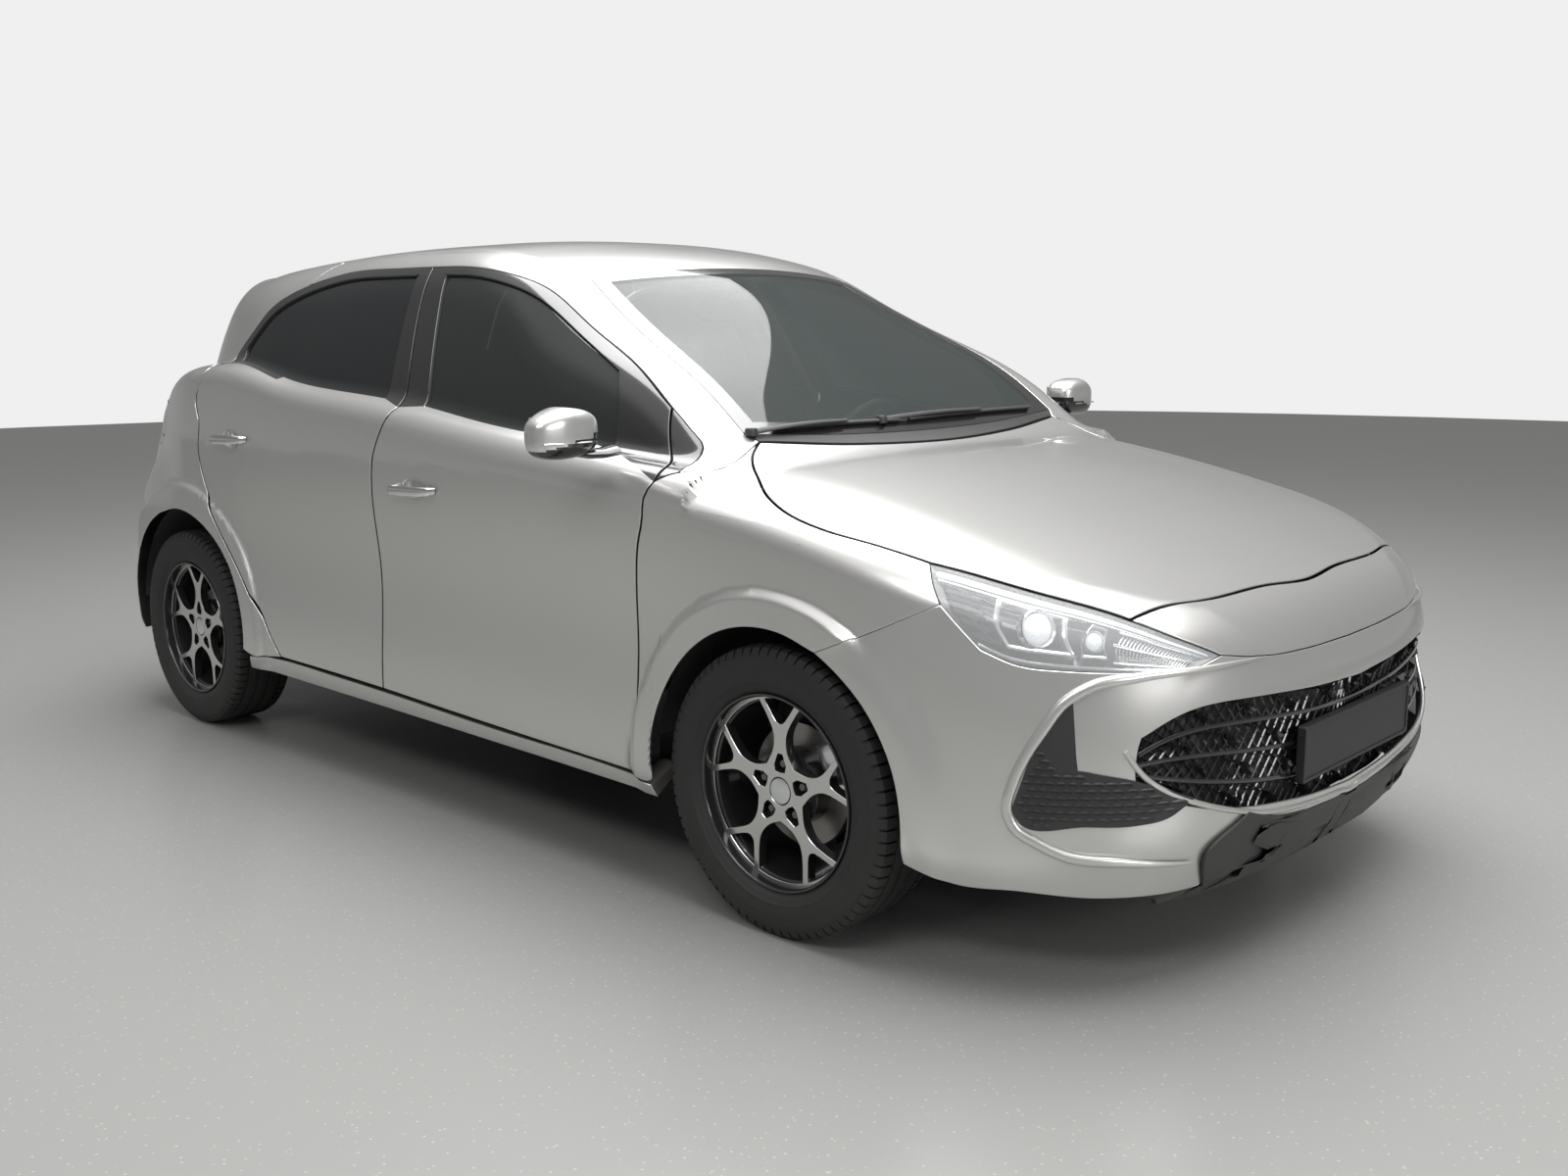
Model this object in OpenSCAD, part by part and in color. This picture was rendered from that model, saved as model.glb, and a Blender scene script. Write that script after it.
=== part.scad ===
// Five-door hatchback car. Row frame: +X forward, +Y left, +Z up,
// origin on the ground under the middle of the overall box.

/* [Overall] */
// overall length, bumper to bumper (mm)
body_length = 4113; // [3950:1:4300]
// overall width without mirrors (mm)
body_width = 1797; // [1700:1:1880]
// overall height on its wheels (mm)
body_height = 1502; // [1430:1:1580]

/* [Wheels] */
// distance between the axles (mm)
wheelbase = 2570; // [2500:1:2640]
// front axle ahead of the middle of the car (mm)
front_axle_x = 1196; // [1160:1:1230]
// distance between the tyre centre planes (mm)
track = 1550; // [1500:1:1570]
// tyre outside diameter (mm)
tyre_diameter = 621; // [600:1:632]
// tyre width (mm)
tyre_width = 195; // [175:1:205]
// diameter where the tyre meets the rim (mm)
rim_diameter = 412; // [380:1:430]
// radius of the front wheel arch openings (mm)
arch_front = 352; // [340:1:365]
// radius of the rear wheel arch openings (mm)
arch_rear = 385; // [365:1:395]

/* [Panels] */
// gap round every part that opens (mm)
shut_gap = 6; // [4:0.5:8]
// hairline between fixed panels (mm)
seam_gap = 0.8; // [0.4:0.1:1.5]
// sheet thickness of wings, quarters and bumpers (mm)
skin = 5; // [3:0.5:8]
// depth of the doors below the waist line (mm)
door_depth = 70; // [50:1:90]
// depth of the door window frames (mm)
frame_depth = 26; // [20:1:30]
// depth of bonnet and roof panels (mm)
lid_depth = 16; // [8:1:30]
// depth of the tailgate (mm)
gate_depth = 40; // [25:1:60]
// glass thickness (mm)
glass = 5; // [3:0.5:8]

/* [Cabin] */
// floor plate height above the ground (mm)
floor_z = 236; // [225:1:240]
// steering wheel diameter (mm)
steering_wheel_diameter = 370; // [340:1:400]
// side of the steering wheel, 1 left, -1 right
drive_side = 1; // [-1:2:1]

/* [Hidden] */
$fn = 72;
MX = body_length/4.113; MY = body_width/1.797; MZ = body_height/1.502;
XF = front_axle_x/1000; XR = (front_axle_x-wheelbase)/1000;
AZ = tyre_diameter/2000;
RF = arch_front/1000; RR = arch_rear/1000;
G = shut_gap/2000; S = seam_gap/2000; T = skin/1000; TAPER = 0.020;

// ---- smooth curve through (x, value) knots ----
function slopes(t) = let(n=len(t), d=[for(i=[0:n-2]) (t[i+1][1]-t[i][1])/(t[i+1][0]-t[i][0])], h=[for(i=[0:n-2]) t[i+1][0]-t[i][0]])
  [for(i=[0:n-1]) i==0 ? d[0] : i==n-1 ? d[n-2] : (d[i-1]*h[i]+d[i]*h[i-1])/(h[i]+h[i-1])];
function knots(t) = [t, slopes(t), [for(i=[0:len(t)-1]) [t[i][0], i]], len(t)];
function at(q,x) = let(t=q[0], m=q[1], n=q[3], i=max(0,min(floor(lookup(x,q[2])),n-2)), a=t[i], b=t[i+1], h=b[0]-a[0], s=(x-a[0])/h, c=s<0?0:s>1?1:s, e=1-c)
  a[1]*(1+2*c)*e*e + b[1]*c*c*(3-2*c) + m[i]*h*c*e*e - m[i+1]*h*c*c*e + (s<0 ? m[0]*(x-t[0][0]) : s>1 ? m[n-1]*(x-t[n-1][0]) : 0);
function smax(a,b,k) = let(h=max(k-abs(a-b),0)/k) max(a,b)+h*h*k/4;
function smin(a,b,k) = -smax(-a,-b,k);
function st(a,b,x) = let(t=max(0,min(1,(x-a)/(b-a)))) t*t*(3-2*t);

// ---- the body form, metres, before the overall scale ----
BELT = knots([[-2.0,1.00],[-1.75,1.055],[-1.45,1.115],[-1.12,1.143],[-0.74,1.095],[-0.16,1.052],[0.15,1.022],[0.60,0.981],[0.86,0.958],[1.2,0.925]]);
CZ = knots([[-2.0,0.93],[-1.6,0.93],[-1.1,0.915],[-0.5,0.918],[0.1,0.920],[0.64,0.901],[1.18,0.868],[1.58,0.820],[1.9,0.76]]);
CY = knots([[-2.0,0.852],[-1.5,0.862],[-1.0,0.869],[-0.4,0.873],[0.2,0.875],[0.8,0.876],[1.3,0.872],[1.8,0.865]]);
SY = knots([[-1.4,0.878],[-0.9,0.872],[0.0,0.868],[0.8,0.872],[1.3,0.880]]);
NOSE = knots([[0.17,1.985],[0.25,2.03],[0.33,2.050],[0.45,2.0565],[0.56,2.052],[0.63,2.036],[0.70,1.996],[0.75,1.94],[0.80,1.86]]);
TAIL = knots([[0.20,-1.975],[0.32,-2.02],[0.45,-2.0565],[0.56,-2.050],[0.62,-2.025],[0.75,-2.0],[0.9,-2.005],[0.97,-1.99],[1.05,-1.93]]);
BON = knots([[0.60,1.005],[0.86,0.985],[1.15,0.945],[1.45,0.885],[1.70,0.820],[1.86,0.765],[1.95,0.725],[2.05,0.62]]);
TOP = knots([[-2.02,0.93],[-1.915,1.02],[-1.77,1.18],[-1.63,1.355],[-1.56,1.405],[-1.30,1.448],[-0.9,1.485],[-0.45,1.502],[0.0,1.483],[0.25,1.425],[0.40,1.36],[0.62,1.225],[0.82,1.085],[0.98,0.965]]);
GY = knots([[-1.85,0.50],[-1.7,0.575],[-1.55,0.655],[-1.4,0.73],[-1.2,0.785],[-0.8,0.818],[-0.3,0.828],[0.3,0.825],[0.7,0.803],[1.0,0.775]]);
GZ = knots([[-1.60,1.075],[-1.35,1.040],[-0.9,0.995],[-0.4,0.965],[0.2,0.940],[0.75,0.915],[1.2,0.90]]);
function plan(x,z) = x>1.25 ? let(s=min(1,(x-1.25)/(at(NOSE,z)-1.25))) max(0.03,pow(max(0,1-pow(s,2.6)),1/3.3))
  : x<-1.45 ? let(r=min(1,(-1.45-x)/(-1.45-at(TAIL,z)))) max(0.03,pow(max(0,1-pow(r,3.4)),1/3.2)) : 1;
function flare1(x,z,c,R) = 0.018*(1-st(R-0.022,R+0.006,norm([x-c,z-AZ])))*st(0.18,0.30,z);
function flare(x,z) = (abs(x-XF)<0.5 ? flare1(x,z,XF,RF+0.078) : 0) + (abs(x-XR)<0.55 ? flare1(x,z,XR,RR+0.090) : 0);
function side(x,z) = let(zc=at(CZ,x), yc=at(CY,x), t=max(0,min(1,(zc-z)/(zc-0.30))), s=(z-zc)/(at(BELT,x)-zc), u=max(0,min(2,(0.30-z)/0.13)))
  yc - (s>0 ? 0.010*s+0.022*s*s : 0) - (t>0 ? (yc-at(SY,x))*t*t*(3-2*t) + 0.016*pow(sin(180*t),2)*st(1.3,0.7,x)*st(-1.3,-0.9,x) : 0)
  - 0.055*u*u - 0.085*st(-1.30,-1.75,x)*st(0.68,0.95,z);
function half(x,z) = (side(x,z)+flare(x,z))*plan(x,z);
function deck(x,a) = max(x>0.55 ? at(BON,x)-0.014*pow(a/0.6,2)-0.04*pow(max(a-0.58,0)/0.3,2) : 0, x<0.95 ? at(BELT,x)+0.01 : 0);
function gside(x,z) = let(h=max(-0.02, z-at(GZ,x))) at(GY,x)-0.30*h-0.28*h*h;
function top(x,y) = let(a=abs(y)/0.65, w=0.15*st(-0.3,0.35,x)*(1-0.8*st(0.25,0.80,x))-0.06*st(-1.2,-1.6,x)) at(TOP,x+w*a*a)-0.050*(1-st(0.15,0.80,x))*pow(a,2.4);
function flow(x,y,z) = smax(max(abs(y)-half(x,z), z<0.9 && x>1.2 ? x-at(NOSE,z) : -1, x<-1.4 ? at(TAIL,z)-x : -1), z>0.6 ? z-deck(x,abs(y)) : -1, 0.06);
function fgh(x,y,z) = smax(abs(y)-gside(x,z), (z-top(x,y))*0.85, 0.09);
function f(p) = let(x=p[0],y=p[1],z=p[2]) z<0.93 || x>1.25 ? flow(x,y,z) : smin(flow(x,y,z), fgh(x,y,z), 0.03);
E = 0.0002;
function grad(p,v) = [f(p+[E,0,0])-v, f(p+[0,E,0])-v, f(p+[0,0,E])-v]/E;
function onto(p,k=4) = k==0 ? p : let(v=f(p), g=grad(p,v), d=v/max(0.05,g*g), s=d*g, L=norm(s)) abs(v)<0.00003 ? p : onto(p-s*(L>0.05 ? 0.05/L : 1), k-1);
function nrm(p) = let(g=grad(p,f(p))) g/norm(g);
function onside(x,z,y,k=9) = k==0 ? [x,y,z] : let(v=f([x,y,z]), g=(f([x,y+E,z])-v)/E) onside(x,z,y-max(-0.05,min(0.05,v/max(0.2,g))),k-1);
function p3(q) = len(q)==3 ? q : onside(q[0],q[1], q[1]>at(BELT,q[0])+0.01 ? gside(q[0],q[1]) : half(q[0],q[1])-0.002);

// ---- curves and patches ----
function cum(P,i=0,s=0,out=[]) = i==len(P)-1 ? concat(out,[s]) : cum(P,i+1,s+norm(P[i+1]-P[i]),concat(out,[s]));
function curve(c,n) = let(P=[for(q=c) p3(q)], s=cum(P), L=s[len(s)-1], K=[for(k=[0:2]) knots([for(i=[0:len(P)-1]) [s[i]/L,P[i][k]]])])
  [for(i=[0:n]) onto([at(K[0],i/n),at(K[1],i/n),at(K[2],i/n)])];
function rev(a) = [for(i=[len(a)-1:-1:0]) a[i]];
function flip(a) = [for(q=a) [q[0],-q[1],q[2]]];
function cat(L) = [for(a=L) for(q=a) q];
// blended grid: c0,c1 run along u at v=0,1; d0,d1 run along v at u=0,1
function coons(c0,c1,d0,d1) = let(n=len(c0)-1, m=len(d0)-1)
  [for(j=[0:m]) let(v=j/m) [for(i=[0:n]) let(u=i/n) (1-v)*c0[i]+v*c1[i]+(1-u)*d0[j]+u*d1[j]-((1-u)*(1-v)*c0[0]+u*(1-v)*c0[n]+(1-u)*v*c1[0]+u*v*c1[n])]];
function fit(g) = [for(r=g) [for(p=r) onto(p)]];
// move the two ends of a row of points inwards by a and b
function squeeze(P,a,b) = let(s=cum(P), L=s[len(s)-1], t=[for(k=[0:2]) [for(i=[0:len(P)-1]) [s[i],P[i][k]]]])
  L<1.3*(a+b) ? P : [for(i=[0:len(P)-1]) let(x=a+s[i]*(L-a-b)/L) [lookup(x,t[0]),lookup(x,t[1]),lookup(x,t[2])]];
function turn(g) = [for(i=[0:len(g[0])-1]) [for(r=g) r[i]]];
// e = [u=0, u=1, v=0, v=1] insets; h = [i0,i1,j0,j1] cells left open
function part(r,i0,i1) = [for(i=[i0:i1]) r[i]];
function inset1(g,a,b,h,w) = [for(j=[0:len(g)-1]) (len(h)==4 && j>=h[2] && j<=h[3]) ? let(r=g[j], n=len(r)-1)
    concat(squeeze(part(r,0,h[0]),a,w), h[1]-h[0]>1 ? part(r,h[0]+1,h[1]-1) : [], squeeze(part(r,h[1],n),w,b)) : squeeze(g[j],a,is_list(b)?b[j]:b)];
function inset(g,e,h=[],w=0) = let(a=inset1(g,e[0],e[1],h,w), b=turn(a), h2=len(h)==4 ? [h[2],h[3],h[0],h[1]] : []) turn(inset1(b,e[2],e[3],h2,w));
function open(i,j,h) = len(h)==4 && i>=h[0] && i<h[1] && j>=h[2] && j<h[3];
// closed solid from an outer and an inner grid
module solid(A,B,h=[]) {
  m=len(A)-1; n=len(A[0])-1; N=(n+1)*(m+1);
  function on(i,j) = i>=0 && i<n && j>=0 && j<m && !open(i,j,h);
  pts = concat([for(r=A) for(p=r) [p[0]*MX,p[1]*MY,p[2]*MZ]], [for(r=B) for(p=r) [p[0]*MX,p[1]*MY,p[2]*MZ]]);
  q = [for(j=[0:m-1]) for(i=[0:n-1]) if(on(i,j)) let(a=j*(n+1)+i, b=a+1, c=b+n+1, d=c-1) each concat(
    [[a,b,c],[a,c,d],[c+N,b+N,a+N],[d+N,c+N,a+N]],
    on(i,j-1) ? [] : [[b,a,a+N],[b,a+N,b+N]], on(i+1,j) ? [] : [[c,b,b+N],[c,b+N,c+N]],
    on(i,j+1) ? [] : [[d,c,c+N],[d,c+N,d+N]], on(i-1,j) ? [] : [[a,d,d+N],[a,d+N,a+N]])];
  polyhedron(points=pts, faces=q, convexity=8);
}
// panel of the body skin: g = fitted grid, e = edge insets, t = thickness, k = extra inset of the inner face
module panel(g,e,t,k=0,h=[],out=0,w=0) {
  A = inset(g,e,h,w); B0 = k>0 ? inset(A,[for(x=e) is_num(x) && x>S*1.5 ? k : 0],h) : A;
  B = [for(r=B0) [for(p=r) p-nrm(p)*(t+out)]];
  A2 = out==0 ? A : [for(r=A) [for(p=r) p-nrm(p)*out]];
  solid(B,A2,h);
}
module both(s) { if(s>0) children(); else mirror([0,1,0]) children(); }

// ---- shut lines and edges, left side: [x, z] on the side, [x, y, z] elsewhere ----
DLOF = [[0.752,1.082],[0.556,1.188],[0.409,1.249],[0.181,1.358],[0.037,1.395],[-0.134,1.417],[-0.298,1.421]];
DLOR = [[-0.298,1.421],[-0.459,1.421],[-0.736,1.413],[-0.933,1.374],[-1.078,1.312],[-1.145,1.247],[-1.212,1.180]];
F_LOW = [[0.785,0.268],[0.784,0.36],[0.784,0.54],[0.787,0.694],[0.802,0.79],[0.822,0.85],[0.828,0.897],[0.845,0.935]];
F_MID = [[0.845,0.935],[0.835,0.968],[0.80,0.995],[0.778,1.035],[0.760,1.068]];
F_TOP = [[0.760,1.068],[0.752,1.082]];
M_LOW = [[-0.258,0.293],[-0.258,0.6],[-0.258,0.85],[-0.245,0.92],[-0.215,1.00],[-0.19,1.055]];
M_MID = [[-0.19,1.055],[-0.22,1.15],[-0.26,1.28],[-0.291,1.398]];
M_TOP = [[-0.291,1.398],[-0.298,1.421]];
R_LOW = [[-0.80,0.300],[-0.86,0.359],[-0.905,0.414],[-1.00,0.523],[-1.118,0.656],[-1.195,0.755],[-1.245,0.884],[-1.235,0.98],[-1.262,1.035],[-1.248,1.10],[-1.228,1.14]];
R_MID = [[-1.228,1.14],[-1.216,1.168]];
R_TOP = [[-1.216,1.168],[-1.212,1.180]];
FW_BOT = [[-0.095,1.060],[0.2,1.026],[0.64,0.990]]; FW_FR = [[0.64,0.990],[0.610,1.085],[0.558,1.160]];
FW_TOP = [[-0.215,1.398],[-0.10,1.393],[0.037,1.373],[0.18,1.334],[0.405,1.228],[0.558,1.160]]; FW_RE = [[-0.095,1.060],[-0.15,1.22],[-0.215,1.398]];
RW_BOT = [[-1.135,1.160],[-0.76,1.108],[-0.28,1.074]]; RW_FR = [[-0.28,1.074],[-0.31,1.22],[-0.348,1.399]];
RW_TOP = [[-1.125,1.225],[-1.055,1.292],[-0.92,1.351],[-0.73,1.390],[-0.46,1.399],[-0.348,1.399]]; RW_RE = [[-1.135,1.160],[-1.15,1.19],[-1.125,1.225]];
F_BOT = [[-0.258,0.293],[0.2,0.281],[0.785,0.268]]; R_BOT = [[-0.80,0.300],[-0.5,0.297],[-0.258,0.293]];
BSIDE = [[0.902,0.590,1.004],[0.93,0.64,0.983],[1.017,0.712,0.939],[1.105,0.775,0.911],[1.20,0.812,0.885],[1.30,0.820,0.866],[1.42,0.802,0.845],[1.536,0.783,0.820]];
HTOP = [[1.536,0.783,0.820],[1.714,0.711,0.779],[1.866,0.606,0.728]];
function arch(c,R,a0,a1,n) = [for(i=[0:n]) let(a=a0+(a1-a0)*i/n) [c+R*cos(a),AZ+R*sin(a)]];
ROOF_SIDE = [[0.215,0.500,1.395],[-0.10,0.545,1.437],[-0.45,0.56,1.455],[-0.85,0.56,1.445],[-1.20,0.545,1.425],[-1.47,0.50,1.395]];
SHOULDER = [[-1.228,1.14],[-1.42,0.79,1.10],[-1.62,0.775,1.055]];

// doors: rows are cut where the window starts and ends
function band(lowbot,row1,row2,row3,sl,sr,wl,wr,k,m,nl,nm,nt) = let(
   lo = coons(lowbot,row1,sl[0],sr[0]), a = coons(part(row1,0,k),part(row2,0,k),sl[1],wl), b = coons(part(row1,k,k+m),part(row2,k,k+m),wl,wr),
   c = coons(part(row1,k+m,k+m+k),part(row2,k+m,k+m+k),wr,sr[1]), hi = coons(row2,row3,sl[2],sr[2]))
   [lo, [for(j=[0:nm]) concat(a[j],[for(i=[1:m]) b[j][i]],[for(i=[1:k]) c[j][i]])], hi, b];
function stack(b) = fit(concat(b[0],[for(j=[1:len(b[1])-1]) b[1][j]],[for(j=[1:len(b[2])-1]) b[2][j]]));
KD=2; MD=9; NF=8; NR=10; NM=5; NT=1;
function sub(c,a,b,n) = [for(i=[0:n]) let(q=(a+(b-a)*i/n)*(len(c)-1), k=min(len(c)-2,floor(q+1e-9)), w=q-k) c[k]*(1-w)+c[k+1]*w];
FMC = curve(F_MID,NM); FTC = curve(F_TOP,NT); DFC = curve(rev(DLOF),KD*2+MD); DRC = curve(rev(DLOR),KD*2+MD);
FLC = curve(F_LOW,NF); RLC = curve(R_LOW,NR); RMC = curve(R_MID,NM); RTC = curve(R_TOP,NT);
function join3(a,b,c) = concat(a,[for(i=[1:len(b)-1]) b[i]],[for(i=[1:len(c)-1]) c[i]]);
FDB = band(curve(F_BOT,KD*2+MD), join3(curve([M_LOW[5],FW_BOT[0]],KD),curve(FW_BOT,MD),curve([FW_BOT[2],F_MID[0]],KD)),
   join3(curve([M_TOP[0],FW_TOP[0]],KD),curve(FW_TOP,MD),curve([FW_TOP[5],F_TOP[0]],KD)), DFC,
   [curve(M_LOW,NF),curve(M_MID,NM),curve(M_TOP,NT)], [FLC,FMC,FTC], curve(FW_RE,NM), curve(FW_FR,NM), KD,MD,NF,NM,NT);
RDB = band(curve(R_BOT,KD*2+MD), join3(curve([R_LOW[10],RW_BOT[0]],KD),curve(RW_BOT,MD),curve([RW_BOT[2],M_LOW[5]],KD)),
   join3(curve([R_TOP[0],RW_TOP[0]],KD),curve(RW_TOP,MD),curve([RW_TOP[5],M_TOP[0]],KD)), DRC,
   [RLC,RMC,RTC], [curve(M_LOW,NR),curve(M_MID,NM),curve(M_TOP,NT)], curve(RW_RE,NM), curve(RW_FR,NM), KD,MD,NR,NM,NT);
module door(b,n) {
  g = stack(b); h = [KD,KD+MD,n,n+NM];
  A = inset(g,[G*1.25,G*1.15,G,G*1.4],h); B0 = inset(A,[TAPER,TAPER,TAPER,0.015],h);
  B = [for(r=B0) [for(p=r) p-nrm(p)*(frame_depth+(door_depth-frame_depth)*st(at(BELT,p[0])-0.01,at(BELT,p[0])-0.16,p[2]))/1000]];
  solid(B,A,h);
}
module pane(b) { g = fit(b[3]); A = inset(g,[0.0014,0.0014,0.0014,0.0014]); solid([for(r=A) [for(p=r) p-nrm(p)*(0.008+glass/1000)]],[for(r=A) [for(p=r) p-nrm(p)*0.008]]); }
module door_front(s) { color("silver") both(s) door(FDB,NF); }
module door_rear(s) { color("silver") both(s) door(RDB,NR); }
module glass_front(s) { color("dimgray") both(s) pane(FDB); }
module glass_rear(s) { color("dimgray") both(s) pane(RDB); }
function wing_d() = concat([[0.785,0.262],[0.83,0.259],[XF-RF+0.004,0.266]],arch(XF,RF,178,67,7));
WLO = curve([[1.338,0.634],[1.47,0.692],[1.592,0.752]],5);
HUP = curve([[1.592,0.752],[1.575,0.775],[1.536,0.783,0.820]],4);
HEND = curve([[1.592,0.752],[1.625,0.815,0.72],[1.675,0.808,0.676]],2);
HLO = curve([[1.675,0.808,0.676],[1.734,0.783,0.653],[1.817,0.730,0.644],[1.877,0.674,0.641],[1.964,0.543,0.637]],8);
HNE = curve([[1.964,0.543,0.637],[1.981,0.472,0.655]],1);
NOSEC = curve([[1.981,0.472,0.655],[2.005,0.38,0.640],[2.025,0.20,0.632],[2.031,0,0.630]],6);
HTC = curve(HTOP,5); HIC = curve([[1.866,0.606,0.728],[1.929,0.548,0.695],[1.981,0.472,0.657]],3);
BSC = curve(BSIDE,14);
WAC = curve([[0.845,0.935],[0.885,0.952],[0.940,0.790,0.957],[0.945,0.72,0.975],[0.902,0.590,1.004]],6);
REC = curve([WAC[1],[0.862,1.006],[0.822,1.035],[0.752,1.082]],3);
module front_wing(s) { color("silver") both(s) panel(fit(coons(curve(wing_d(),14),BSC,cat([FLC,part(WAC,1,6)]),cat([sub(WLO,0,1,10),part(HUP,1,4)]))),[G,S,S,G],T); }
module sail_trim(s) { color("black") both(s) panel(fit(coons(sub(part(WAC,0,1),0,1,4),sub(rev(part(REC,1,3)),0,1,4),cat([FMC,[FTC[1]]]),sub([WAC[1],REC[1]],0,1,6))),[G*1.4,S,S*0.7,S*0.7],T); }
module bonnet() { a=cat([sub(BSC,0,1,7),part(HTC,1,5)]); fr=[[1.866,0.606,0.728],[1.880,0.53,0.741],[1.905,0.40,0.744],[1.915,0.169,0.742],[1.929,0.0,0.735]];
  rr=[[0.902,0.590,1.004],[0.955,0.30,0.990],[0.978,0.0,0.983]];
  color("silver") panel(fit(coons(curve(concat(flip(fr),part(rev(fr),1,4)),16),curve(concat(flip(rr),part(rev(rr),1,2)),16),flip(rev(a)),rev(a))),[G*1.6,G*1.6,G*1.3,G*1.8],lid_depth/1000,0.012); }
RSC = curve(ROOF_SIDE,16); APC = curve([[0.878,0.612,1.020],[0.73,0.602,1.11],[0.589,0.586,1.198],[0.40,0.55,1.30],[0.215,0.500,1.395]],9);
function full(c) = concat(flip(c),part(rev(c),1,len(c)-1));
RFC = curve(full([[0.215,0.500,1.395],[0.265,0.25,1.405],[0.28,0,1.413]]),12); GRC = full([[-1.47,0.50,1.395],[-1.500,0.25,1.420],[-1.505,0,1.425]]);
WBC = curve(full([[0.878,0.612,1.020],[0.918,0.30,1.006],[0.930,0.0,1.001]]),12);
module roof_panel() { color("silver") panel(fit(coons(curve(GRC,12),RFC,flip(rev(RSC)),rev(RSC))),[S*1.5,S*1.5,G*1.4,S],lid_depth/1000); }
module windscreen() { color("dimgray") panel(fit(coons(WBC,RFC,flip(APC),APC)),[S*1.5,S*1.5,S,S],glass/1000); }
module cowl_panel() { a=full([[0.902,0.590,1.004],[0.955,0.30,0.990],[0.978,0.0,0.983]]); e=[[0.902,0.590,1.004],[0.878,0.612,1.020]];
  color("black") panel(fit(coons(curve(a,12),WBC,curve(flip(e),1),curve(e,1))),[0.0034,0.0034,G*1.5,S],0.02); }
RE2 = curve([DRC[5],RSC[10]],2);
module side_rail(s) { lo=cat([REC,part(rev(DFC),1,13),part(rev(DRC),1,8)]);
  color("silver") both(s) panel(fit(coons(lo,cat([curve([[0.902,0.590,1.004],[0.878,0.612,1.020]],2),part(sub(APC,0,1,12),1,12),part(RSC,1,10)]),part(WAC,1,6),sub(RE2,0,1,5))),[S,S*2,G,S],0.012); }
TLB = curve([[-1.67,0.88],[-1.845,0.70,0.875],[-1.920,0.605,0.88]],6); TLT = curve([[-1.62,0.775,1.055],[-1.72,0.71,1.055],[-1.84,0.60,1.035]],6);
TLE = curve([[-1.67,0.88],[-1.62,0.95],[-1.62,0.775,1.055]],5); TLG = curve([[-1.920,0.605,0.88],[-1.899,0.60,0.97],[-1.84,0.60,1.035]],3);
GSB = curve([[-1.964,0.590,0.640],[-1.949,0.593,0.70],[-1.932,0.600,0.80],[-1.920,0.605,0.88]],4);
GS2 = curve([[-1.84,0.60,1.035],[-1.75,0.565,1.09],[-1.655,0.54,1.21],[-1.57,0.52,1.325]],5); GS3 = curve([[-1.57,0.52,1.325],[-1.47,0.50,1.395]],2);
SHC = curve(SHOULDER,12);
module rear_pillar(s) { color("silver") both(s) panel(fit(coons(SHC,sub(part(RSC,10,16),0,1,12),cat([RMC,[RTC[1]],part(DRC,1,5),part(RE2,1,2)]),
   cat([TLT,part(GS2,1,5),part(GS3,1,2)]))),[G,G*1.4,S*0.6,S*1.5],0.012,0.008); }
A145 = arch(XR,RR,145,145,1)[0];
QS0 = curve([A145,[-1.70,0.62]],1); QS1 = curve([[-1.70,0.62],[-1.70,0.74],[-1.67,0.88]],4);
function away(c,d) = [for(i=[0:len(c)-1]) let(t=c[min(i+1,len(c)-1)]-c[max(i-1,0)], o=cross(t,nrm(c[i]))) onto(c[i]+o/norm(o)*d)];
QF = squeeze(curve([[XR+RR-0.003,0.300],[-0.955,0.290],[-0.80,0.300]],10),0,G*1.4);
QT = cat([[QF[10]],part(away(RLC,G*1.4),1,9),squeeze(SHC,G*1.2,0)]);
QB = cat([curve(concat([[XR+RR-0.003,0.300]],arch(XR,RR,2,110,6)),10),part(curve(arch(XR,RR,110,145,3),12),1,12)]);
module quarter_panel(s) { color("silver") both(s) panel(fit(coons(QB,QT,QF,cat([QS0,part(QS1,1,4),part(TLE,1,5)]))),[S,S,S,S],T); }
module sill(s) { color("silver") both(s) panel(fit(coons(curve([[-0.985,0.240],[0,0.235],[0.84,0.225]],12),curve([[-0.955,0.286],[-0.80,0.294],[-0.5,0.291],[-0.258,0.287],[0.2,0.275],[0.785,0.262],[0.838,0.258]],12),curve([[-0.985,0.240],[-0.955,0.286]],2),curve([[0.84,0.225],[0.838,0.258]],2))),[S,S,S,G],0.085); }
module tail_lamp(s) { color("darkred") both(s) panel(fit(coons(TLB,TLT,TLE,sub(TLG,0,1,5))),[S,G,S,S],0.035,0.008); }
GB = [[-1.964,0.590,0.640],[-2.005,0.45,0.632],[-2.018,0.30,0.626],[-2.023,0.0,0.620]];
GBC = curve(full(GB),14);
function band2(lowbot,row1,row2,sl,sr,wl,wr,k,m) = let(
   lo = coons(lowbot,row1,sl[0],sr[0]), a = coons(part(row1,0,k),part(row2,0,k),sl[1],wl), b = coons(part(row1,k,k+m),part(row2,k,k+m),wl,wr),
   c = coons(part(row1,k+m,k+m+k),part(row2,k+m,k+m+k),wr,sr[1])) [lo, [for(j=[0:len(wl)-1]) concat(a[j],[for(i=[1:m]) b[j][i]],[for(i=[1:k]) c[j][i]])]];
RB_B = [[-1.745,0.26],[-1.90,0.70,0.245],[-1.97,0.40,0.235],[-1.99,0.0,0.235]];
RB1 = cat([curve([[-1.70,0.62],[-1.86,0.74,0.63],[-1.964,0.590,0.640]],6)]); 
function left(c) = [for(q=c) p3(q)];
RBS = cat([curve(concat([[-1.745,0.26],[-1.757,0.30]],arch(XR,RR,170,145,2)),4),[QS0[1]]]);
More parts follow.
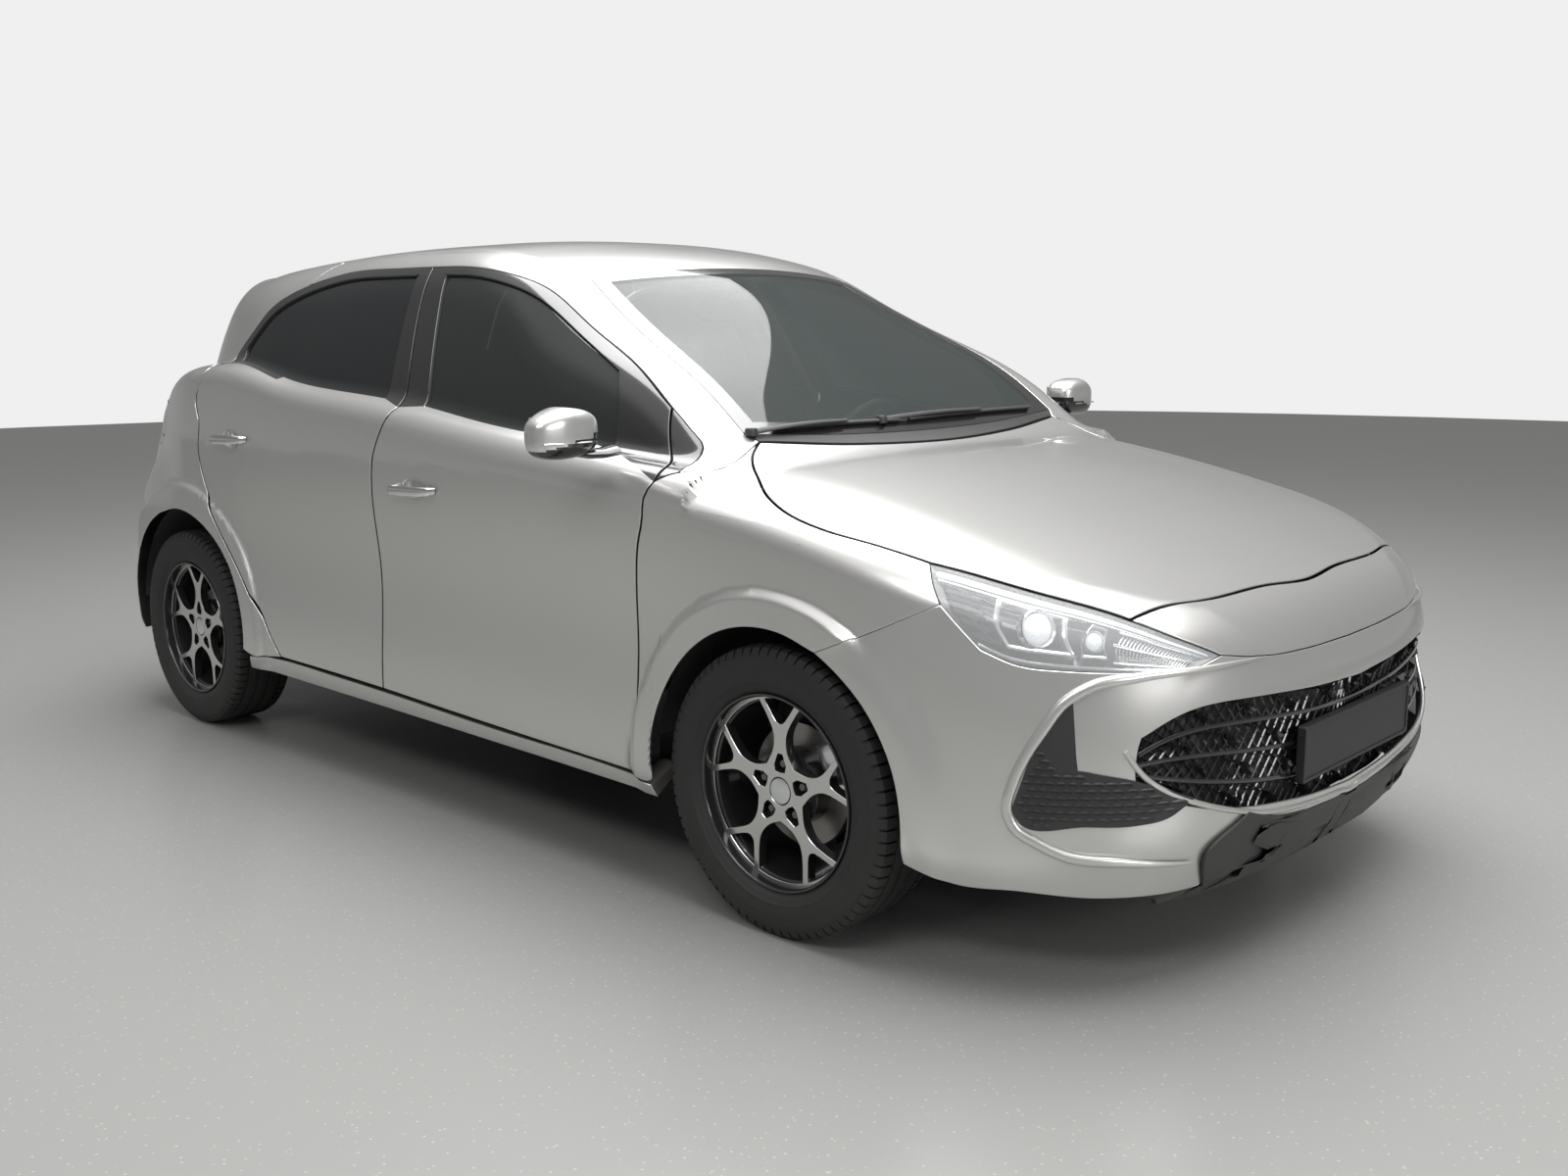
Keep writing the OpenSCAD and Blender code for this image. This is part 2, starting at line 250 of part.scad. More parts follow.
RBB = band2(curve(full(left(RB_B)),26), cat([flip(RB1),part(GBC,1,14),part(rev(RB1),1,6)]), cat([flip(TLB),part(curve([flip(TLB)[6],[-2.0,0,0.88],TLB[6]],14),1,14),part(rev(TLB),1,6)]),
   [flip(RBS),flip(QS1)],[RBS,QS1],flip(GSB),GSB,6,14);
module rear_bumper() { color("silver") panel(fit(concat(RBB[0],part(RBB[1],1,4))),[S,S,S,S],T,0,[6,20,5,9],0,G); }
GSIDE2 = [[-1.84,0.60,1.035]]; GSIDE3 = [[-1.57,0.52,1.325]];
GW_B = [[-1.79,0.48,1.085],[-1.85,0.25,1.078],[-1.866,0,1.075]]; GW_T = [[-1.60,0.44,1.325],[-1.635,0.22,1.335],[-1.645,0,1.338]]; GW_S = [[-1.79,0.48,1.085],[-1.69,0.465,1.205],[-1.60,0.44,1.325]];
GATE = band(GBC, join3(curve(flip([GSIDE2[0],GW_B[0]]),2),curve(full(GW_B),10),curve([GW_B[0],GSIDE2[0]],2)),
  join3(curve(flip([GSIDE3[0],GW_T[0]]),2),curve(full(GW_T),10),curve([GW_T[0],GSIDE3[0]],2)), curve(GRC,14),
  [flip(cat([GSB,part(TLG,1,3)])),flip(GS2),flip(GS3)],[cat([GSB,part(TLG,1,3)]),GS2,GS3],curve(flip(GW_S),5),curve(GW_S,5),2,10,7,5,2);
module tailgate() { h=[2,12,7,12]; A=inset(stack(GATE),[G*1.2,G*1.2,G*1.7,G*1.4],h); B0=inset(A,[0.016,0.016,0.016,0.016],h);
  color("silver") solid([for(r=B0) [for(p=r) p-nrm(p)*gate_depth/1000*(0.5+0.5*st(1.10,1.0,p[2]))]],A,h); }
module tailgate_glass() { color("dimgray") pane(GATE); }
module roof_spoiler() { color("silver") scale([MX/1000,MY/1000,MZ/1000]) polyhedron(points=[for(y=[-1,-0.5,0.5,1]) let(c=1-y*y) each [[-1512-26*c,486*y,1396.3+27*c],[-1650-30*c,455*y,1378+26*c],[-1648-30*c,455*y,1366+24*c],[-1590-30*c,470*y,1365.3+22*c]]],
   faces=concat([for(i=[0:2]) for(k=[0:3]) let(a=i*4+k,b=i*4+(k+1)%4) each [[a,b,b+4],[a,b+4,a+4]]],[[0,3,2],[0,2,1],[12,13,14],[12,14,15]])); }

// front end: rows from below the grille to the top edge; the grille is the opening
SPL = curve([[1.955,0.47,0.205],[2.012,0.385,0.300],[2.040,0.20,0.282],[2.045,0,0.278]],6);
W_B = [[1.911,0.671,0.440],[1.947,0.625,0.408],[1.99,0.542,0.372],[2.023,0.433,0.344],[2.041,0.285,0.318],[2.046,0.1,0.303],[2.047,0,0.301]];
W_T = [[1.917,0.661,0.494],[1.934,0.633,0.540],[1.954,0.598,0.564],[2.02,0.417,0.582],[2.049,0.204,0.566],[2.054,0,0.560]];
BSD = concat([[1.542,0.245],[XF+RF,0.31]],arch(XF,RF,20,62,2),[[1.338,0.634]]);
KB=14; MB=16;
BUMP_SIDE = curve(BSD,8);
BB = full(cat([curve([[1.542,0.245],[1.62,0.215],[1.75,0.78,0.205],[1.86,0.66,0.200],[1.955,0.47,0.205]],16),part(SPL,1,6)]));
BT = full(cat([WLO,part(HEND,1,2),part(HLO,1,8),NOSEC]));
SL = [part(BUMP_SIDE,0,3),part(BUMP_SIDE,3,6),part(BUMP_SIDE,6,8)];
FB = band(BB, join3(curve([flip(SL[1])[0],flip(W_B)[0]],KB),curve(full(W_B),MB),curve([W_B[0],SL[1][0]],KB)),
  join3(curve([flip(SL[2])[0],flip(W_T)[0]],KB),curve(full(W_T),MB),curve([W_T[0],SL[2][0]],KB)), BT,
  [flip(SL[0]),flip(SL[1]),flip(SL[2])],SL,curve(flip([W_B[0],W_T[0]]),3),curve([W_B[0],W_T[0]],3),KB,MB,3,3,2);
module front_bumper() { color("silver") panel(stack(FB),[S,S,S,S],T,0,[KB,KB+MB,3,6]); }
function ahead(p) = let(v=[1,1.78*p[1]*abs(p[1]),0]) v/norm(v);
module grille() { A=inset(FB[3],[0.0010,0.0010,0.0034,0.0010]); color("black") solid([for(r=A) [for(p=r) p-ahead(p)*0.018]],[for(r=A) [for(p=r) p-ahead(p)*0.0062]]); }
module nose_panel() { t=full([[1.866,0.606,0.728],[1.880,0.53,0.741],[1.905,0.40,0.744],[1.915,0.169,0.742],[1.929,0.0,0.735]]);
  color("silver") panel(fit(coons(full(NOSEC),curve(t,12),flip(rev(HIC)),rev(HIC))),[S,S,S*0.5,G*1.3],T); }
module headlamp(s) { color("lightgray") both(s) panel(fit(coons(HLO,cat([HTC,part(HIC,1,3)]),cat([rev(HEND),part(HUP,1,4)]),curve([[1.964,0.543,0.637],[1.981,0.472,0.656]],6))),[S,S*1.5,S,G],0.030,0.006); }
module front_splitter() { b=[[1.90,0.55,0.175],[1.965,0.42,0.172],[2.0,0.20,0.168],[2.01,0,0.168]];
  color("black") panel(fit(coons(curve(full(b),12),full(SPL),curve(flip([b[0],SPL[0]]),2),curve([b[0],SPL[0]],2))),[S,S,S,S*3],0.012); }
module plate_board() { color("black") translate([MX*2.0565-12.1,-260,MZ*0.373]) cube([12.1,520,115]); }

// ---- running gear, exact solids ----
AX = [XF*1000, XR*1000]; R0 = tyre_diameter/2; RB = rim_diameter/2; TW = tyre_width/2; TY = track/2;
module spin(x,y) { translate([x,y,R0]) rotate([90,0,0]) children(); }
module tyre(x,s) { color("black") translate([x,s*TY,R0]) rotate([90,0,0]) rotate_extrude() polygon([[RB+1,-TW*0.80],[RB+12,-TW*0.90],[RB+45,-TW],[R0-22,-TW*0.97],[R0-4,-TW*0.80],[R0,-TW*0.60],[R0,TW*0.60],[R0-4,TW*0.80],[R0-22,TW*0.97],[RB+45,TW],[RB+12,TW*0.90],[RB+1,TW*0.80]]); }
module wheel(x,s) { color("lightgray") translate([x,s*TY,R0]) rotate([s>0?-90:90,0,0]) union() {
    rotate_extrude() polygon([[RB-12,-TW*0.86],[RB+0.7,-TW*0.86],[RB+0.7,-TW*0.80],[RB-2,-TW*0.78],[RB-8,-TW*0.5],[RB-8,TW*0.5],[RB-2,TW*0.80],[RB+0.7,TW*0.80],[RB+5,TW*0.90],[RB-10,TW*0.90],[RB-16,TW*0.5],[RB-16,-TW*0.5]]);
    translate([0,0,18]) cylinder(h=42,r=52); translate([0,0,-24]) cylinder(h=44,r=36);
    for(a=[0:4]) rotate([0,0,a*72]) translate([0,0,34]) linear_extrude(26) polygon([[40,-24],[110,-13],[150,-16],[RB-12,-58],[RB-12,-40],[140,0],[RB-12,40],[RB-12,58],[150,16],[110,13],[40,24]]);
  } }
module knuckle(s) { color("gray") union() { translate([AX[0],s*(TY-75),165]) cylinder(h=270,r=27); translate([AX[0],s*(TY-75),R0]) rotate([s>0?-90:90,0,0]) cylinder(h=50.6,r=34); } }
module front_subframe() { color("dimgray") union() { translate([790,-440,150]) cube([AX[0]-460,880,15]); translate([790,-350,164]) cube([60,700,floor_z-164.3]);
  for(s=[-1,1]) { translate([AX[0]-30,s>0?400:-(TY-75),150]) cube([60,TY-75-400,14.7]); translate([AX[0],s*(TY-75),150]) cylinder(h=14.7,r=27);} } }
module rear_axle_beam() { color("dimgray") union() { translate([AX[1],-(TY-24.4),R0]) rotate([-90,0,0]) cylinder(h=2*(TY-24.4),r=30); for(s=[-1,1]) translate([AX[1],s*470-25,R0-28]) cube([-AX[1]-1158.3,50,40]); } }
module floor_pan() { color("dimgray") translate([0,0,floor_z]) linear_extrude(20) polygon([[-1160,-595],[-980,-595],[-980,-795.6],[812,-795.6],[812,-495],[870,-495],[870,495],[812,495],[812,795.6],[-980,795.6],[-980,595],[-1160,595]]); }
module firewall() { color("dimgray") union() { translate([840,-494,floor_z+20]) cube([18,988,640]); translate([840,-680,480]) cube([18,1360,410]); } }
module boot_floor() { color("dimgray") union() { translate([-1880,-560,470]) cube([740,1120,18]); translate([-1158,-560,floor_z+20]) cube([18,1120,240]); } }
module liner(x,r,y0,s) { translate([x,s>0?y0:-y0,R0]) rotate([90,0,0]) mirror([0,0,s>0?1:0]) union() { rotate_extrude(angle=172) translate([r,0]) square([4,835-y0]);
  intersection() { cylinder(h=4,r=r+2); translate([-500,45,-1]) cube([1000,500,6]); } } }
module arch_liners() { color("black") for(s=[1,-1]) { rotate([0,0,0]) liner(AX[0],374,498,s); liner(AX[1],RR*1000+9,601,s); } }
module rear_bench() { color("darkslategray") union() { translate([-1100,-585,floor_z+20]) cube([520,1170,200]); translate([-1100,-585,floor_z+202]) rotate([0,-14,0]) translate([0,0,-8]) cube([120,1170,560]); } }
module front_seat(s) { color("darkslategray") translate([-250,s*370-240,floor_z+20]) union() { cube([480,480,230]); translate([-40,20,190]) rotate([0,-18,0]) cube([120,440,600]); translate([-216,140,740]) rotate([0,-12,0]) cube([90,200,170]); } }
module dashboard() { color("black") translate([0,690,0]) rotate([90,0,0]) linear_extrude(1380) polygon([[839.7,560],[839.7,950],[760,975],[560,955],[500,900],[520,800],[620,640],[700,560]]); }
SWX=390; SWZ=880; SWT=114;
module steering_column() { color("black") translate([SWX,drive_side*370,SWZ]) rotate([0,SWT,0]) translate([0,0,26]) cylinder(h=89.2,r=30); }
module steering_wheel() { color("black") translate([SWX,drive_side*370,SWZ]) rotate([0,SWT,0]) union() { rotate_extrude() translate([steering_wheel_diameter/2-14,0]) circle(r=14,$fn=36); translate([0,0,-15]) cylinder(h=40.7,r=58); for(a=[0,90,180]) rotate([0,0,a]) translate([0,-17,-7]) cube([steering_wheel_diameter/2-14,34,14]); } }
module engine_block() { color("gray") translate([980,-330,165.3]) cube([520,640,480]); }
module b_pillar(s) { color("dimgray") both(s) polyhedron(points=[[-345,705,floor_z+20],[-205,705,floor_z+20],[-205,750,floor_z+20],[-345,750,floor_z+20],[-330,690,1030],[-215,690,1030],[-215,728,1030],[-330,728,1030],[-365,520,1395],[-275,520,1395],[-275,552,1395],[-365,552,1395]],
  faces=[[0,1,2],[0,2,3],[8,10,9],[8,11,10],for(i=[0,4]) for(k=[0:3]) let(a=i+k,b=i+(k+1)%4) each [[b,a,a+4],[b,a+4,b+4]]]); }
module handle(x0,z0,s,d=0.6) { color("silver") both(s) { p=p3([x0,z0]); n=nrm(p); translate([x0*MX,p[1]*MY,z0*MZ]) rotate([0,0,-atan2(n[0],n[1])]) union() { translate([-118,20,-13]) cube([236,13,26]); for(a=[-102,78]) translate([a,d,-8]) cube([24,30,16]); } } }
module mirror_unit(s) { color("silver") both(s) union() { p=p3([0.725,0.995]); translate([650,908,978]) cube([105,172,118]); translate([690,p[1]*MY+20,985]) cube([70,190,26]); } }
function strip(a,b,w) = let(c=curve([a,b],8)) [for(k=[0,1]) [for(q=c) q+[k*w,0,0]]];
module wipers() { color("black") for(w=[[[0.905,0.52,1.012],[0.925,-0.08,1.004]],[[0.925,-0.12,1.004],[0.905,-0.50,1.012]]]) { g=fit(strip(w[0]-[0.03,0,-0.015],w[1]-[0.03,0,-0.015],0.016)); panel(g,[0,0,0,0],0.012,0,[],-0.0126); } }

floor_pan();
firewall();
boot_floor();
arch_liners();
for(s=[1,-1]) b_pillar(s);  // b_pillars
for(s=[1,-1]) sill(s);  // sills
for(s=[1,-1]) side_rail(s);  // side_rails
for(s=[1,-1]) rear_pillar(s);  // rear_pillars
for(s=[1,-1]) quarter_panel(s);  // quarter_panels
roof_panel();
for(s=[1,-1]) front_wing(s);  // front_wings
for(s=[1,-1]) sail_trim(s);  // sail_trims
nose_panel();
front_bumper();
front_splitter();
grille();
plate_board();
for(s=[1,-1]) headlamp(s);  // headlamps
windscreen();
cowl_panel();
wipers();
rear_bumper();
for(s=[1,-1]) tail_lamp(s);  // tail_lamps
engine_block();
front_subframe();
rear_axle_beam();
dashboard();
steering_column();
for(s=[1,-1]) front_seat(s);  // front_seats
rear_bench();
door_front(1);  // door_front_left
door_front(-1);  // door_front_right
door_rear(1);  // door_rear_left
door_rear(-1);  // door_rear_right
glass_front(1);  // glass_front_left
glass_front(-1);  // glass_front_right
glass_rear(1);  // glass_rear_left
glass_rear(-1);  // glass_rear_right
handle(-0.06,0.85,1);  // handle_front_left
handle(-0.06,0.85,-1);  // handle_front_right
handle(-1.03,0.93,1,-0.9);  // handle_rear_left
handle(-1.03,0.93,-1,-0.9);  // handle_rear_right
mirror_unit(1);  // mirror_left
mirror_unit(-1);  // mirror_right
bonnet();
tailgate();
tailgate_glass();
roof_spoiler();
steering_wheel();
knuckle(1);  // knuckle_left
knuckle(-1);  // knuckle_right
wheel(AX[0],1);  // wheel_front_left
wheel(AX[0],-1);  // wheel_front_right
wheel(AX[1],1);  // wheel_rear_left
wheel(AX[1],-1);  // wheel_rear_right
tyre(AX[0],1);  // tyre_front_left
tyre(AX[0],-1);  // tyre_front_right
tyre(AX[1],1);  // tyre_rear_left
tyre(AX[1],-1);  // tyre_rear_right
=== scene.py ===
"""Silver five-door hatchback car: everything that shows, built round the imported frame."""
from __future__ import annotations

import logging
import math
from dataclasses import dataclass, field
from enum import Enum
from typing import Callable, Sequence

import bpy
import numpy as np
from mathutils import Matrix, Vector

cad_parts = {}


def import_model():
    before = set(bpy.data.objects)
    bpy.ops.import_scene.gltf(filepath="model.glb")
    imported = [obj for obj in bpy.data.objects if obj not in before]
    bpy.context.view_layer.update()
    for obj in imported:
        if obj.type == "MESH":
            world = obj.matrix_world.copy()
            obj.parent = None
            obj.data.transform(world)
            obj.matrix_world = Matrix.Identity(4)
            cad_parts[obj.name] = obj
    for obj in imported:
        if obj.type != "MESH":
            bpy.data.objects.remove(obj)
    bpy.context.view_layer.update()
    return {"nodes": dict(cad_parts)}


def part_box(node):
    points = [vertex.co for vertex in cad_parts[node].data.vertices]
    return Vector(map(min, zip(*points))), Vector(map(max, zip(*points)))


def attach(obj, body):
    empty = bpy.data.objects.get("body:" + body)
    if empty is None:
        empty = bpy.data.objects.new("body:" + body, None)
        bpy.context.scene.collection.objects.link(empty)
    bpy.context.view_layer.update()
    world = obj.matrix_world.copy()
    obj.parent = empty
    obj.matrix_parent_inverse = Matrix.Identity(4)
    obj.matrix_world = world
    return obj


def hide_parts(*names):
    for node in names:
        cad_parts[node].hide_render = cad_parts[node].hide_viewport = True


LOG = logging.getLogger("hatchback")
Array = np.ndarray
FINE = 4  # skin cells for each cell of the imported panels


class Side(Enum):
    """The two sides of the car."""

    LEFT = 1
    RIGHT = -1


@dataclass(frozen=True)
class CarSizes:
    """The sizes that all sub-assemblies share, in metres."""

    front_axle: float = 1.196
    rear_axle: float = -1.374
    axle_height: float = 0.3105
    track: float = 1.550
    tyre_radius: float = 0.3105
    tyre_width: float = 0.195
    rim_radius: float = 0.206
    arch_front: float = 0.352
    arch_rear: float = 0.385
    shut: float = 0.003
    seam: float = 0.0004
    skin: float = 0.005
    glass: float = 0.005


SIZES = CarSizes()


# ---------------------------------------------------------------- body form
class Knots:
    """A smooth curve through (x, value) knots, straight beyond both ends."""

    def __init__(self, rows: Sequence[Sequence[float]]) -> None:
        """Fits the slopes.

        Args:
            rows: the knots, with x rising.
        """
        t = np.asarray(rows, float)
        self.x, self.y = t[:, 0], t[:, 1]
        h = np.maximum(np.diff(self.x), 1e-12)
        d = np.diff(self.y) / h
        self.m = np.concatenate([d[:1], (d[:-1] * h[1:] + d[1:] * h[:-1]) / (h[1:] + h[:-1]), d[-1:]])

    def __call__(self, x: Array) -> Array:
        """The value at x.

        Args:
            x: one place or an array of them.

        Returns:
            The values, shaped as x.
        """
        x = np.asarray(x, float)
        i = np.clip(np.searchsorted(self.x, x, side="right") - 1, 0, len(self.x) - 2)
        a, b = self.x[i], self.x[i + 1]
        h = b - a
        s = (x - a) / np.maximum(h, 1e-12)
        c = np.clip(s, 0, 1)
        e = 1 - c
        v = self.y[i] * (1 + 2 * c) * e * e + self.y[i + 1] * c * c * (3 - 2 * c)
        v = v + self.m[i] * h * c * e * e - self.m[i + 1] * h * c * c * e
        return v + np.where(s < 0, self.m[0] * (x - self.x[0]), 0) + np.where(s > 1, self.m[-1] * (x - self.x[-1]), 0)


def soft_max(a: Array, b: Array, k: float) -> Array:
    """The larger of a and b, rounded over a width k.

    Args:
        a: first values.
        b: second values.
        k: width of the rounding.

    Returns:
        The blended values.
    """
    h = np.maximum(k - np.abs(a - b), 0) / k
    return np.maximum(a, b) + h * h * k / 4


def step(a: float, b: float, x: Array) -> Array:
    """A smooth step from 0 at a to 1 at b.

    Args:
        a: where it starts.
        b: where it ends, which may be below a.
        x: the places.

    Returns:
        The values.
    """
    t = np.clip((np.asarray(x, float) - a) / (b - a), 0, 1)
    return t * t * (3 - 2 * t)


class BodyForm:
    """The outside form of the body: field() is 0 on it, negative inside."""

    BELT = Knots([[-2.0, 1.00], [-1.75, 1.055], [-1.45, 1.115], [-1.12, 1.143], [-0.74, 1.095], [-0.16, 1.052], [0.15, 1.022], [0.60, 0.981], [0.86, 0.958], [1.2, 0.925]])
    HIP = Knots([[-2.0, 0.93], [-1.6, 0.93], [-1.1, 0.915], [-0.5, 0.918], [0.1, 0.920], [0.64, 0.901], [1.18, 0.868], [1.58, 0.820], [1.9, 0.76]])
    WIDTH = Knots([[-2.0, 0.852], [-1.5, 0.862], [-1.0, 0.869], [-0.4, 0.873], [0.2, 0.875], [0.8, 0.876], [1.3, 0.872], [1.8, 0.865]])
    FOOT = Knots([[-1.4, 0.878], [-0.9, 0.872], [0.0, 0.868], [0.8, 0.872], [1.3, 0.880]])
    NOSE = Knots([[0.17, 1.985], [0.25, 2.03], [0.33, 2.050], [0.45, 2.0565], [0.56, 2.052], [0.63, 2.036], [0.70, 1.996], [0.75, 1.94], [0.80, 1.86]])
    TAIL = Knots([[0.20, -1.975], [0.32, -2.02], [0.45, -2.0565], [0.56, -2.050], [0.62, -2.025], [0.75, -2.0], [0.9, -2.005], [0.97, -1.99], [1.05, -1.93]])
    DECK = Knots([[0.60, 1.005], [0.86, 0.985], [1.15, 0.945], [1.45, 0.885], [1.70, 0.820], [1.86, 0.765], [1.95, 0.725], [2.05, 0.62]])
    ROOF = Knots([[-2.02, 0.93], [-1.915, 1.02], [-1.77, 1.18], [-1.63, 1.355], [-1.56, 1.405], [-1.30, 1.448], [-0.9, 1.485], [-0.45, 1.502], [0.0, 1.483], [0.25, 1.425], [0.40, 1.36], [0.62, 1.225], [0.82, 1.085], [0.98, 0.965]])
    CABIN_WIDTH = Knots([[-1.85, 0.50], [-1.7, 0.575], [-1.55, 0.655], [-1.4, 0.73], [-1.2, 0.785], [-0.8, 0.818], [-0.3, 0.828], [0.3, 0.825], [0.7, 0.803], [1.0, 0.775]])
    CABIN_FOOT = Knots([[-1.60, 1.075], [-1.35, 1.040], [-0.9, 0.995], [-0.4, 0.965], [0.2, 0.940], [0.75, 0.915], [1.2, 0.90]])

    def plan(self, x: Array, z: Array) -> Array:
        """How far the sides draw in towards nose and tail, from 1 down to 0."""
        s = np.clip((x - 1.25) / np.maximum(self.NOSE(z) - 1.25, 0.05), 0, 1)
        r = np.clip((-1.45 - x) / np.maximum(-1.45 - self.TAIL(z), 0.05), 0, 1)
        front = np.maximum(0.03, np.maximum(0, 1 - s**2.6) ** (1 / 3.3))
        rear = np.maximum(0.03, np.maximum(0, 1 - r**3.4) ** (1 / 3.2))
        return np.where(x > 1.25, front, np.where(x < -1.45, rear, 1.0))

    def flare(self, x: Array, z: Array) -> Array:
        """How far the wheel arches stand out."""
        out = 0.0
        for c, r, w in ((SIZES.front_axle, SIZES.arch_front + 0.078, 0.5), (SIZES.rear_axle, SIZES.arch_rear + 0.090, 0.55)):
            d = np.hypot(x - c, z - SIZES.axle_height)
            out = out + np.where(np.abs(x - c) < w, 0.018 * (1 - step(r - 0.022, r + 0.006, d)) * step(0.18, 0.30, z), 0)
        return out

    def side(self, x: Array, z: Array) -> Array:
        """Half the width of the body side below the waist."""
        zc, yc = self.HIP(x), self.WIDTH(x)
        t = np.clip((zc - z) / (zc - 0.30), 0, 1)
        s = (z - zc) / (self.BELT(x) - zc)
        u = np.clip((0.30 - z) / 0.13, 0, 2)
        y = yc - np.where(s > 0, 0.010 * s + 0.022 * s * s, 0)
        y = y - np.where(t > 0, (yc - self.FOOT(x)) * t * t * (3 - 2 * t) + 0.016 * np.sin(math.pi * t) ** 2 * step(1.3, 0.7, x) * step(-1.3, -0.9, x), 0)
        return y - 0.055 * u * u - 0.085 * step(-1.30, -1.75, x) * step(0.68, 0.95, z)

    def half(self, x: Array, z: Array) -> Array:
        """Half the body's width with arches and ends."""
        return (self.side(x, z) + self.flare(x, z)) * self.plan(x, z)

    def cabin_side(self, x: Array, z: Array) -> Array:
        """Half the width of the cabin above the waist."""
        h = np.maximum(-0.02, z - self.CABIN_FOOT(x))
        return self.CABIN_WIDTH(x) - 0.30 * h - 0.28 * h * h

    def roof(self, x: Array, y: Array) -> Array:
        """Height of screen, roof and rear window."""
        a = np.abs(y) / 0.65
        w = 0.15 * step(-0.3, 0.35, x) * (1 - 0.8 * step(0.25, 0.80, x)) - 0.06 * step(-1.2, -1.6, x)
        return self.ROOF(x + w * a * a) - 0.050 * (1 - step(0.15, 0.80, x)) * a**2.4

    def field(self, p: Array) -> Array:
        """Signed distance-like value at points.

        Args:
            p: points, (..., 3).

        Returns:
            The values, (...).
        """
        x, y, z = p[..., 0], p[..., 1], p[..., 2]
        a = np.abs(y)
        side = a - self.half(x, z)
        nose = np.where((z < 0.9) & (x > 1.2), x - self.NOSE(z), -1)
        tail = np.where(x < -1.4, self.TAIL(z) - x, -1)
        front_deck = self.DECK(x) - 0.014 * (a / 0.6) ** 2 - 0.04 * (np.maximum(a - 0.58, 0) / 0.3) ** 2
        deck = np.maximum(np.where(x > 0.55, front_deck, 0), np.where(x < 0.95, self.BELT(x) + 0.01, 0))
        low = soft_max(np.maximum(np.maximum(side, nose), tail), np.where(z > 0.6, z - deck, -1), 0.06)
        high = soft_max(a - self.cabin_side(x, z), (z - self.roof(x, y)) * 0.85, 0.09)
        return np.where((z < 0.93) | (x > 1.25), low, -soft_max(-low, -high, 0.03))

    def slope(self, p: Array, v: Array) -> Array:
        """The field's gradient at points p, where its value is v."""
        e = 0.0002
        return np.stack([(self.field(p + np.eye(3)[k] * e) - v) / e for k in range(3)], -1)

    def onto(self, p: Array, rounds: int = 4) -> Array:
        """Moves points onto the form.

        Args:
            p: points near it, (..., 3).
            rounds: how many corrections.

        Returns:
            The moved points.
        """
        p = np.array(p, float)
        for _ in range(rounds):
            v = self.field(p)
            g = self.slope(p, v)
            s = g * (v / np.maximum(0.05, (g * g).sum(-1)))[..., None]
            length = np.linalg.norm(s, axis=-1)[..., None]
            s = s * np.where(length > 0.05, 0.05 / np.maximum(length, 1e-9), 1)
            p = p - np.where(np.abs(v)[..., None] < 3e-5, 0, s)
        return p

    def normal(self, p: Array) -> Array:
        """Unit vectors out of the form at points p."""
        g = self.slope(p, self.field(p))
        return g / np.maximum(np.linalg.norm(g, axis=-1), 1e-9)[..., None]

    def place(self, q: Sequence[float]) -> Array:
        """A point on the form from (x, z) on the left side, or as given when it has three numbers."""
        if len(q) == 3:
            return np.asarray(q, float)
        x, z = np.float64(q[0]), np.float64(q[1])
        y = self.cabin_side(x, z) if z > self.BELT(x) + 0.01 else self.half(x, z) - 0.002
        for _ in range(9):
            v = self.field(np.array([x, y, z]))
            g = (self.field(np.array([x, y + 0.0002, z])) - v) / 0.0002
            y = y - np.clip(v / max(0.2, g), -0.05, 0.05)
        return np.array([x, y, z])

    def curve(self, points: Sequence[Sequence[float]], cells: int) -> Array:
        """A curve on the form.

        Args:
            points: the points it passes, as place() takes them.
            cells: packed panel cells along it; it gets FINE times as many.

        Returns:
            The curve's points, (n, 3).
        """
        p = np.array([self.place(q) for q in points])
        s = np.concatenate([[0], np.cumsum(np.linalg.norm(np.diff(p, axis=0), axis=1))])
        u = np.linspace(0, 1, cells * FINE + 1)
        return self.onto(np.stack([Knots(np.stack([s / s[-1], p[:, k]], 1))(u) for k in range(3)], -1))


FORM = BodyForm()


def flip(c: Array) -> Array:
    """The same points on the other side of the car."""
    return c * np.array([1, -1, 1])


def join(*curves: Array) -> Array:
    """Curves end to end, each starting where the last one ended."""
    return np.concatenate([curves[0]] + [c[1:] for c in curves[1:]])


def across(c: Array) -> Array:
    """A left-side curve that ends on the centre line, continued to the right side: right end first."""
    return join(flip(c), c[::-1])


def part(c: Array, first: int, last: int) -> Array:
    """The part of a curve between two packed cells."""
    return c[first * FINE : last * FINE + 1]


def resample(c: Array, start: float, end: float, cells: int) -> Array:
    """Points evenly along a curve's own steps, from share start to share end."""
    q = np.linspace(start, end, cells * FINE + 1) * (len(c) - 1)
    k = np.minimum(len(c) - 2, np.floor(q + 1e-9).astype(int))
    w = (q - k)[:, None]
    return c[k] * (1 - w) + c[k + 1] * w


def coons(c0: Array, c1: Array, d0: Array, d1: Array) -> Array:
    """A grid between four edges.

    Args:
        c0: edge along u at v = 0.
        c1: edge along u at v = 1.
        d0: edge along v at u = 0.
        d1: edge along v at u = 1.

    Returns:
        The grid, (rows, columns, 3).
    """
    u = np.linspace(0, 1, len(c0))[None, :, None]
    v = np.linspace(0, 1, len(d0))[:, None, None]
    g = (1 - v) * c0[None] + v * c1[None] + (1 - u) * d0[:, None] + u * d1[:, None]
    return g - ((1 - u) * (1 - v) * c0[0] + u * (1 - v) * c0[-1] + (1 - u) * v * c1[0] + u * v * c1[-1])


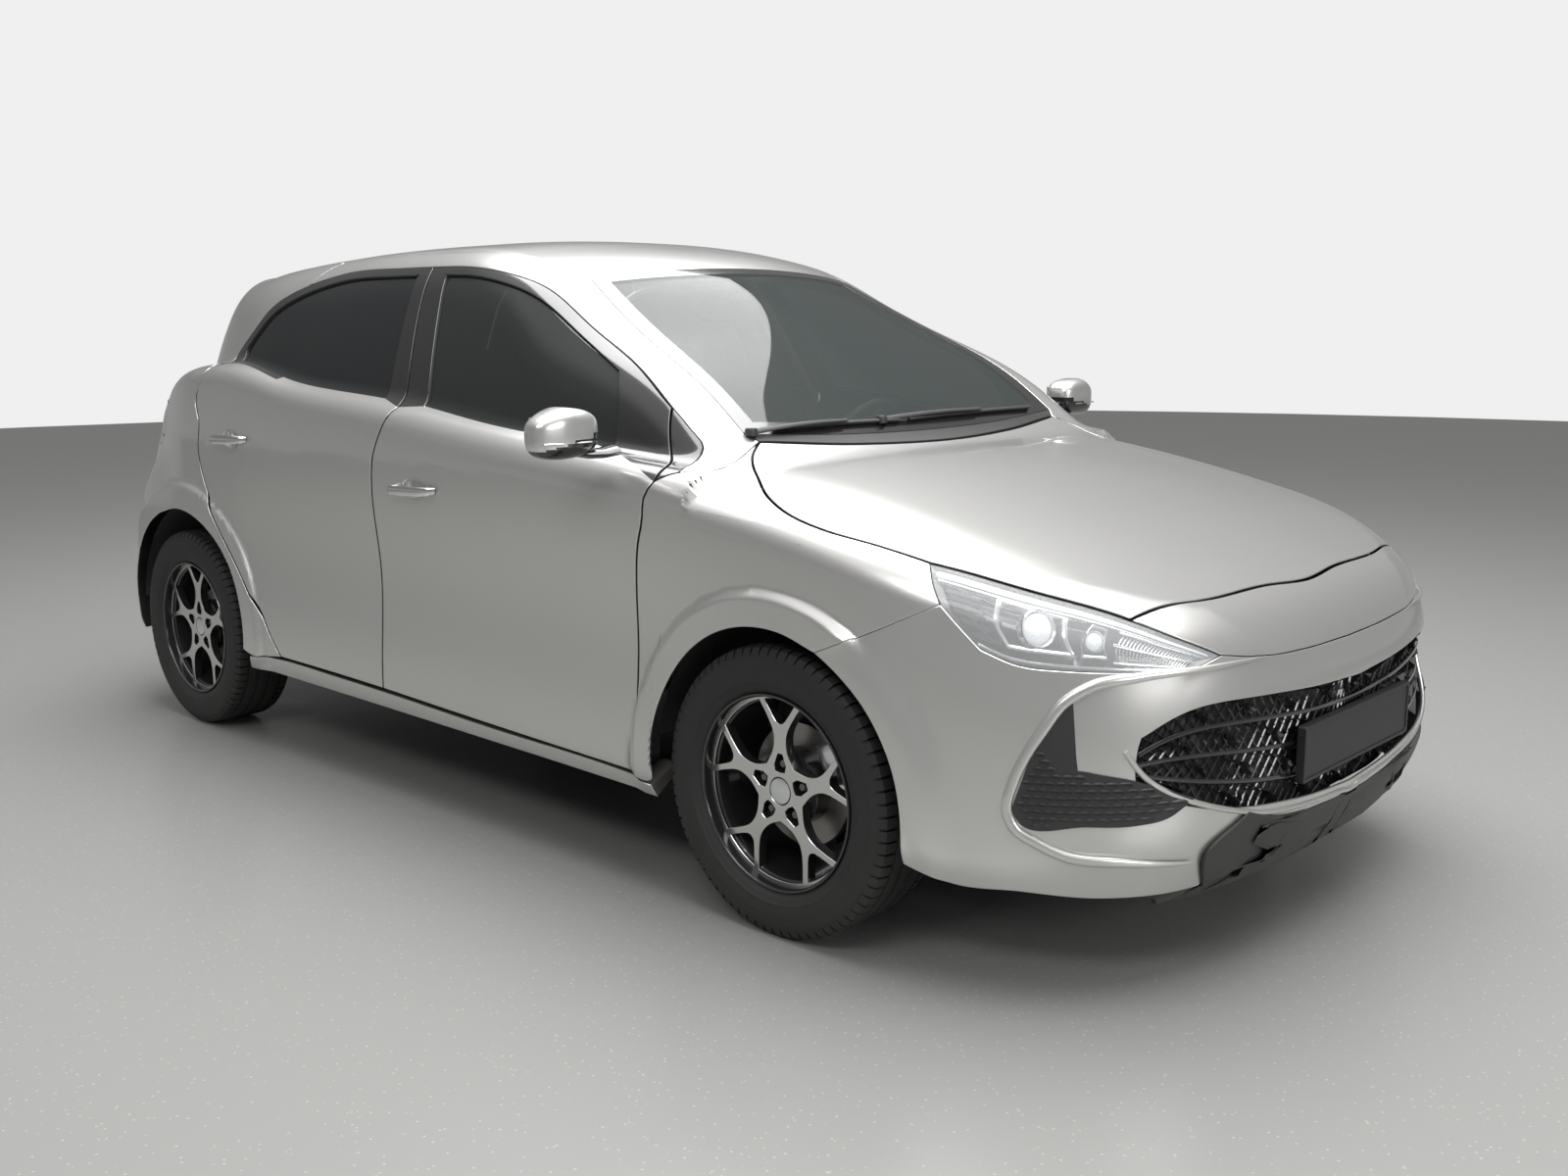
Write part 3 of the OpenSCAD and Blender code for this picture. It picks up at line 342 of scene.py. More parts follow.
def squeeze(p: Array, a: float, b: float) -> Array:
    """Moves the two ends of a row of points inwards by a and b along it."""
    s = np.concatenate([[0], np.cumsum(np.linalg.norm(np.diff(p, axis=0), axis=1))])
    if s[-1] < 1.3 * (a + b):
        return p
    x = a + s * (s[-1] - a - b) / s[-1]
    return np.stack([np.interp(x, s, p[:, k]) for k in range(3)], -1)


def inset(g: Array, e: Sequence[float], hole: Sequence[int] = (), grow: float = 0.0) -> Array:
    """Draws a grid's edges in.

    Args:
        g: the grid.
        e: how far at u = 0, u = 1, v = 0 and v = 1.
        hole: packed cells left open, (first column, last column, first row, last row).
        grow: how far the opening's own edges move outwards.

    Returns:
        The new grid.
    """
    h = [k * FINE for k in hole]

    def rows(g: Array, a: float, b: float, h: Sequence[int]) -> Array:
        """One direction of the work."""
        out = g.copy()
        for j in range(len(g)):
            if h and h[2] <= j <= h[3]:
                out[j, : h[0] + 1] = squeeze(g[j, : h[0] + 1], a, grow)
                out[j, h[1] :] = squeeze(g[j, h[1] :], grow, b)
            else:
                out[j] = squeeze(g[j], a, b)
        return out

    g = rows(g, e[0], e[1], h)
    g = rows(g.transpose(1, 0, 2), e[2], e[3], [h[2], h[3], h[0], h[1]] if h else [])
    return g.transpose(1, 0, 2)


def unit(v: Array) -> Array:
    """Vectors of length 1."""
    return v / np.maximum(np.linalg.norm(v, axis=-1, keepdims=True), 1e-12)


# ---------------------------------------------------------------- meshes
class Part:
    """Gathers faces with their own normals and finishes, and makes one piece of them."""

    def __init__(self, name: str) -> None:
        """An empty piece.

        Args:
            name: the piece's name.
        """
        self.name = name
        self.verts: list[Array] = []
        self.faces: list[Array] = []
        self.normals: list[Array] = []
        self.slots: list[Array] = []
        self.finishes: list[str] = []
        self.count = 0

    def slot_of(self, finish: str) -> int:
        """The material index of a finish."""
        if finish not in self.finishes:
            self.finishes.append(finish)
        return self.finishes.index(finish)

    def add(self, verts: Array, faces: Array, finish: str | Array, normals: Array | None = None, angle: float = 38.0) -> "Part":
        """Adds faces.

        Args:
            verts: points, (n, 3).
            faces: indices, (m, 3) or (m, 4), seen anticlockwise from outside.
            finish: a finish for them all, or material indices, one a face.
            normals: corner normals, (m, corners, 3); worked out when left out.
            angle: edges sharper than this stay sharp, in degrees.

        Returns:
            The piece itself.
        """
        verts, faces = np.asarray(verts, float), np.asarray(faces, int)
        if len(faces) == 0:
            return self
        if normals is None:
            normals = corner_normals(verts, faces, angle)
        self.verts.append(verts)
        self.faces.append(faces + self.count)
        self.normals.append(normals)
        self.slots.append(np.full(len(faces), self.slot_of(finish)) if isinstance(finish, str) else np.asarray(finish, int))
        self.count += len(verts)
        return self

    def mirror(self) -> "Part":
        """Adds the same faces on the other side of the car."""
        n = self.count
        for k in range(len(self.verts)):
            self.verts.append(flip(self.verts[k]))
            self.faces.append(self.faces[k][:, ::-1] + n)
            self.normals.append(flip(self.normals[k][:, ::-1]))
            self.slots.append(self.slots[k])
        self.count *= 2
        return self

    def flipped(self) -> "Part":
        """Moves the whole piece to the other side of the car."""
        self.verts = [flip(v) for v in self.verts]
        self.faces = [f[:, ::-1] for f in self.faces]
        self.normals = [flip(n[:, ::-1]) for n in self.normals]
        return self

    def make(self, body: str, slot: str, replaces: Sequence[str] = ()) -> bpy.types.Object:
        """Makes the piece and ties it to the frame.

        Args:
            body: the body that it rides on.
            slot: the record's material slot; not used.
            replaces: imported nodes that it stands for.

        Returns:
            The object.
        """
        verts = np.concatenate(self.verts)
        sizes = np.concatenate([np.full(len(f), f.shape[1]) for f in self.faces])
        loops = np.concatenate([f.ravel() for f in self.faces])
        mesh = bpy.data.meshes.new(self.name)
        mesh.vertices.add(len(verts))
        mesh.vertices.foreach_set("co", verts.astype(np.float32).ravel())
        mesh.loops.add(len(loops))
        mesh.loops.foreach_set("vertex_index", loops.astype(np.int32))
        mesh.polygons.add(len(sizes))
        mesh.polygons.foreach_set("loop_start", np.concatenate([[0], np.cumsum(sizes)[:-1]]).astype(np.int32))
        mesh.polygons.foreach_set("material_index", np.concatenate(self.slots).astype(np.int32))
        mesh.polygons.foreach_set("use_smooth", np.ones(len(sizes), bool))
        for f in self.finishes:
            mesh.materials.append(material(f))
        mesh.update(calc_edges=True)
        mesh.normals_split_custom_set(np.concatenate([n.reshape(-1, 3) for n in self.normals]).tolist())
        obj = bpy.data.objects.new(self.name, mesh)
        bpy.context.scene.collection.objects.link(obj)
        return tie(obj, body, slot, replaces)


def tie(obj: bpy.types.Object, body: str, slot: str, replaces: Sequence[str] = ()) -> bpy.types.Object:
    """Rides a finished piece on its body and hides the nodes it stands for."""
    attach(obj, body)
    if replaces:
        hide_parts(*replaces)
    LOG.info("%s: %d faces on %s", obj.name, len(obj.data.polygons), body)
    return obj


def corner_normals(verts: Array, faces: Array, angle: float) -> Array:
    """Normals for each face corner, smooth where faces meet below an angle.

    Args:
        verts: points.
        faces: indices, all with the same number of corners.
        angle: the limit, in degrees.

    Returns:
        Normals, (faces, corners, 3).
    """
    p = verts[faces]
    a, b = p[:, 2] - p[:, 0], p[:, -1] - p[:, 1]
    big = np.cross(a, b) if faces.shape[1] == 4 else np.cross(p[:, 1] - p[:, 0], p[:, 2] - p[:, 0])
    n = unit(big)
    key = np.unique(np.round(verts, 6), axis=0, return_inverse=True)[1].ravel()
    corner = key[faces].ravel()
    owner = np.repeat(np.arange(len(faces)), faces.shape[1])
    order = np.argsort(corner, kind="stable")
    total = big[owner].copy()
    c, o = corner[order], owner[order]
    limit = math.cos(math.radians(angle))
    for k in range(1, len(c)):
        same = c[k:] == c[:-k]
        if not same.any():
            break
        i = np.nonzero(same)[0]
        near = (n[o[i]] * n[o[i + k]]).sum(1) > limit
        i = i[near]
        np.add.at(total, order[i], big[o[i + k]])
        np.add.at(total, order[i + k], big[o[i]])
    return unit(total).reshape(len(faces), faces.shape[1], 3)


def relax(g: Array, rounds: int, top: float = 1.04) -> Array:
    """A grid smoothed below a height, with its border kept.

    Args:
        g: grid of points.
        rounds: smoothing steps.
        top: height that it stays below.

    Returns:
        The grid.
    """
    g = g.copy()
    weight = (0.5 * step(top, top - 0.04, g[1:-1, 1:-1, 2]))[..., None]
    for _ in range(rounds):
        mean = (g[:-2, 1:-1] + g[2:, 1:-1] + g[1:-1, :-2] + g[1:-1, 2:]) / 4
        g[1:-1, 1:-1] += weight * (mean - g[1:-1, 1:-1])
    return g


def own_normal(g: Array) -> Array:
    """Unit normals of a grid from its own shape, on the form's outer side."""
    n = unit(np.cross(np.gradient(g, axis=1), np.gradient(g, axis=0)))
    return n * np.sign((n * FORM.normal(g)).sum())


def shell(piece: Part, outer: Array, inner: Array, finish: str | Callable[[Array], Array], inside: str, hole: Sequence[int] = (), radius: float = 0.0022, names: Sequence[str] = (), open_back: bool = False, turns_to: Array | None = None) -> None:
    """A sheet with a rounded edge: outer grid, walls and inner grid.

    Args:
        piece: the piece that gets it.
        outer: outer grid.
        inner: inner grid of the same size.
        finish: one finish, or a function from cell centres to indices into names.
        inside: finish of the inner face.
        hole: packed cells left open.
        radius: radius of the edge.
        names: the finishes that the function chooses from.
        open_back: leaves the inner face out, for sheets whose back is never seen.
    """
    m, n = outer.shape[0] - 1, outer.shape[1] - 1
    grid = np.arange((m + 1) * (n + 1)).reshape(m + 1, n + 1)
    on = np.ones((m, n), bool)
    if len(hole):
        h = [k * FINE for k in hole]
        on[h[2] : h[3], h[0] : h[1]] = False
    points, normal = outer.reshape(-1, 3), (FORM.normal(outer) if turns_to is None else turns_to).reshape(-1, 3)
    cells = np.stack([grid[:-1, :-1], grid[:-1, 1:], grid[1:, 1:], grid[1:, :-1]], -1)
    q = points[cells[on]]
    turned = (np.cross(q[:, 2] - q[:, 0], q[:, 3] - q[:, 1]) * normal[cells[on][:, 0]]).sum() < 0
    if isinstance(finish, str):
        kind = np.full((m, n), piece.slot_of(finish))
    else:
        slots = np.array([piece.slot_of(f) for f in names])
        kind = slots[finish(points[cells].mean(2))]
    pad = np.zeros((m + 2, n + 2), bool)
    pad[1:-1, 1:-1] = on
    edges, owner = [], []
    for k, (dj, di) in enumerate(((-1, 0), (0, 1), (1, 0), (0, -1))):
        rim = on & ~pad[1 + dj : m + 1 + dj, 1 + di : n + 1 + di]
        edges.append(np.stack([cells[..., k][rim], cells[..., (k + 1) % 4][rim]], -1))
        owner.append(kind[rim])
    edge, owner = np.concatenate(edges), np.concatenate(owner)
    face = cells[on]
    if turned:
        edge, face = edge[:, ::-1], face[:, ::-1]
    out = unit(np.cross(points[edge[:, 1]] - points[edge[:, 0]], normal[edge[:, 0]] + normal[edge[:, 1]]))
    away = np.zeros_like(points)
    np.add.at(away, edge[:, 0], out)
    np.add.at(away, edge[:, 1], out)
    size = np.linalg.norm(away, axis=1, keepdims=True)
    away = away / np.maximum(size, 1e-9)
    reach = np.where(size > 1e-6, np.minimum(2 / np.maximum(size, 1e-6), 1.6), 0)
    base = points - away * radius * reach
    levels = [base] + [base + away * radius * reach * math.sin(a) - normal * radius * (1 - math.cos(a)) for a in (math.pi / 6, math.pi / 3, math.pi / 2)] + [inner.reshape(-1, 3)]
    turns = [normal] + [unit(normal * math.cos(a) + away * math.sin(a)) for a in (math.pi / 6, math.pi / 3, math.pi / 2)] + [away]
    piece.add(base, face, kind[on], normal[face])
    for k in range(4):
        v = np.concatenate([levels[k], levels[k + 1]])
        w = np.concatenate([turns[k], turns[k + 1]])
        f = np.stack([edge[:, 1], edge[:, 0], edge[:, 0] + len(points), edge[:, 1] + len(points)], -1)
        piece.add(v, f, owner if k < 3 else np.full(len(f), piece.slot_of(inside)), w[f])
    if not open_back:
        piece.add(inner.reshape(-1, 3), face[:, ::-1], inside, -normal[face[:, ::-1]])


def sheet(piece: Part, grid: Array, e: Sequence[float], thick: float, finish: str, inside: str = "underside", taper: float = 0.0, hole: Sequence[int] = (), grow: float = 0.0, radius: float = 0.0022, sunk: float = 0.0) -> None:
    """A panel of the body skin, drawn in at its edges.

    Args:
        piece: the piece that gets it.
        grid: fitted grid between the shut lines.
        e: edge insets.
        thick: thickness inwards.
        finish: finish of the outside.
        inside: finish of the inside.
        taper: extra inset of the inner face.
        hole: packed cells left open.
        grow: growth of the opening.
        radius: radius of the edge.
        sunk: how far the outer face lies below the skin.
    """
    a = inset(grid, e, hole, grow)
    b = inset(a, [taper if x > SIZES.seam * 1.5 else 0 for x in e], hole) if taper else a
    shell(piece, a - FORM.normal(a) * sunk, b - FORM.normal(b) * (thick + sunk), finish, inside, hole, radius)


# ---------------------------------------------------------------- shut lines
class ShutLines:
    """The lines that split the skin into panels, left side; neighbours share them."""

    DOOR_COLS, DOOR_WINDOW = 2, 9
    FRONT_ROWS, REAR_ROWS, WINDOW_ROWS = 8, 10, 5
    BUMPER_SIDE, BUMPER_MOUTH = 14, 16

    def __init__(self) -> None:
        """Lays all lines on the body form."""
        c = FORM.curve
        k, m, nf, nr, nm = self.DOOR_COLS, self.DOOR_WINDOW, self.FRONT_ROWS, self.REAR_ROWS, self.WINDOW_ROWS
        f_low = [[0.785, 0.268], [0.784, 0.36], [0.784, 0.54], [0.787, 0.694], [0.802, 0.79], [0.822, 0.85], [0.828, 0.897], [0.845, 0.935]]
        f_mid = [[0.845, 0.935], [0.835, 0.968], [0.80, 0.995], [0.778, 1.035], [0.760, 1.068]]
        f_top = [[0.760, 1.068], [0.752, 1.082]]
        m_low = [[-0.258, 0.293], [-0.258, 0.6], [-0.258, 0.85], [-0.245, 0.92], [-0.215, 1.00], [-0.19, 1.055]]
        m_mid = [[-0.19, 1.055], [-0.22, 1.15], [-0.26, 1.28], [-0.291, 1.398]]
        m_top = [[-0.291, 1.398], [-0.298, 1.421]]
        r_low = [[-0.80, 0.300], [-0.86, 0.359], [-0.905, 0.414], [-1.00, 0.523], [-1.118, 0.656], [-1.195, 0.755], [-1.245, 0.884], [-1.235, 0.98], [-1.262, 1.035], [-1.248, 1.10], [-1.228, 1.14]]
        r_mid = [[-1.228, 1.14], [-1.216, 1.168]]
        r_top = [[-1.216, 1.168], [-1.212, 1.180]]
        arch_line = [[0.752, 1.082], [0.556, 1.188], [0.409, 1.249], [0.181, 1.358], [0.037, 1.395], [-0.134, 1.417], [-0.298, 1.421]]
        rear_line = [[-0.298, 1.421], [-0.459, 1.421], [-0.736, 1.413], [-0.933, 1.374], [-1.078, 1.312], [-1.145, 1.247], [-1.212, 1.180]]
        fw_bottom = [[-0.095, 1.060], [0.2, 1.026], [0.64, 0.990]]
        fw_top = [[-0.215, 1.398], [-0.10, 1.393], [0.037, 1.373], [0.18, 1.334], [0.405, 1.228], [0.558, 1.160]]
        rw_bottom = [[-1.135, 1.160], [-0.76, 1.108], [-0.28, 1.074]]
        rw_top = [[-1.125, 1.225], [-1.055, 1.292], [-0.92, 1.351], [-0.73, 1.390], [-0.46, 1.399], [-0.348, 1.399]]
        self.front_low, self.front_mid, self.front_top = c(f_low, nf), c(f_mid, nm), c(f_top, 1)
        self.over_front, self.over_rear = c(arch_line[::-1], k * 2 + m), c(rear_line[::-1], k * 2 + m)
        self.rear_low, self.rear_mid, self.rear_top = c(r_low, nr), c(r_mid, nm), c(r_top, 1)
        self.front_door = self.banded(
            c([[-0.258, 0.293], [0.2, 0.281], [0.785, 0.268]], k * 2 + m),
            join(c([m_low[5], fw_bottom[0]], k), c(fw_bottom, m), c([fw_bottom[2], f_mid[0]], k)),
            join(c([m_top[0], fw_top[0]], k), c(fw_top, m), c([fw_top[5], f_top[0]], k)),
            self.over_front, [c(m_low, nf), c(m_mid, nm), c(m_top, 1)], [self.front_low, self.front_mid, self.front_top],
            c([[-0.095, 1.060], [-0.15, 1.22], [-0.215, 1.398]], nm), c([[0.64, 0.990], [0.610, 1.085], [0.558, 1.160]], nm), k, m)
        self.rear_door = self.banded(
            c([[-0.80, 0.300], [-0.5, 0.297], [-0.258, 0.293]], k * 2 + m),
            join(c([r_low[10], rw_bottom[0]], k), c(rw_bottom, m), c([rw_bottom[2], m_low[5]], k)),
            join(c([r_top[0], rw_top[0]], k), c(rw_top, m), c([rw_top[5], m_top[0]], k)),
            self.over_rear, [self.rear_low, self.rear_mid, self.rear_top], [c(m_low, nr), c(m_mid, nm), c(m_top, 1)],
            c([[-1.135, 1.160], [-1.15, 1.19], [-1.125, 1.225]], nm), c([[-0.28, 1.074], [-0.31, 1.22], [-0.348, 1.399]], nm), k, m)
        bonnet_side = [[0.902, 0.590, 1.004], [0.93, 0.64, 0.983], [1.017, 0.712, 0.939], [1.105, 0.775, 0.911], [1.20, 0.812, 0.885], [1.30, 0.820, 0.866], [1.42, 0.802, 0.845], [1.536, 0.783, 0.820]]
        lamp_top = [[1.536, 0.783, 0.820], [1.714, 0.711, 0.779], [1.866, 0.606, 0.728]]
        self.wing_low = c([[1.338, 0.634], [1.47, 0.692], [1.592, 0.752]], 5)
        self.lamp_back = c([[1.592, 0.752], [1.575, 0.775], [1.536, 0.783, 0.820]], 4)
        self.lamp_end = c([[1.592, 0.752], [1.625, 0.815, 0.72], [1.675, 0.808, 0.676]], 2)
        self.lamp_low = c([[1.675, 0.808, 0.676], [1.734, 0.783, 0.653], [1.817, 0.730, 0.644], [1.877, 0.674, 0.641], [1.964, 0.543, 0.637]], 8)
        self.lamp_nose = c([[1.964, 0.543, 0.637], [1.981, 0.472, 0.655]], 1)
        self.nose_low = c([[1.981, 0.472, 0.655], [2.005, 0.38, 0.640], [2.025, 0.20, 0.632], [2.031, 0, 0.630]], 6)
        self.lamp_top = c(lamp_top, 5)
        self.lamp_inner = c([[1.866, 0.606, 0.728], [1.929, 0.548, 0.695], [1.981, 0.472, 0.657]], 3)
        self.bonnet_side = c(bonnet_side, 14)
        self.wing_back = c([[0.845, 0.935], [0.885, 0.952], [0.940, 0.790, 0.957], [0.945, 0.72, 0.975], [0.902, 0.590, 1.004]], 6)
        self.rail_foot = c([self.wing_back[FINE], [0.862, 1.006], [0.822, 1.035], [0.752, 1.082]], 3)
        self.roof_side = c([[0.215, 0.500, 1.395], [-0.10, 0.545, 1.437], [-0.45, 0.56, 1.455], [-0.85, 0.56, 1.445], [-1.20, 0.545, 1.425], [-1.47, 0.50, 1.395]], 16)
        self.screen_side = c([[0.878, 0.612, 1.020], [0.73, 0.602, 1.11], [0.589, 0.586, 1.198], [0.40, 0.55, 1.30], [0.215, 0.500, 1.395]], 9)
        self.screen_top = c([[0.215, -0.500, 1.395], [0.265, -0.25, 1.405], [0.28, 0, 1.413], [0.265, 0.25, 1.405], [0.215, 0.500, 1.395]], 12)
        self.screen_low = c([[0.878, -0.612, 1.020], [0.918, -0.30, 1.006], [0.930, 0.0, 1.001], [0.918, 0.30, 1.006], [0.878, 0.612, 1.020]], 12)
        self.roof_back = [[-1.47, -0.50, 1.395], [-1.500, -0.25, 1.420], [-1.505, 0, 1.425], [-1.500, 0.25, 1.420], [-1.47, 0.50, 1.395]]
        self.rail_end = c([self.over_rear[5 * FINE], self.roof_side[10 * FINE]], 2)
        self.tail_low = c([[-1.67, 0.88], [-1.845, 0.70, 0.875], [-1.920, 0.605, 0.88]], 6)
        self.tail_top = c([[-1.62, 0.775, 1.055], [-1.72, 0.71, 1.055], [-1.84, 0.60, 1.035]], 6)
        self.tail_front = c([[-1.67, 0.88], [-1.62, 0.95], [-1.62, 0.775, 1.055]], 5)
        self.tail_gate = c([[-1.920, 0.605, 0.88], [-1.899, 0.60, 0.97], [-1.84, 0.60, 1.035]], 3)
        self.gate_low_side = c([[-1.964, 0.590, 0.640], [-1.949, 0.593, 0.70], [-1.932, 0.600, 0.80], [-1.920, 0.605, 0.88]], 4)
        self.gate_mid_side = c([[-1.84, 0.60, 1.035], [-1.75, 0.565, 1.09], [-1.655, 0.54, 1.21], [-1.57, 0.52, 1.325]], 5)
        self.gate_top_side = c([[-1.57, 0.52, 1.325], [-1.47, 0.50, 1.395]], 2)
        self.shoulder = c([[-1.228, 1.14], [-1.42, 0.79, 1.10], [-1.62, 0.775, 1.055]], 12)
        foot = self.ring(SIZES.rear_axle, SIZES.arch_rear, 145, 145, 1)[0]
        self.quarter_low = c([foot, [-1.70, 0.62]], 1)
        self.quarter_back = c([[-1.70, 0.62], [-1.70, 0.74], [-1.67, 0.88]], 4)
        self.splitter_top = c([[1.955, 0.47, 0.205], [2.012, 0.385, 0.300], [2.040, 0.20, 0.282], [2.045, 0, 0.278]], 6)
        self.gate_low = c([[-1.964, -0.590, 0.640], [-2.005, -0.45, 0.632], [-2.018, -0.30, 0.626], [-2.023, 0.0, 0.620], [-2.018, 0.30, 0.626], [-2.005, 0.45, 0.632], [-1.964, 0.590, 0.640]], 14)

    @staticmethod
    def ring(x: float, r: float, start: float, end: float, count: int) -> list[list[float]]:
        """Side-view points (x, z) along a wheel arch."""
        angles = [math.radians(start + (end - start) * i / count) for i in range(count + 1)]
        return [[x + r * math.cos(a), SIZES.axle_height + r * math.sin(a)] for a in angles]

    @staticmethod
    def banded(low: Array, row1: Array, row2: Array, row3: Array, left: Sequence[Array], right: Sequence[Array], wl: Array, wr: Array, k: int, m: int) -> tuple[Array, Array]:
        """A grid of three bands whose middle band has an opening.

        Args:
            low: bottom edge.
            row1: the line under the opening.
            row2: the line over it.
            row3: top edge.
            left: the three parts of the edge at u = 0.
            right: the three parts of the edge at u = 1.
            wl: the opening's edge nearer u = 0.
            wr: the opening's edge nearer u = 1.
            k: packed cells beside the opening.
            m: packed cells across the opening.

        Returns:
            The whole fitted grid and the opening's own grid.
        """
        mouth = coons(part(row1, k, k + m), part(row2, k, k + m), wl, wr)
        a = coons(part(row1, 0, k), part(row2, 0, k), left[1], wl)
        b = coons(part(row1, k + m, 2 * k + m), part(row2, k + m, 2 * k + m), wr, right[1])
        middle = np.concatenate([a, mouth[:, 1:], b[:, 1:]], 1)
        low_band, top_band = coons(low, row1, left[0], right[0]), coons(row2, row3, left[2], right[2])
        return FORM.onto(np.concatenate([low_band, middle[1:], top_band[1:]])), FORM.onto(mouth)


LINES = ShutLines()


# ---------------------------------------------------------------- finishes
def node_group(name: str, inputs: dict[str, tuple[str, object]], outputs: dict[str, str]) -> bpy.types.NodeTree:
    """An empty shader group with named sockets.

    Args:
        name: the group's name.
        inputs: socket name to (socket type, starting value).
        outputs: socket name to socket type.

    Returns:
        The group, with its input and output nodes.
    """
    group = bpy.data.node_groups.new(name, "ShaderNodeTree")
    for key, (kind, value) in inputs.items():
        group.interface.new_socket(name=key, in_out="INPUT", socket_type=kind).default_value = value
    for key, kind in outputs.items():
        group.interface.new_socket(name=key, in_out="OUTPUT", socket_type=kind)
    group.nodes.new("NodeGroupInput")
    group.nodes.new("NodeGroupOutput")
    return group


def noise(group: bpy.types.NodeTree, scale: object, detail: float) -> bpy.types.NodeSocket:
    """A noise on object coordinates inside a group.

    Args:
        group: the node tree.
        scale: a number or the socket that sets it.
        detail: levels of detail.

    Returns:
        The noise's value socket.
    """
    place = group.nodes.new("ShaderNodeTexCoord")
    cloud = group.nodes.new("ShaderNodeTexNoise")
    cloud.inputs["Detail"].default_value = detail
    group.links.new(place.outputs["Object"], cloud.inputs["Vector"])
    if isinstance(scale, bpy.types.NodeSocket):
        group.links.new(scale, cloud.inputs["Scale"])
    else:
        cloud.inputs["Scale"].default_value = scale
    return cloud.outputs["Fac"]


def surface_group() -> bpy.types.NodeTree:
    """Small changes of colour and gloss over a surface: broad cloud, fine grain and road dust low down."""
    found = bpy.data.node_groups.get("surface_life")
    if found:
        return found
    colour, value = "NodeSocketColor", "NodeSocketFloat"
    g = node_group("surface_life", {"Base": (colour, (0.5, 0.5, 0.5, 1)), "Shade": (colour, (0.4, 0.4, 0.4, 1)), "Broad Scale": (value, 3.0), "Grain Scale": (value, 400.0), "Amount": (value, 0.3), "Rough": (value, 0.4), "Rough Spread": (value, 0.05), "Dust": (value, 0.0)}, {"Color": colour, "Roughness": value, "Height": value})
    gi, go = g.nodes["Group Input"], g.nodes["Group Output"]
    broad, grain = noise(g, gi.outputs["Broad Scale"], 3.0), noise(g, gi.outputs["Grain Scale"], 2.0)

    def maths(kind: str, a: object, b: object) -> bpy.types.NodeSocket:
        """One maths node."""
        node = g.nodes.new("ShaderNodeMath")
        node.operation = kind
        for k, v in enumerate((a, b)):
            if isinstance(v, bpy.types.NodeSocket):
                g.links.new(v, node.inputs[k])
            else:
                node.inputs[k].default_value = v
        return node.outputs[0]

    both = maths("MULTIPLY", maths("ADD", broad, grain), 0.5)
    mix = g.nodes.new("ShaderNodeMix")
    mix.data_type = "RGBA"
    g.links.new(maths("MULTIPLY", both, gi.outputs["Amount"]), mix.inputs["Factor"])
    g.links.new(gi.outputs["Base"], mix.inputs["A"])
    g.links.new(gi.outputs["Shade"], mix.inputs["B"])
    place = g.nodes.new("ShaderNodeTexCoord")
    split = g.nodes.new("ShaderNodeSeparateXYZ")
    g.links.new(place.outputs["Object"], split.inputs[0])
    low = g.nodes.new("ShaderNodeMapRange")
    low.inputs["From Min"].default_value, low.inputs["From Max"].default_value = 0.45, 0.12
    g.links.new(split.outputs["Z"], low.inputs["Value"])
    dust = maths("MULTIPLY", maths("MULTIPLY", low.outputs["Result"], broad), gi.outputs["Dust"])
    dirty = g.nodes.new("ShaderNodeMix")
    dirty.data_type = "RGBA"
    dirty.inputs["B"].default_value = (0.30, 0.28, 0.25, 1)
    g.links.new(dust, dirty.inputs["Factor"])
    g.links.new(mix.outputs["Result"], dirty.inputs["A"])
    g.links.new(dirty.outputs["Result"], go.inputs["Color"])
    spread = maths("MULTIPLY", maths("SUBTRACT", both, 0.5), gi.outputs["Rough Spread"])
    g.links.new(maths("ADD", maths("ADD", gi.outputs["Rough"], spread), maths("MULTIPLY", dust, 0.4)), go.inputs["Roughness"])
    g.links.new(grain, go.inputs["Height"])
    return g


def weave_group() -> bpy.types.NodeTree:
    """Over-and-under threads for seat cloth and floor fabric."""
    found = bpy.data.node_groups.get("cloth_weave")
    if found:
        return found
    value = "NodeSocketFloat"
    g = node_group("cloth_weave", {"Threads": (value, 900.0)}, {"Mask": value, "Height": value})
    gi, go = g.nodes["Group Input"], g.nodes["Group Output"]
    place = g.nodes.new("ShaderNodeTexCoord")
    waves = []
    for direction in ("X", "Y", "Z"):
        wave = g.nodes.new("ShaderNodeTexWave")
        wave.bands_direction = direction
        wave.inputs["Distortion"].default_value = 0.6
        g.links.new(place.outputs["Object"], wave.inputs["Vector"])
        g.links.new(gi.outputs["Threads"], wave.inputs["Scale"])
        waves.append(wave.outputs["Fac"])
    top = g.nodes.new("ShaderNodeMath")
    top.operation = "MAXIMUM"
    g.links.new(waves[0], top.inputs[0])
    g.links.new(waves[1], top.inputs[1])
    all_three = g.nodes.new("ShaderNodeMath")
    all_three.operation = "MULTIPLY"
    g.links.new(top.outputs[0], all_three.inputs[0])
    g.links.new(waves[2], all_three.inputs[1])
    for key in ("Mask", "Height"):
        g.links.new(all_three.outputs[0], go.inputs[key])
    return g


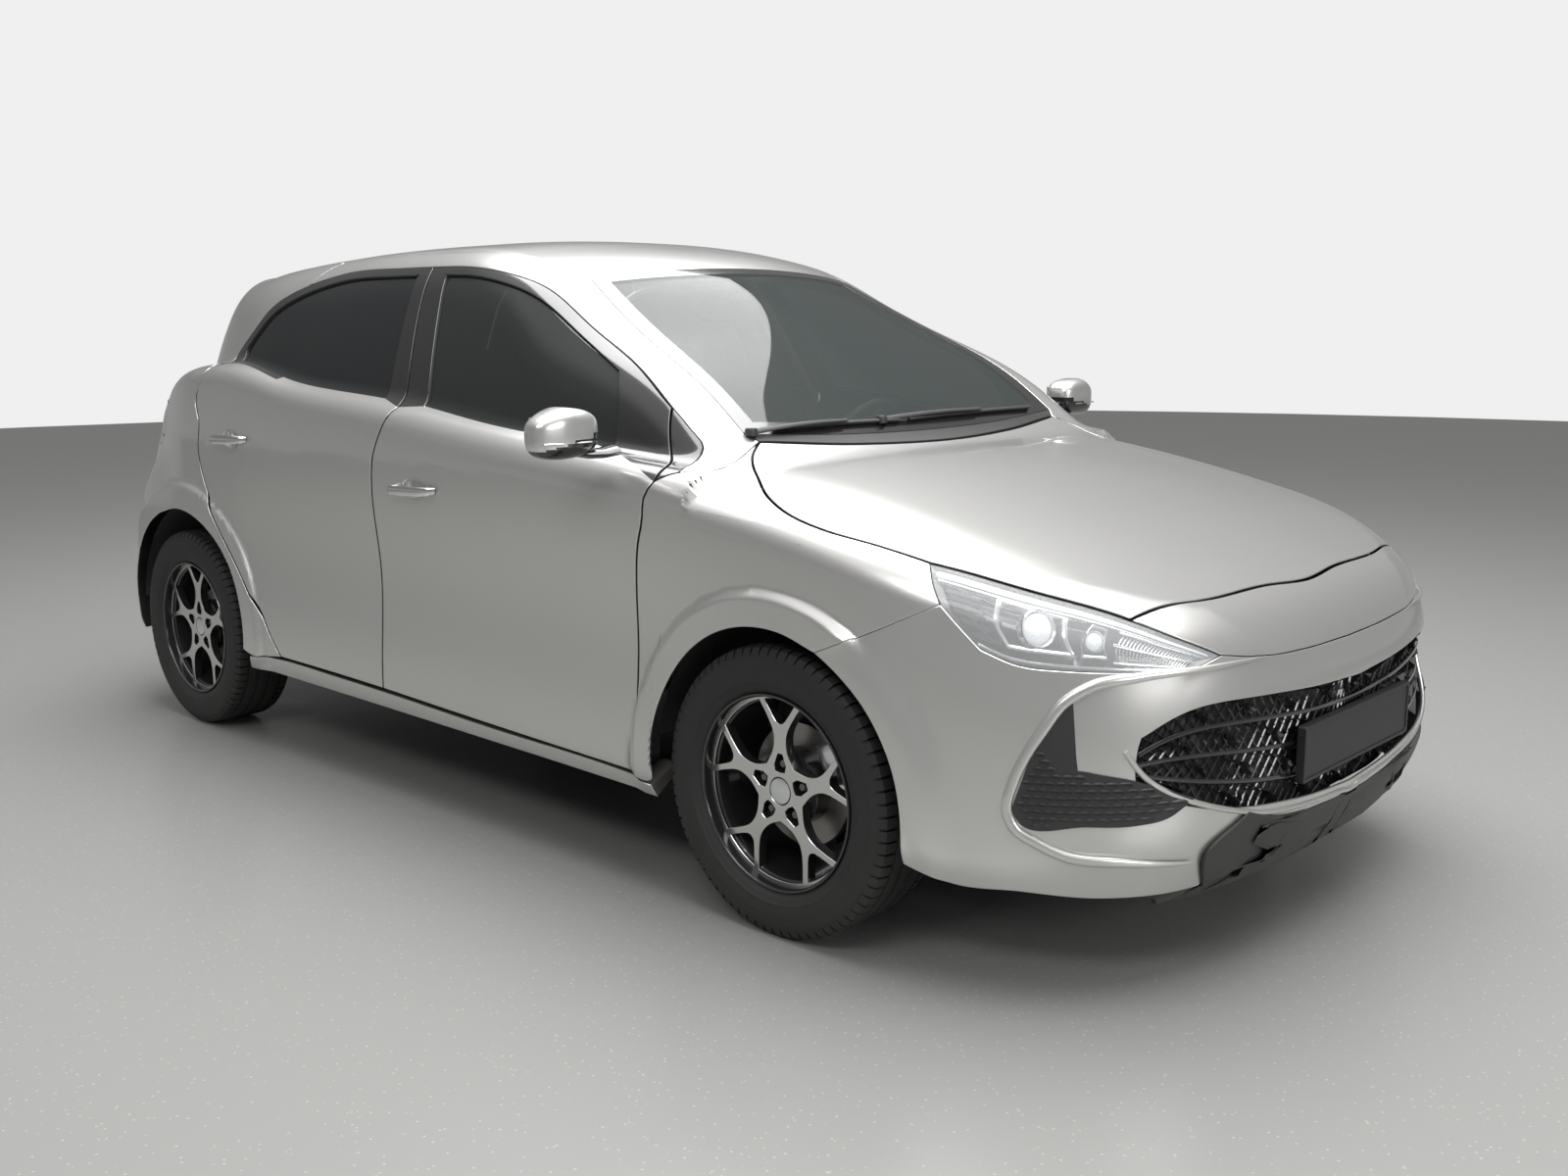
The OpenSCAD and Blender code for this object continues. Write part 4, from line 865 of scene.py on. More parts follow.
@dataclass(frozen=True)
class Finish:
    """One finish of the car.

    The colours are plain surface colours; amount, spread and bump say how much the surface changes from place to place.
    """

    base: tuple[float, float, float]
    shade: tuple[float, float, float]
    rough: float = 0.4
    metallic: float = 0.0
    coat: float = 0.0
    coat_rough: float = 0.03
    broad: float = 3.0
    grain: float = 400.0
    amount: float = 0.3
    spread: float = 0.06
    bump: float = 0.0
    dust: float = 0.0
    transmission: float = 0.0
    alpha: float = 1.0
    ior: float = 1.5
    sheen: float = 0.0
    specular: float = 0.5
    glow: float = 0.0
    woven: float = 0.0

    def build(self, name: str) -> bpy.types.Material:
        """Makes the material.

        Args:
            name: its name.

        Returns:
            The material.
        """
        mat = bpy.data.materials.new(name)
        mat.use_nodes = True
        tree = mat.node_tree
        out, shader = tree.nodes["Material Output"], tree.nodes["Principled BSDF"]
        life = tree.nodes.new("ShaderNodeGroup")
        life.node_tree = surface_group()
        life.inputs["Base"].default_value = (*self.base, 1)
        life.inputs["Shade"].default_value = (*self.shade, 1)
        for key, value in (("Broad Scale", self.broad), ("Grain Scale", self.grain), ("Amount", self.amount), ("Rough", self.rough), ("Rough Spread", self.spread), ("Dust", self.dust)):
            life.inputs[key].default_value = value
        tree.links.new(life.outputs["Color"], shader.inputs["Base Color"])
        tree.links.new(life.outputs["Roughness"], shader.inputs["Roughness"])
        for key, value in (("Metallic", self.metallic), ("Coat Weight", self.coat), ("Coat Roughness", self.coat_rough), ("Transmission Weight", self.transmission), ("IOR", self.ior), ("Alpha", self.alpha), ("Sheen Weight", self.sheen), ("Specular IOR Level", self.specular)):
            shader.inputs[key].default_value = value
        if self.glow:
            shader.inputs["Emission Color"].default_value = (*self.base, 1)
            shader.inputs["Emission Strength"].default_value = self.glow
        if self.bump:
            bump = tree.nodes.new("ShaderNodeBump")
            bump.inputs["Strength"].default_value = self.bump
            bump.inputs["Distance"].default_value = 0.0008
            height = life.outputs["Height"]
            if self.woven:
                weave = tree.nodes.new("ShaderNodeGroup")
                weave.node_tree = weave_group()
                weave.inputs["Threads"].default_value = self.woven
                height = weave.outputs["Height"]
            tree.links.new(height, bump.inputs["Height"])
            tree.links.new(bump.outputs["Normal"], shader.inputs["Normal"])
        tree.links.new(shader.outputs["BSDF"], out.inputs["Surface"])
        return mat


FINISHES: dict[str, Finish] = {
    "silver_paint": Finish((0.64, 0.635, 0.62), (0.58, 0.575, 0.56), rough=0.30, metallic=0.80, coat=1.0, grain=1400, amount=0.25, spread=0.05, dust=0.05),
    "gloss_black": Finish((0.012, 0.012, 0.013), (0.02, 0.02, 0.021), rough=0.14, coat=0.7, grain=300, amount=0.4),
    "satin_black": Finish((0.022, 0.022, 0.023), (0.036, 0.036, 0.036), rough=0.48, grain=900, amount=0.5, bump=0.25, dust=0.15),
    "underside": Finish((0.030, 0.030, 0.031), (0.05, 0.048, 0.045), rough=0.7, broad=6, grain=220, amount=0.6, bump=0.3, dust=0.4),
    "side_glass": Finish((0.02, 0.022, 0.022), (0.026, 0.028, 0.028), rough=0.02, transmission=0.0, alpha=0.86, coat=0.0, spread=0.01, grain=30, amount=0.3),
    "dark_glass": Finish((0.012, 0.013, 0.014), (0.018, 0.019, 0.02), rough=0.02, alpha=0.96, spread=0.01, grain=30, amount=0.3),
    "screen_glass": Finish((0.05, 0.06, 0.058), (0.06, 0.07, 0.068), rough=0.02, alpha=0.42, spread=0.01, grain=30, amount=0.2),
    "clear_lens": Finish((0.9, 0.92, 0.93), (0.85, 0.87, 0.88), rough=0.02, alpha=0.16, coat=0.0, spread=0.01, grain=60, amount=0.2),
    "bright": Finish((0.80, 0.80, 0.80), (0.70, 0.70, 0.70), rough=0.12, metallic=1.0, grain=200, amount=0.3),
    "lamp_silver": Finish((0.72, 0.73, 0.74), (0.55, 0.56, 0.57), rough=0.2, metallic=0.9, grain=120, amount=0.3),
    "lamp_white": Finish((0.86, 0.89, 0.92), (0.78, 0.80, 0.83), rough=0.3, grain=220, amount=0.3, glow=0.12),
    "red_lens": Finish((0.16, 0.006, 0.008), (0.30, 0.008, 0.01), rough=0.10, coat=1.0, grain=90, amount=0.5, glow=0.05),
    "alloy_face": Finish((0.66, 0.655, 0.64), (0.56, 0.555, 0.54), rough=0.26, metallic=1.0, coat=0.3, grain=500, amount=0.3),
    "alloy_black": Finish((0.014, 0.014, 0.015), (0.03, 0.03, 0.03), rough=0.25, coat=0.6, grain=400, amount=0.4),
    "rubber": Finish((0.012, 0.012, 0.0125), (0.022, 0.0215, 0.021), rough=0.66, broad=8, grain=600, amount=0.6, bump=0.25, dust=0.06),
    "iron": Finish((0.33, 0.32, 0.31), (0.20, 0.17, 0.15), rough=0.35, metallic=0.9, grain=260, amount=0.7, spread=0.2),
    "engine_grey": Finish((0.18, 0.18, 0.18), (0.10, 0.10, 0.10), rough=0.55, metallic=0.5, grain=180, amount=0.7, bump=0.3),
    "seat_cloth": Finish((0.035, 0.035, 0.037), (0.055, 0.055, 0.058), rough=0.85, sheen=0.25, grain=500, amount=0.6, bump=0.8, woven=340.0),
    "cabin_black": Finish((0.026, 0.026, 0.027), (0.045, 0.045, 0.045), rough=0.6, grain=700, amount=0.5, bump=0.4),
    "cabin_pale": Finish((0.30, 0.30, 0.29), (0.24, 0.24, 0.23), rough=0.8, grain=500, amount=0.4, bump=0.3),
    "carpet": Finish((0.03, 0.03, 0.03), (0.05, 0.05, 0.05), rough=0.95, grain=420, amount=0.7, bump=0.9, woven=260.0),
    "plate_black": Finish((0.010, 0.010, 0.011), (0.016, 0.016, 0.017), rough=0.42, grain=500, amount=0.4, bump=0.1),
    "sticker": Finish((0.55, 0.55, 0.54), (0.45, 0.45, 0.44), rough=0.5, grain=120, amount=0.4),
}
MADE: dict[str, bpy.types.Material] = {}


def material(name: str) -> bpy.types.Material:
    """The material of a finish, made once."""
    if name not in MADE:
        MADE[name] = FINISHES[name].build(name)
    return MADE[name]


# ---------------------------------------------------------------- body shell
@dataclass
class BodyShell:
    """The fixed painted panels: wings, rails, pillars, quarters, sills and roof."""

    skin: float = SIZES.skin
    rail_depth: float = 0.012
    lid_depth: float = 0.016
    g: float = SIZES.shut
    s: float = SIZES.seam

    def arches(self) -> tuple[Array, Array]:
        """The lower edges of wing and quarter, with the wheel arch in them."""
        xf, rf, xr, rr = SIZES.front_axle, SIZES.arch_front, SIZES.rear_axle, SIZES.arch_rear
        wing = FORM.curve([[0.785, 0.262], [0.83, 0.259], [xf - rf + 0.004, 0.266]] + LINES.ring(xf, rf, 178, 67, 7), 14)
        quarter = join(FORM.curve([[xr + rr - 0.003, 0.300]] + LINES.ring(xr, rr, 2, 110, 6), 10), FORM.curve(LINES.ring(xr, rr, 110, 145, 3), 12))
        return wing, quarter

    def build(self) -> None:
        """Makes every fixed panel of the sides and the roof."""
        n, g, s = LINES, self.g, self.s
        wing_foot, quarter_foot = self.arches()
        grid = FORM.onto(coons(wing_foot, n.bonnet_side, join(n.front_low, n.wing_back), join(resample(n.wing_low, 0, 1, 10), n.lamp_back)))
        wings = Part("front_wings_skin")
        sheet(wings, grid, [g, s, s, g], self.skin, "silver_paint")
        wings.mirror().make("body", "paint", ["front_wings"])
        sail = Part("sail_trims_skin")
        grid = FORM.onto(coons(resample(part(n.wing_back, 0, 1), 0, 1, 4), resample(part(n.rail_foot, 1, 3)[::-1], 0, 1, 4), join(n.front_mid, n.front_top), resample(part(n.rail_foot, 0, 1), 0, 1, 6)))
        sheet(sail, grid, [g * 1.4, s, s * 0.7, s * 0.7], self.skin, "gloss_black")
        sail.mirror().make("body", "gloss_black", ["sail_trims"])
        roof = Part("roof_skin")
        grid = FORM.onto(coons(FORM.curve(n.roof_back, 12), n.screen_top, flip(n.roof_side[::-1]), n.roof_side[::-1]))
        sheet(roof, grid, [s * 1.5, s * 1.5, g * 1.4, s], self.lid_depth, "silver_paint", "cabin_pale")
        roof.make("body", "paint", ["roof_panel"])
        rails = Part("side_rails_skin")
        low = join(n.rail_foot, part(n.over_front[::-1], 0, 13), part(n.over_rear[::-1], 0, 8))
        top = join(FORM.curve([[0.902, 0.590, 1.004], [0.878, 0.612, 1.020]], 2), resample(n.screen_side, 0, 1, 12), part(n.roof_side, 0, 10))
        grid = FORM.onto(coons(low, top, part(n.wing_back, 1, 6), resample(n.rail_end, 0, 1, 5)))
        sheet(rails, grid, [s, s * 2, g, s], self.rail_depth, "silver_paint", "cabin_pale")
        rails.mirror().make("body", "paint", ["side_rails"])
        pillars = Part("rear_pillars_skin")
        left = join(n.rear_mid, n.rear_top, part(n.over_rear, 0, 5), n.rail_end)
        grid = FORM.onto(coons(n.shoulder, resample(part(n.roof_side, 10, 16), 0, 1, 12), left, join(n.tail_top, n.gate_mid_side, n.gate_top_side)))
        sheet(pillars, grid, [g, g * 1.4, s * 0.6, s * 1.5], self.rail_depth, "silver_paint", "cabin_pale", taper=0.008)
        pillars.mirror().make("body", "paint", ["rear_pillars"])
        quarters = Part("quarter_panels_skin")
        sill_end = squeeze(FORM.curve([[SIZES.rear_axle + SIZES.arch_rear - 0.003, 0.300], [-0.955, 0.290], [-0.80, 0.300]], 10), 0, g * 1.4)
        lean = np.cross(np.gradient(n.rear_low, axis=0), FORM.normal(n.rear_low))
        edge = FORM.onto(n.rear_low + unit(lean) * g * 1.4)
        top = np.concatenate([sill_end[-1:], edge[1 : 9 * FINE + 1]])
        rest = squeeze(n.shoulder, g * 1.2, 0)
        t = np.linspace(0, 1, FINE + 1)[1:-1, None]
        top = np.concatenate([top, top[-1] * (1 - t) + rest[0] * t, rest])
        grid = FORM.onto(coons(quarter_foot, top, sill_end, join(n.quarter_low, n.quarter_back, n.tail_front)))
        sheet(quarters, grid, [s, s, s, s], self.skin, "silver_paint")
        quarters.mirror().make("body", "paint", ["quarter_panels"])
        sills = Part("sills_skin")
        low = FORM.curve([[-0.985, 0.240], [0, 0.235], [0.84, 0.225]], 12)
        top = FORM.curve([[-0.955, 0.286], [-0.80, 0.294], [-0.5, 0.291], [-0.258, 0.287], [0.2, 0.275], [0.785, 0.262], [0.838, 0.258]], 12)
        grid = FORM.onto(coons(low, top, FORM.curve([[-0.985, 0.240], [-0.955, 0.286]], 2), FORM.curve([[0.84, 0.225], [0.838, 0.258]], 2)))
        sheet(sills, grid, [s, s, s, g], 0.085, "silver_paint")
        sills.mirror().make("body", "paint", ["sills"])


@dataclass
class Doors:
    """The four doors with their glass."""

    depth: float = 0.070
    frame_depth: float = 0.026
    g: float = SIZES.shut

    def build(self) -> None:
        """Makes doors and panes on both sides."""
        k, m, nm = LINES.DOOR_COLS, LINES.DOOR_WINDOW, LINES.WINDOW_ROWS
        for place, (grid, mouth), rows in (("front", LINES.front_door, LINES.FRONT_ROWS), ("rear", LINES.rear_door, LINES.REAR_ROWS)):
            hole, g = [k, k + m, rows, rows + nm], self.g
            outer = inset(grid, [g * 1.25, g * 1.15, g, g * 1.4], hole)
            back = inset(outer, [0.020, 0.020, 0.020, 0.015], hole)
            deep = self.frame_depth + (self.depth - self.frame_depth) * step(-0.01, -0.16, back[..., 2] - FORM.BELT(back[..., 0]))
            back = back - FORM.normal(back) * deep[..., None]
            edge = outer[rows * FINE]

            def above_waist(p: Array, edge: Array = edge) -> Array:
                """1 for cells over the window line, else 0."""
                order = np.argsort(edge[:, 0])
                return (p[..., 2] > np.interp(p[..., 0], edge[order, 0], edge[order, 2]) - 0.004).astype(int)

            pane_grid = inset(mouth, [0.0014] * 4)
            for side in Side:
                name = side.name.lower()
                body = f"{place}_door_{name}"
                door = Part(f"door_{place}_{name}_skin")
                shell(door, outer, back, above_waist, "cabin_black", hole, names=["silver_paint", "gloss_black"])
                pane = Part(f"glass_{place}_{name}_pane")
                n = FORM.normal(pane_grid)
                shell(pane, pane_grid - n * 0.008, pane_grid - n * (0.008 + SIZES.glass), "side_glass" if place == "front" else "dark_glass", "side_glass" if place == "front" else "dark_glass", radius=0.0006)
                for piece, slot, node in ((door, "paint", "door"), (pane, "glass", "glass")):
                    (piece.flipped() if side is Side.RIGHT else piece).make(body, slot, [f"{node}_{place}_{name}"])


@dataclass
class Lids:
    """Bonnet, and tailgate with its window."""

    g: float = SIZES.shut
    gate_depth: float = 0.040
    bonnet_depth: float = 0.016

    NOSE_TOP = [[1.866, 0.606, 0.728], [1.880, 0.53, 0.741], [1.905, 0.40, 0.744], [1.915, 0.169, 0.742], [1.929, 0.0, 0.735]]
    COWL = [[0.902, 0.590, 1.004], [0.955, 0.30, 0.990], [0.978, 0.0, 0.983]]

    @staticmethod
    def both(points: Sequence[Sequence[float]]) -> list[list[float]]:
        """Left points that end on the centre line, as a right-to-left list."""
        return [[x, -y, z] for x, y, z in points] + [list(p) for p in points[-2::-1]]

    def gate_grid(self) -> tuple[Array, Array]:
        """The tailgate's grid and its window's grid."""
        n = LINES
        wb = [[-1.79, 0.48, 1.085], [-1.85, 0.25, 1.078], [-1.866, 0, 1.075]]
        wt = [[-1.60, 0.44, 1.325], [-1.635, 0.22, 1.335], [-1.645, 0, 1.338]]
        ws = FORM.curve([[-1.79, 0.48, 1.085], [-1.69, 0.465, 1.205], [-1.60, 0.44, 1.325]], 5)
        s2, s3 = [-1.84, 0.60, 1.035], [-1.57, 0.52, 1.325]

        def row(side: list[float], mid: list[list[float]]) -> Array:
            """One line across, from the right edge over the window to the left edge."""
            edge = FORM.curve([side, mid[0]], 2)
            return join(flip(edge), FORM.curve(self.both(mid), 10), edge[::-1])

        low_side = join(n.gate_low_side, n.tail_gate)
        sides = [low_side, n.gate_mid_side, n.gate_top_side]
        return ShutLines.banded(n.gate_low, row(s2, wb), row(s3, wt), FORM.curve(n.roof_back, 14), [flip(c) for c in sides], sides, flip(ws), ws, 2, 10)

    def build(self) -> None:
        """Makes the two lids."""
        n, g = LINES, self.g
        side = join(resample(n.bonnet_side, 0, 1, 7), n.lamp_top)[::-1]
        front = FORM.curve(self.both(self.NOSE_TOP), 16)
        rear = FORM.curve(self.both(self.COWL), 16)
        bonnet = Part("bonnet_skin")
        sheet(bonnet, FORM.onto(coons(front, rear, flip(side), side)), [g * 1.6, g * 1.6, g * 1.3, g * 1.8], self.bonnet_depth, "silver_paint", "underside", taper=0.012)
        bonnet.make("bonnet", "paint", ["bonnet"])
        grid, mouth = self.gate_grid()
        hole = [2, 12, 7, 12]
        grid = relax(grid, 160)
        outer = inset(grid, [g * 1.2, g * 1.2, g * 1.7, g * 1.4], hole)
        back = inset(outer, [0.016] * 4, hole)
        back = back - FORM.normal(back) * (self.gate_depth * (0.5 + 0.5 * step(1.10, 1.0, back[..., 2])))[..., None]
        gate = Part("tailgate_skin")
        shell(gate, outer, back, "silver_paint", "cabin_black", hole, turns_to=own_normal(outer))
        gate.make("tailgate", "paint", ["tailgate"])
        pane_grid = inset(mouth, [0.0014] * 4)
        nn = FORM.normal(pane_grid)
        pane = Part("tailgate_window")
        shell(pane, pane_grid - nn * 0.008, pane_grid - nn * (0.008 + SIZES.glass), "dark_glass", "dark_glass", radius=0.0006)
        pane.make("tailgate", "glass", ["tailgate_glass"])


@dataclass
class Screen:
    """Windscreen with its black band, and the cowl under it."""

    def build(self) -> None:
        """Makes screen and cowl."""
        n, s, g = LINES, SIZES.seam, SIZES.shut
        grid = FORM.onto(coons(n.screen_low, n.screen_top, flip(n.screen_side), n.screen_side))
        screen = Part("windscreen_pane")
        a = inset(grid, [s * 1.5, s * 1.5, s, s])
        b = a - FORM.normal(a) * SIZES.glass

        def band(p: Array) -> Array:
            """1 in the printed black border, else 0."""
            i, j = np.indices(p.shape[:2])
            m, k = p.shape[0] - 1, p.shape[1] - 1
            return ((i < 2) | (i > m - 2) | (j < 2) | (j > k - 2)).astype(int)

        shell(screen, a, b, band, "screen_glass", radius=0.0006, names=["screen_glass", "gloss_black"])
        screen.make("body", "glass", ["windscreen"])
        cowl = Part("cowl_skin")
        edge = FORM.curve([[0.902, 0.590, 1.004], [0.878, 0.612, 1.020]], 1)
        low = FORM.curve(Lids.both(Lids.COWL), 12)
        sheet(cowl, FORM.onto(coons(low, n.screen_low, flip(edge), edge)), [0.0034, 0.0034, g * 1.5, s], 0.02, "satin_black")
        cowl.make("body", "trim", ["cowl_panel"])


# ---------------------------------------------------------------- shapes
Faces = tuple[Array, Array]


def lathe(profile: Sequence[Sequence[float]], count: int = 96) -> Faces:
    """A turned shape round the Y axis.

    Args:
        profile: (radius, y) points, ordered so that the outside lies to their right as y rises.
        count: sides of the circle.

    Returns:
        Points and quads.
    """
    q = np.asarray(profile, float)
    a = np.linspace(0, 2 * math.pi, count, endpoint=False)
    v = np.stack([q[:, 0][None] * np.cos(a)[:, None], np.broadcast_to(q[:, 1], (count, len(q))), q[:, 0][None] * np.sin(a)[:, None]], -1)
    i = np.arange(count * len(q)).reshape(count, len(q))
    j = np.roll(i, -1, 0)
    f = np.stack([i[:, :-1], i[:, 1:], j[:, 1:], j[:, :-1]], -1).reshape(-1, 4)
    return v.reshape(-1, 3), f


def grid_faces(rows: int, cols: int, close_rows: bool = False, close_cols: bool = False) -> Array:
    """Quads over a grid of points, which may close on itself."""
    i = np.arange(rows * cols).reshape(rows, cols)
    if close_rows:
        i = np.concatenate([i, i[:1]])
    if close_cols:
        i = np.concatenate([i, i[:, :1]], 1)
    return np.stack([i[:-1, :-1], i[:-1, 1:], i[1:, 1:], i[1:, :-1]], -1).reshape(-1, 4)


def loft(rings: Array) -> list[Faces]:
    """A closed skin through rings of points, with flat ends.

    Args:
        rings: (rings, points, 3); each ring is closed, and anticlockwise seen from the last one.

    Returns:
        Pieces of points and faces: the sides and the two fans.
    """
    r, n = rings.shape[:2]
    out = [(rings.reshape(-1, 3), grid_faces(r, n, close_cols=True))]
    for k, turned in ((0, True), (r - 1, False)):
        v = np.concatenate([rings[k], rings[k].mean(0)[None]])
        f = np.stack([np.arange(n), np.roll(np.arange(n), -1), np.full(n, n)], -1)
        out.append((v, f[:, ::-1] if turned else f))
    return out


def outward(faces: list[Faces]) -> list[Faces]:
    """Turns a closed body's faces outwards, by its volume."""
    total = 0.0
    for v, f in faces:
        p = v[f]
        for k in range(1, f.shape[1] - 1):
            total += np.einsum("ij,ij->i", p[:, 0], np.cross(p[:, k], p[:, k + 1])).sum()
    return faces if total > 0 else [(v, f[:, ::-1]) for v, f in faces]


def sweep(path: Array, half: tuple[float, float], up: Array, count: int = 10, taper: Array | None = None) -> list[Faces]:
    """A rod of oval section along a path.

    Args:
        path: its centre line, (n, 3).
        half: half sizes along up and across it.
        up: direction of the first half size, one or one a point.
        count: sides of the oval.
        taper: size factor at each point.

    Returns:
        Pieces of points and faces.
    """
    t = unit(np.gradient(path, axis=0))
    up = np.broadcast_to(np.asarray(up, float), path.shape)
    side = unit(np.cross(t, up))
    top = unit(np.cross(side, t))
    a = np.linspace(0, 2 * math.pi, count, endpoint=False)
    k = np.ones(len(path)) if taper is None else taper
    ring = path[:, None] + k[:, None, None] * (half[0] * np.cos(a)[None, :, None] * top[:, None] + half[1] * np.sin(a)[None, :, None] * side[:, None])
    return outward(loft(ring))


def turn(v: Array, axis: str, degrees: float, about: Sequence[float] = (0, 0, 0)) -> Array:
    """Points turned about an axis through a point."""
    a, b = {"X": (1, 2), "Y": (2, 0), "Z": (0, 1)}[axis]
    v = np.asarray(v, float) - np.asarray(about, float)
    c, s = math.cos(math.radians(degrees)), math.sin(math.radians(degrees))
    out = v.copy()
    out[..., a], out[..., b] = c * v[..., a] - s * v[..., b], s * v[..., a] + c * v[..., b]
    return out + np.asarray(about, float)


def pillow(low: Sequence[float], high: Sequence[float], r: float, crown: float = 0.0, cells: int = 14) -> Faces:
    """A box with round edges whose faces bulge a little.

    Args:
        low: lowest corner.
        high: highest corner.
        r: radius of the edges.
        crown: how far each face bulges in the middle, inside the box's own size.
        cells: cells along each edge.

    Returns:
        Points and quads.
    """
    low, high = np.asarray(low, float), np.asarray(high, float)
    mid, half = (low + high) / 2, (high - low) / 2
    t = np.linspace(-1, 1, cells + 1)
    t = np.sign(t) * (1 - (1 - np.abs(t)) ** 1.3)
    u, w = np.meshgrid(t, t, indexing="ij")
    verts, faces = [], []
    for k in range(3):
        for s in (-1, 1):
            c = np.empty((cells + 1, cells + 1, 3))
            c[..., k], c[..., (k + 1) % 3], c[..., (k + 2) % 3] = s, u, w
            p = c * half
            p[..., k] -= s * crown * (1 - (1 - u**2) * (1 - w**2))
            core = np.clip(p, -(half - r), half - r)
            d = p - core
            p = core + unit(d) * r * (np.linalg.norm(d, axis=-1, keepdims=True) > 0)
            p[..., k] -= 0 if crown == 0 else s * crown * (1 - (1 - u**2) * (1 - w**2))
            f = grid_faces(cells + 1, cells + 1)
            faces.append((f if s > 0 else f[:, ::-1]) + len(verts) * (cells + 1) ** 2)
            verts.append((p + mid).reshape(-1, 3))
    return np.concatenate(verts), np.concatenate(faces)


def plate(loops: Sequence[Array], top: float, bottom: float, bevel: float) -> tuple[Faces, Faces]:
    """A flat plate with holes and bevelled edges, in X and Y, facing +Z.

    Args:
        loops: closed outlines; the first anticlockwise, holes clockwise.
        top: height of its face.
        bottom: height of its back.
        bevel: width of the bevel.

    Returns:
        The face with its bevels, and the walls.
    """
    from mathutils.geometry import tessellate_polygon

    verts, faces, wall_v, wall_f, inner, base = [], [], [], [], [], 0
    for loop in loops:
        e = unit(np.roll(loop, -1, 0) - loop)
        n = np.stack([-e[:, 1], e[:, 0]], -1)
        m = n + np.roll(n, 1, 0)
        m = m / np.maximum((m * m).sum(1, keepdims=True), 0.5) * 2
        small = loop + m * bevel
        inner.append(small)
        k = len(loop)
        rings = np.concatenate([np.c_[small, np.full(k, top)], np.c_[loop, np.full(k, top - bevel)]])
        i = np.arange(k)
        j = np.roll(i, -1)
        verts.append(rings)
        faces.append(np.stack([i, i + k, j + k, j], -1) + base)
        wall_v.append(np.concatenate([np.c_[loop, np.full(k, top - bevel)], np.c_[loop, np.full(k, bottom)]]))
        wall_f.append(np.stack([i, i + k, j + k, j], -1) + base)
        base += 2 * k
    flat = [[Vector((*p, 0.0)) for p in q] for q in inner]
    tris = np.array(tessellate_polygon(flat), int)
    all_points = np.concatenate(inner)
    p = all_points[tris]
    area = (p[:, 1, 0] - p[:, 0, 0]) * (p[:, 2, 1] - p[:, 0, 1]) - (p[:, 2, 0] - p[:, 0, 0]) * (p[:, 1, 1] - p[:, 0, 1])
    tris[area < 0] = tris[area < 0][:, ::-1]
    face_v = np.c_[all_points, np.full(len(all_points), top)]
    quads = np.concatenate(faces)
    tri2 = np.concatenate([quads[:, [0, 1, 2]], quads[:, [0, 2, 3]]])
    tri2 = tri2[:, ::1] + len(face_v)
    return (np.concatenate([face_v] + verts), np.concatenate([tris, tri2])), (np.concatenate(wall_v), np.concatenate(wall_f))


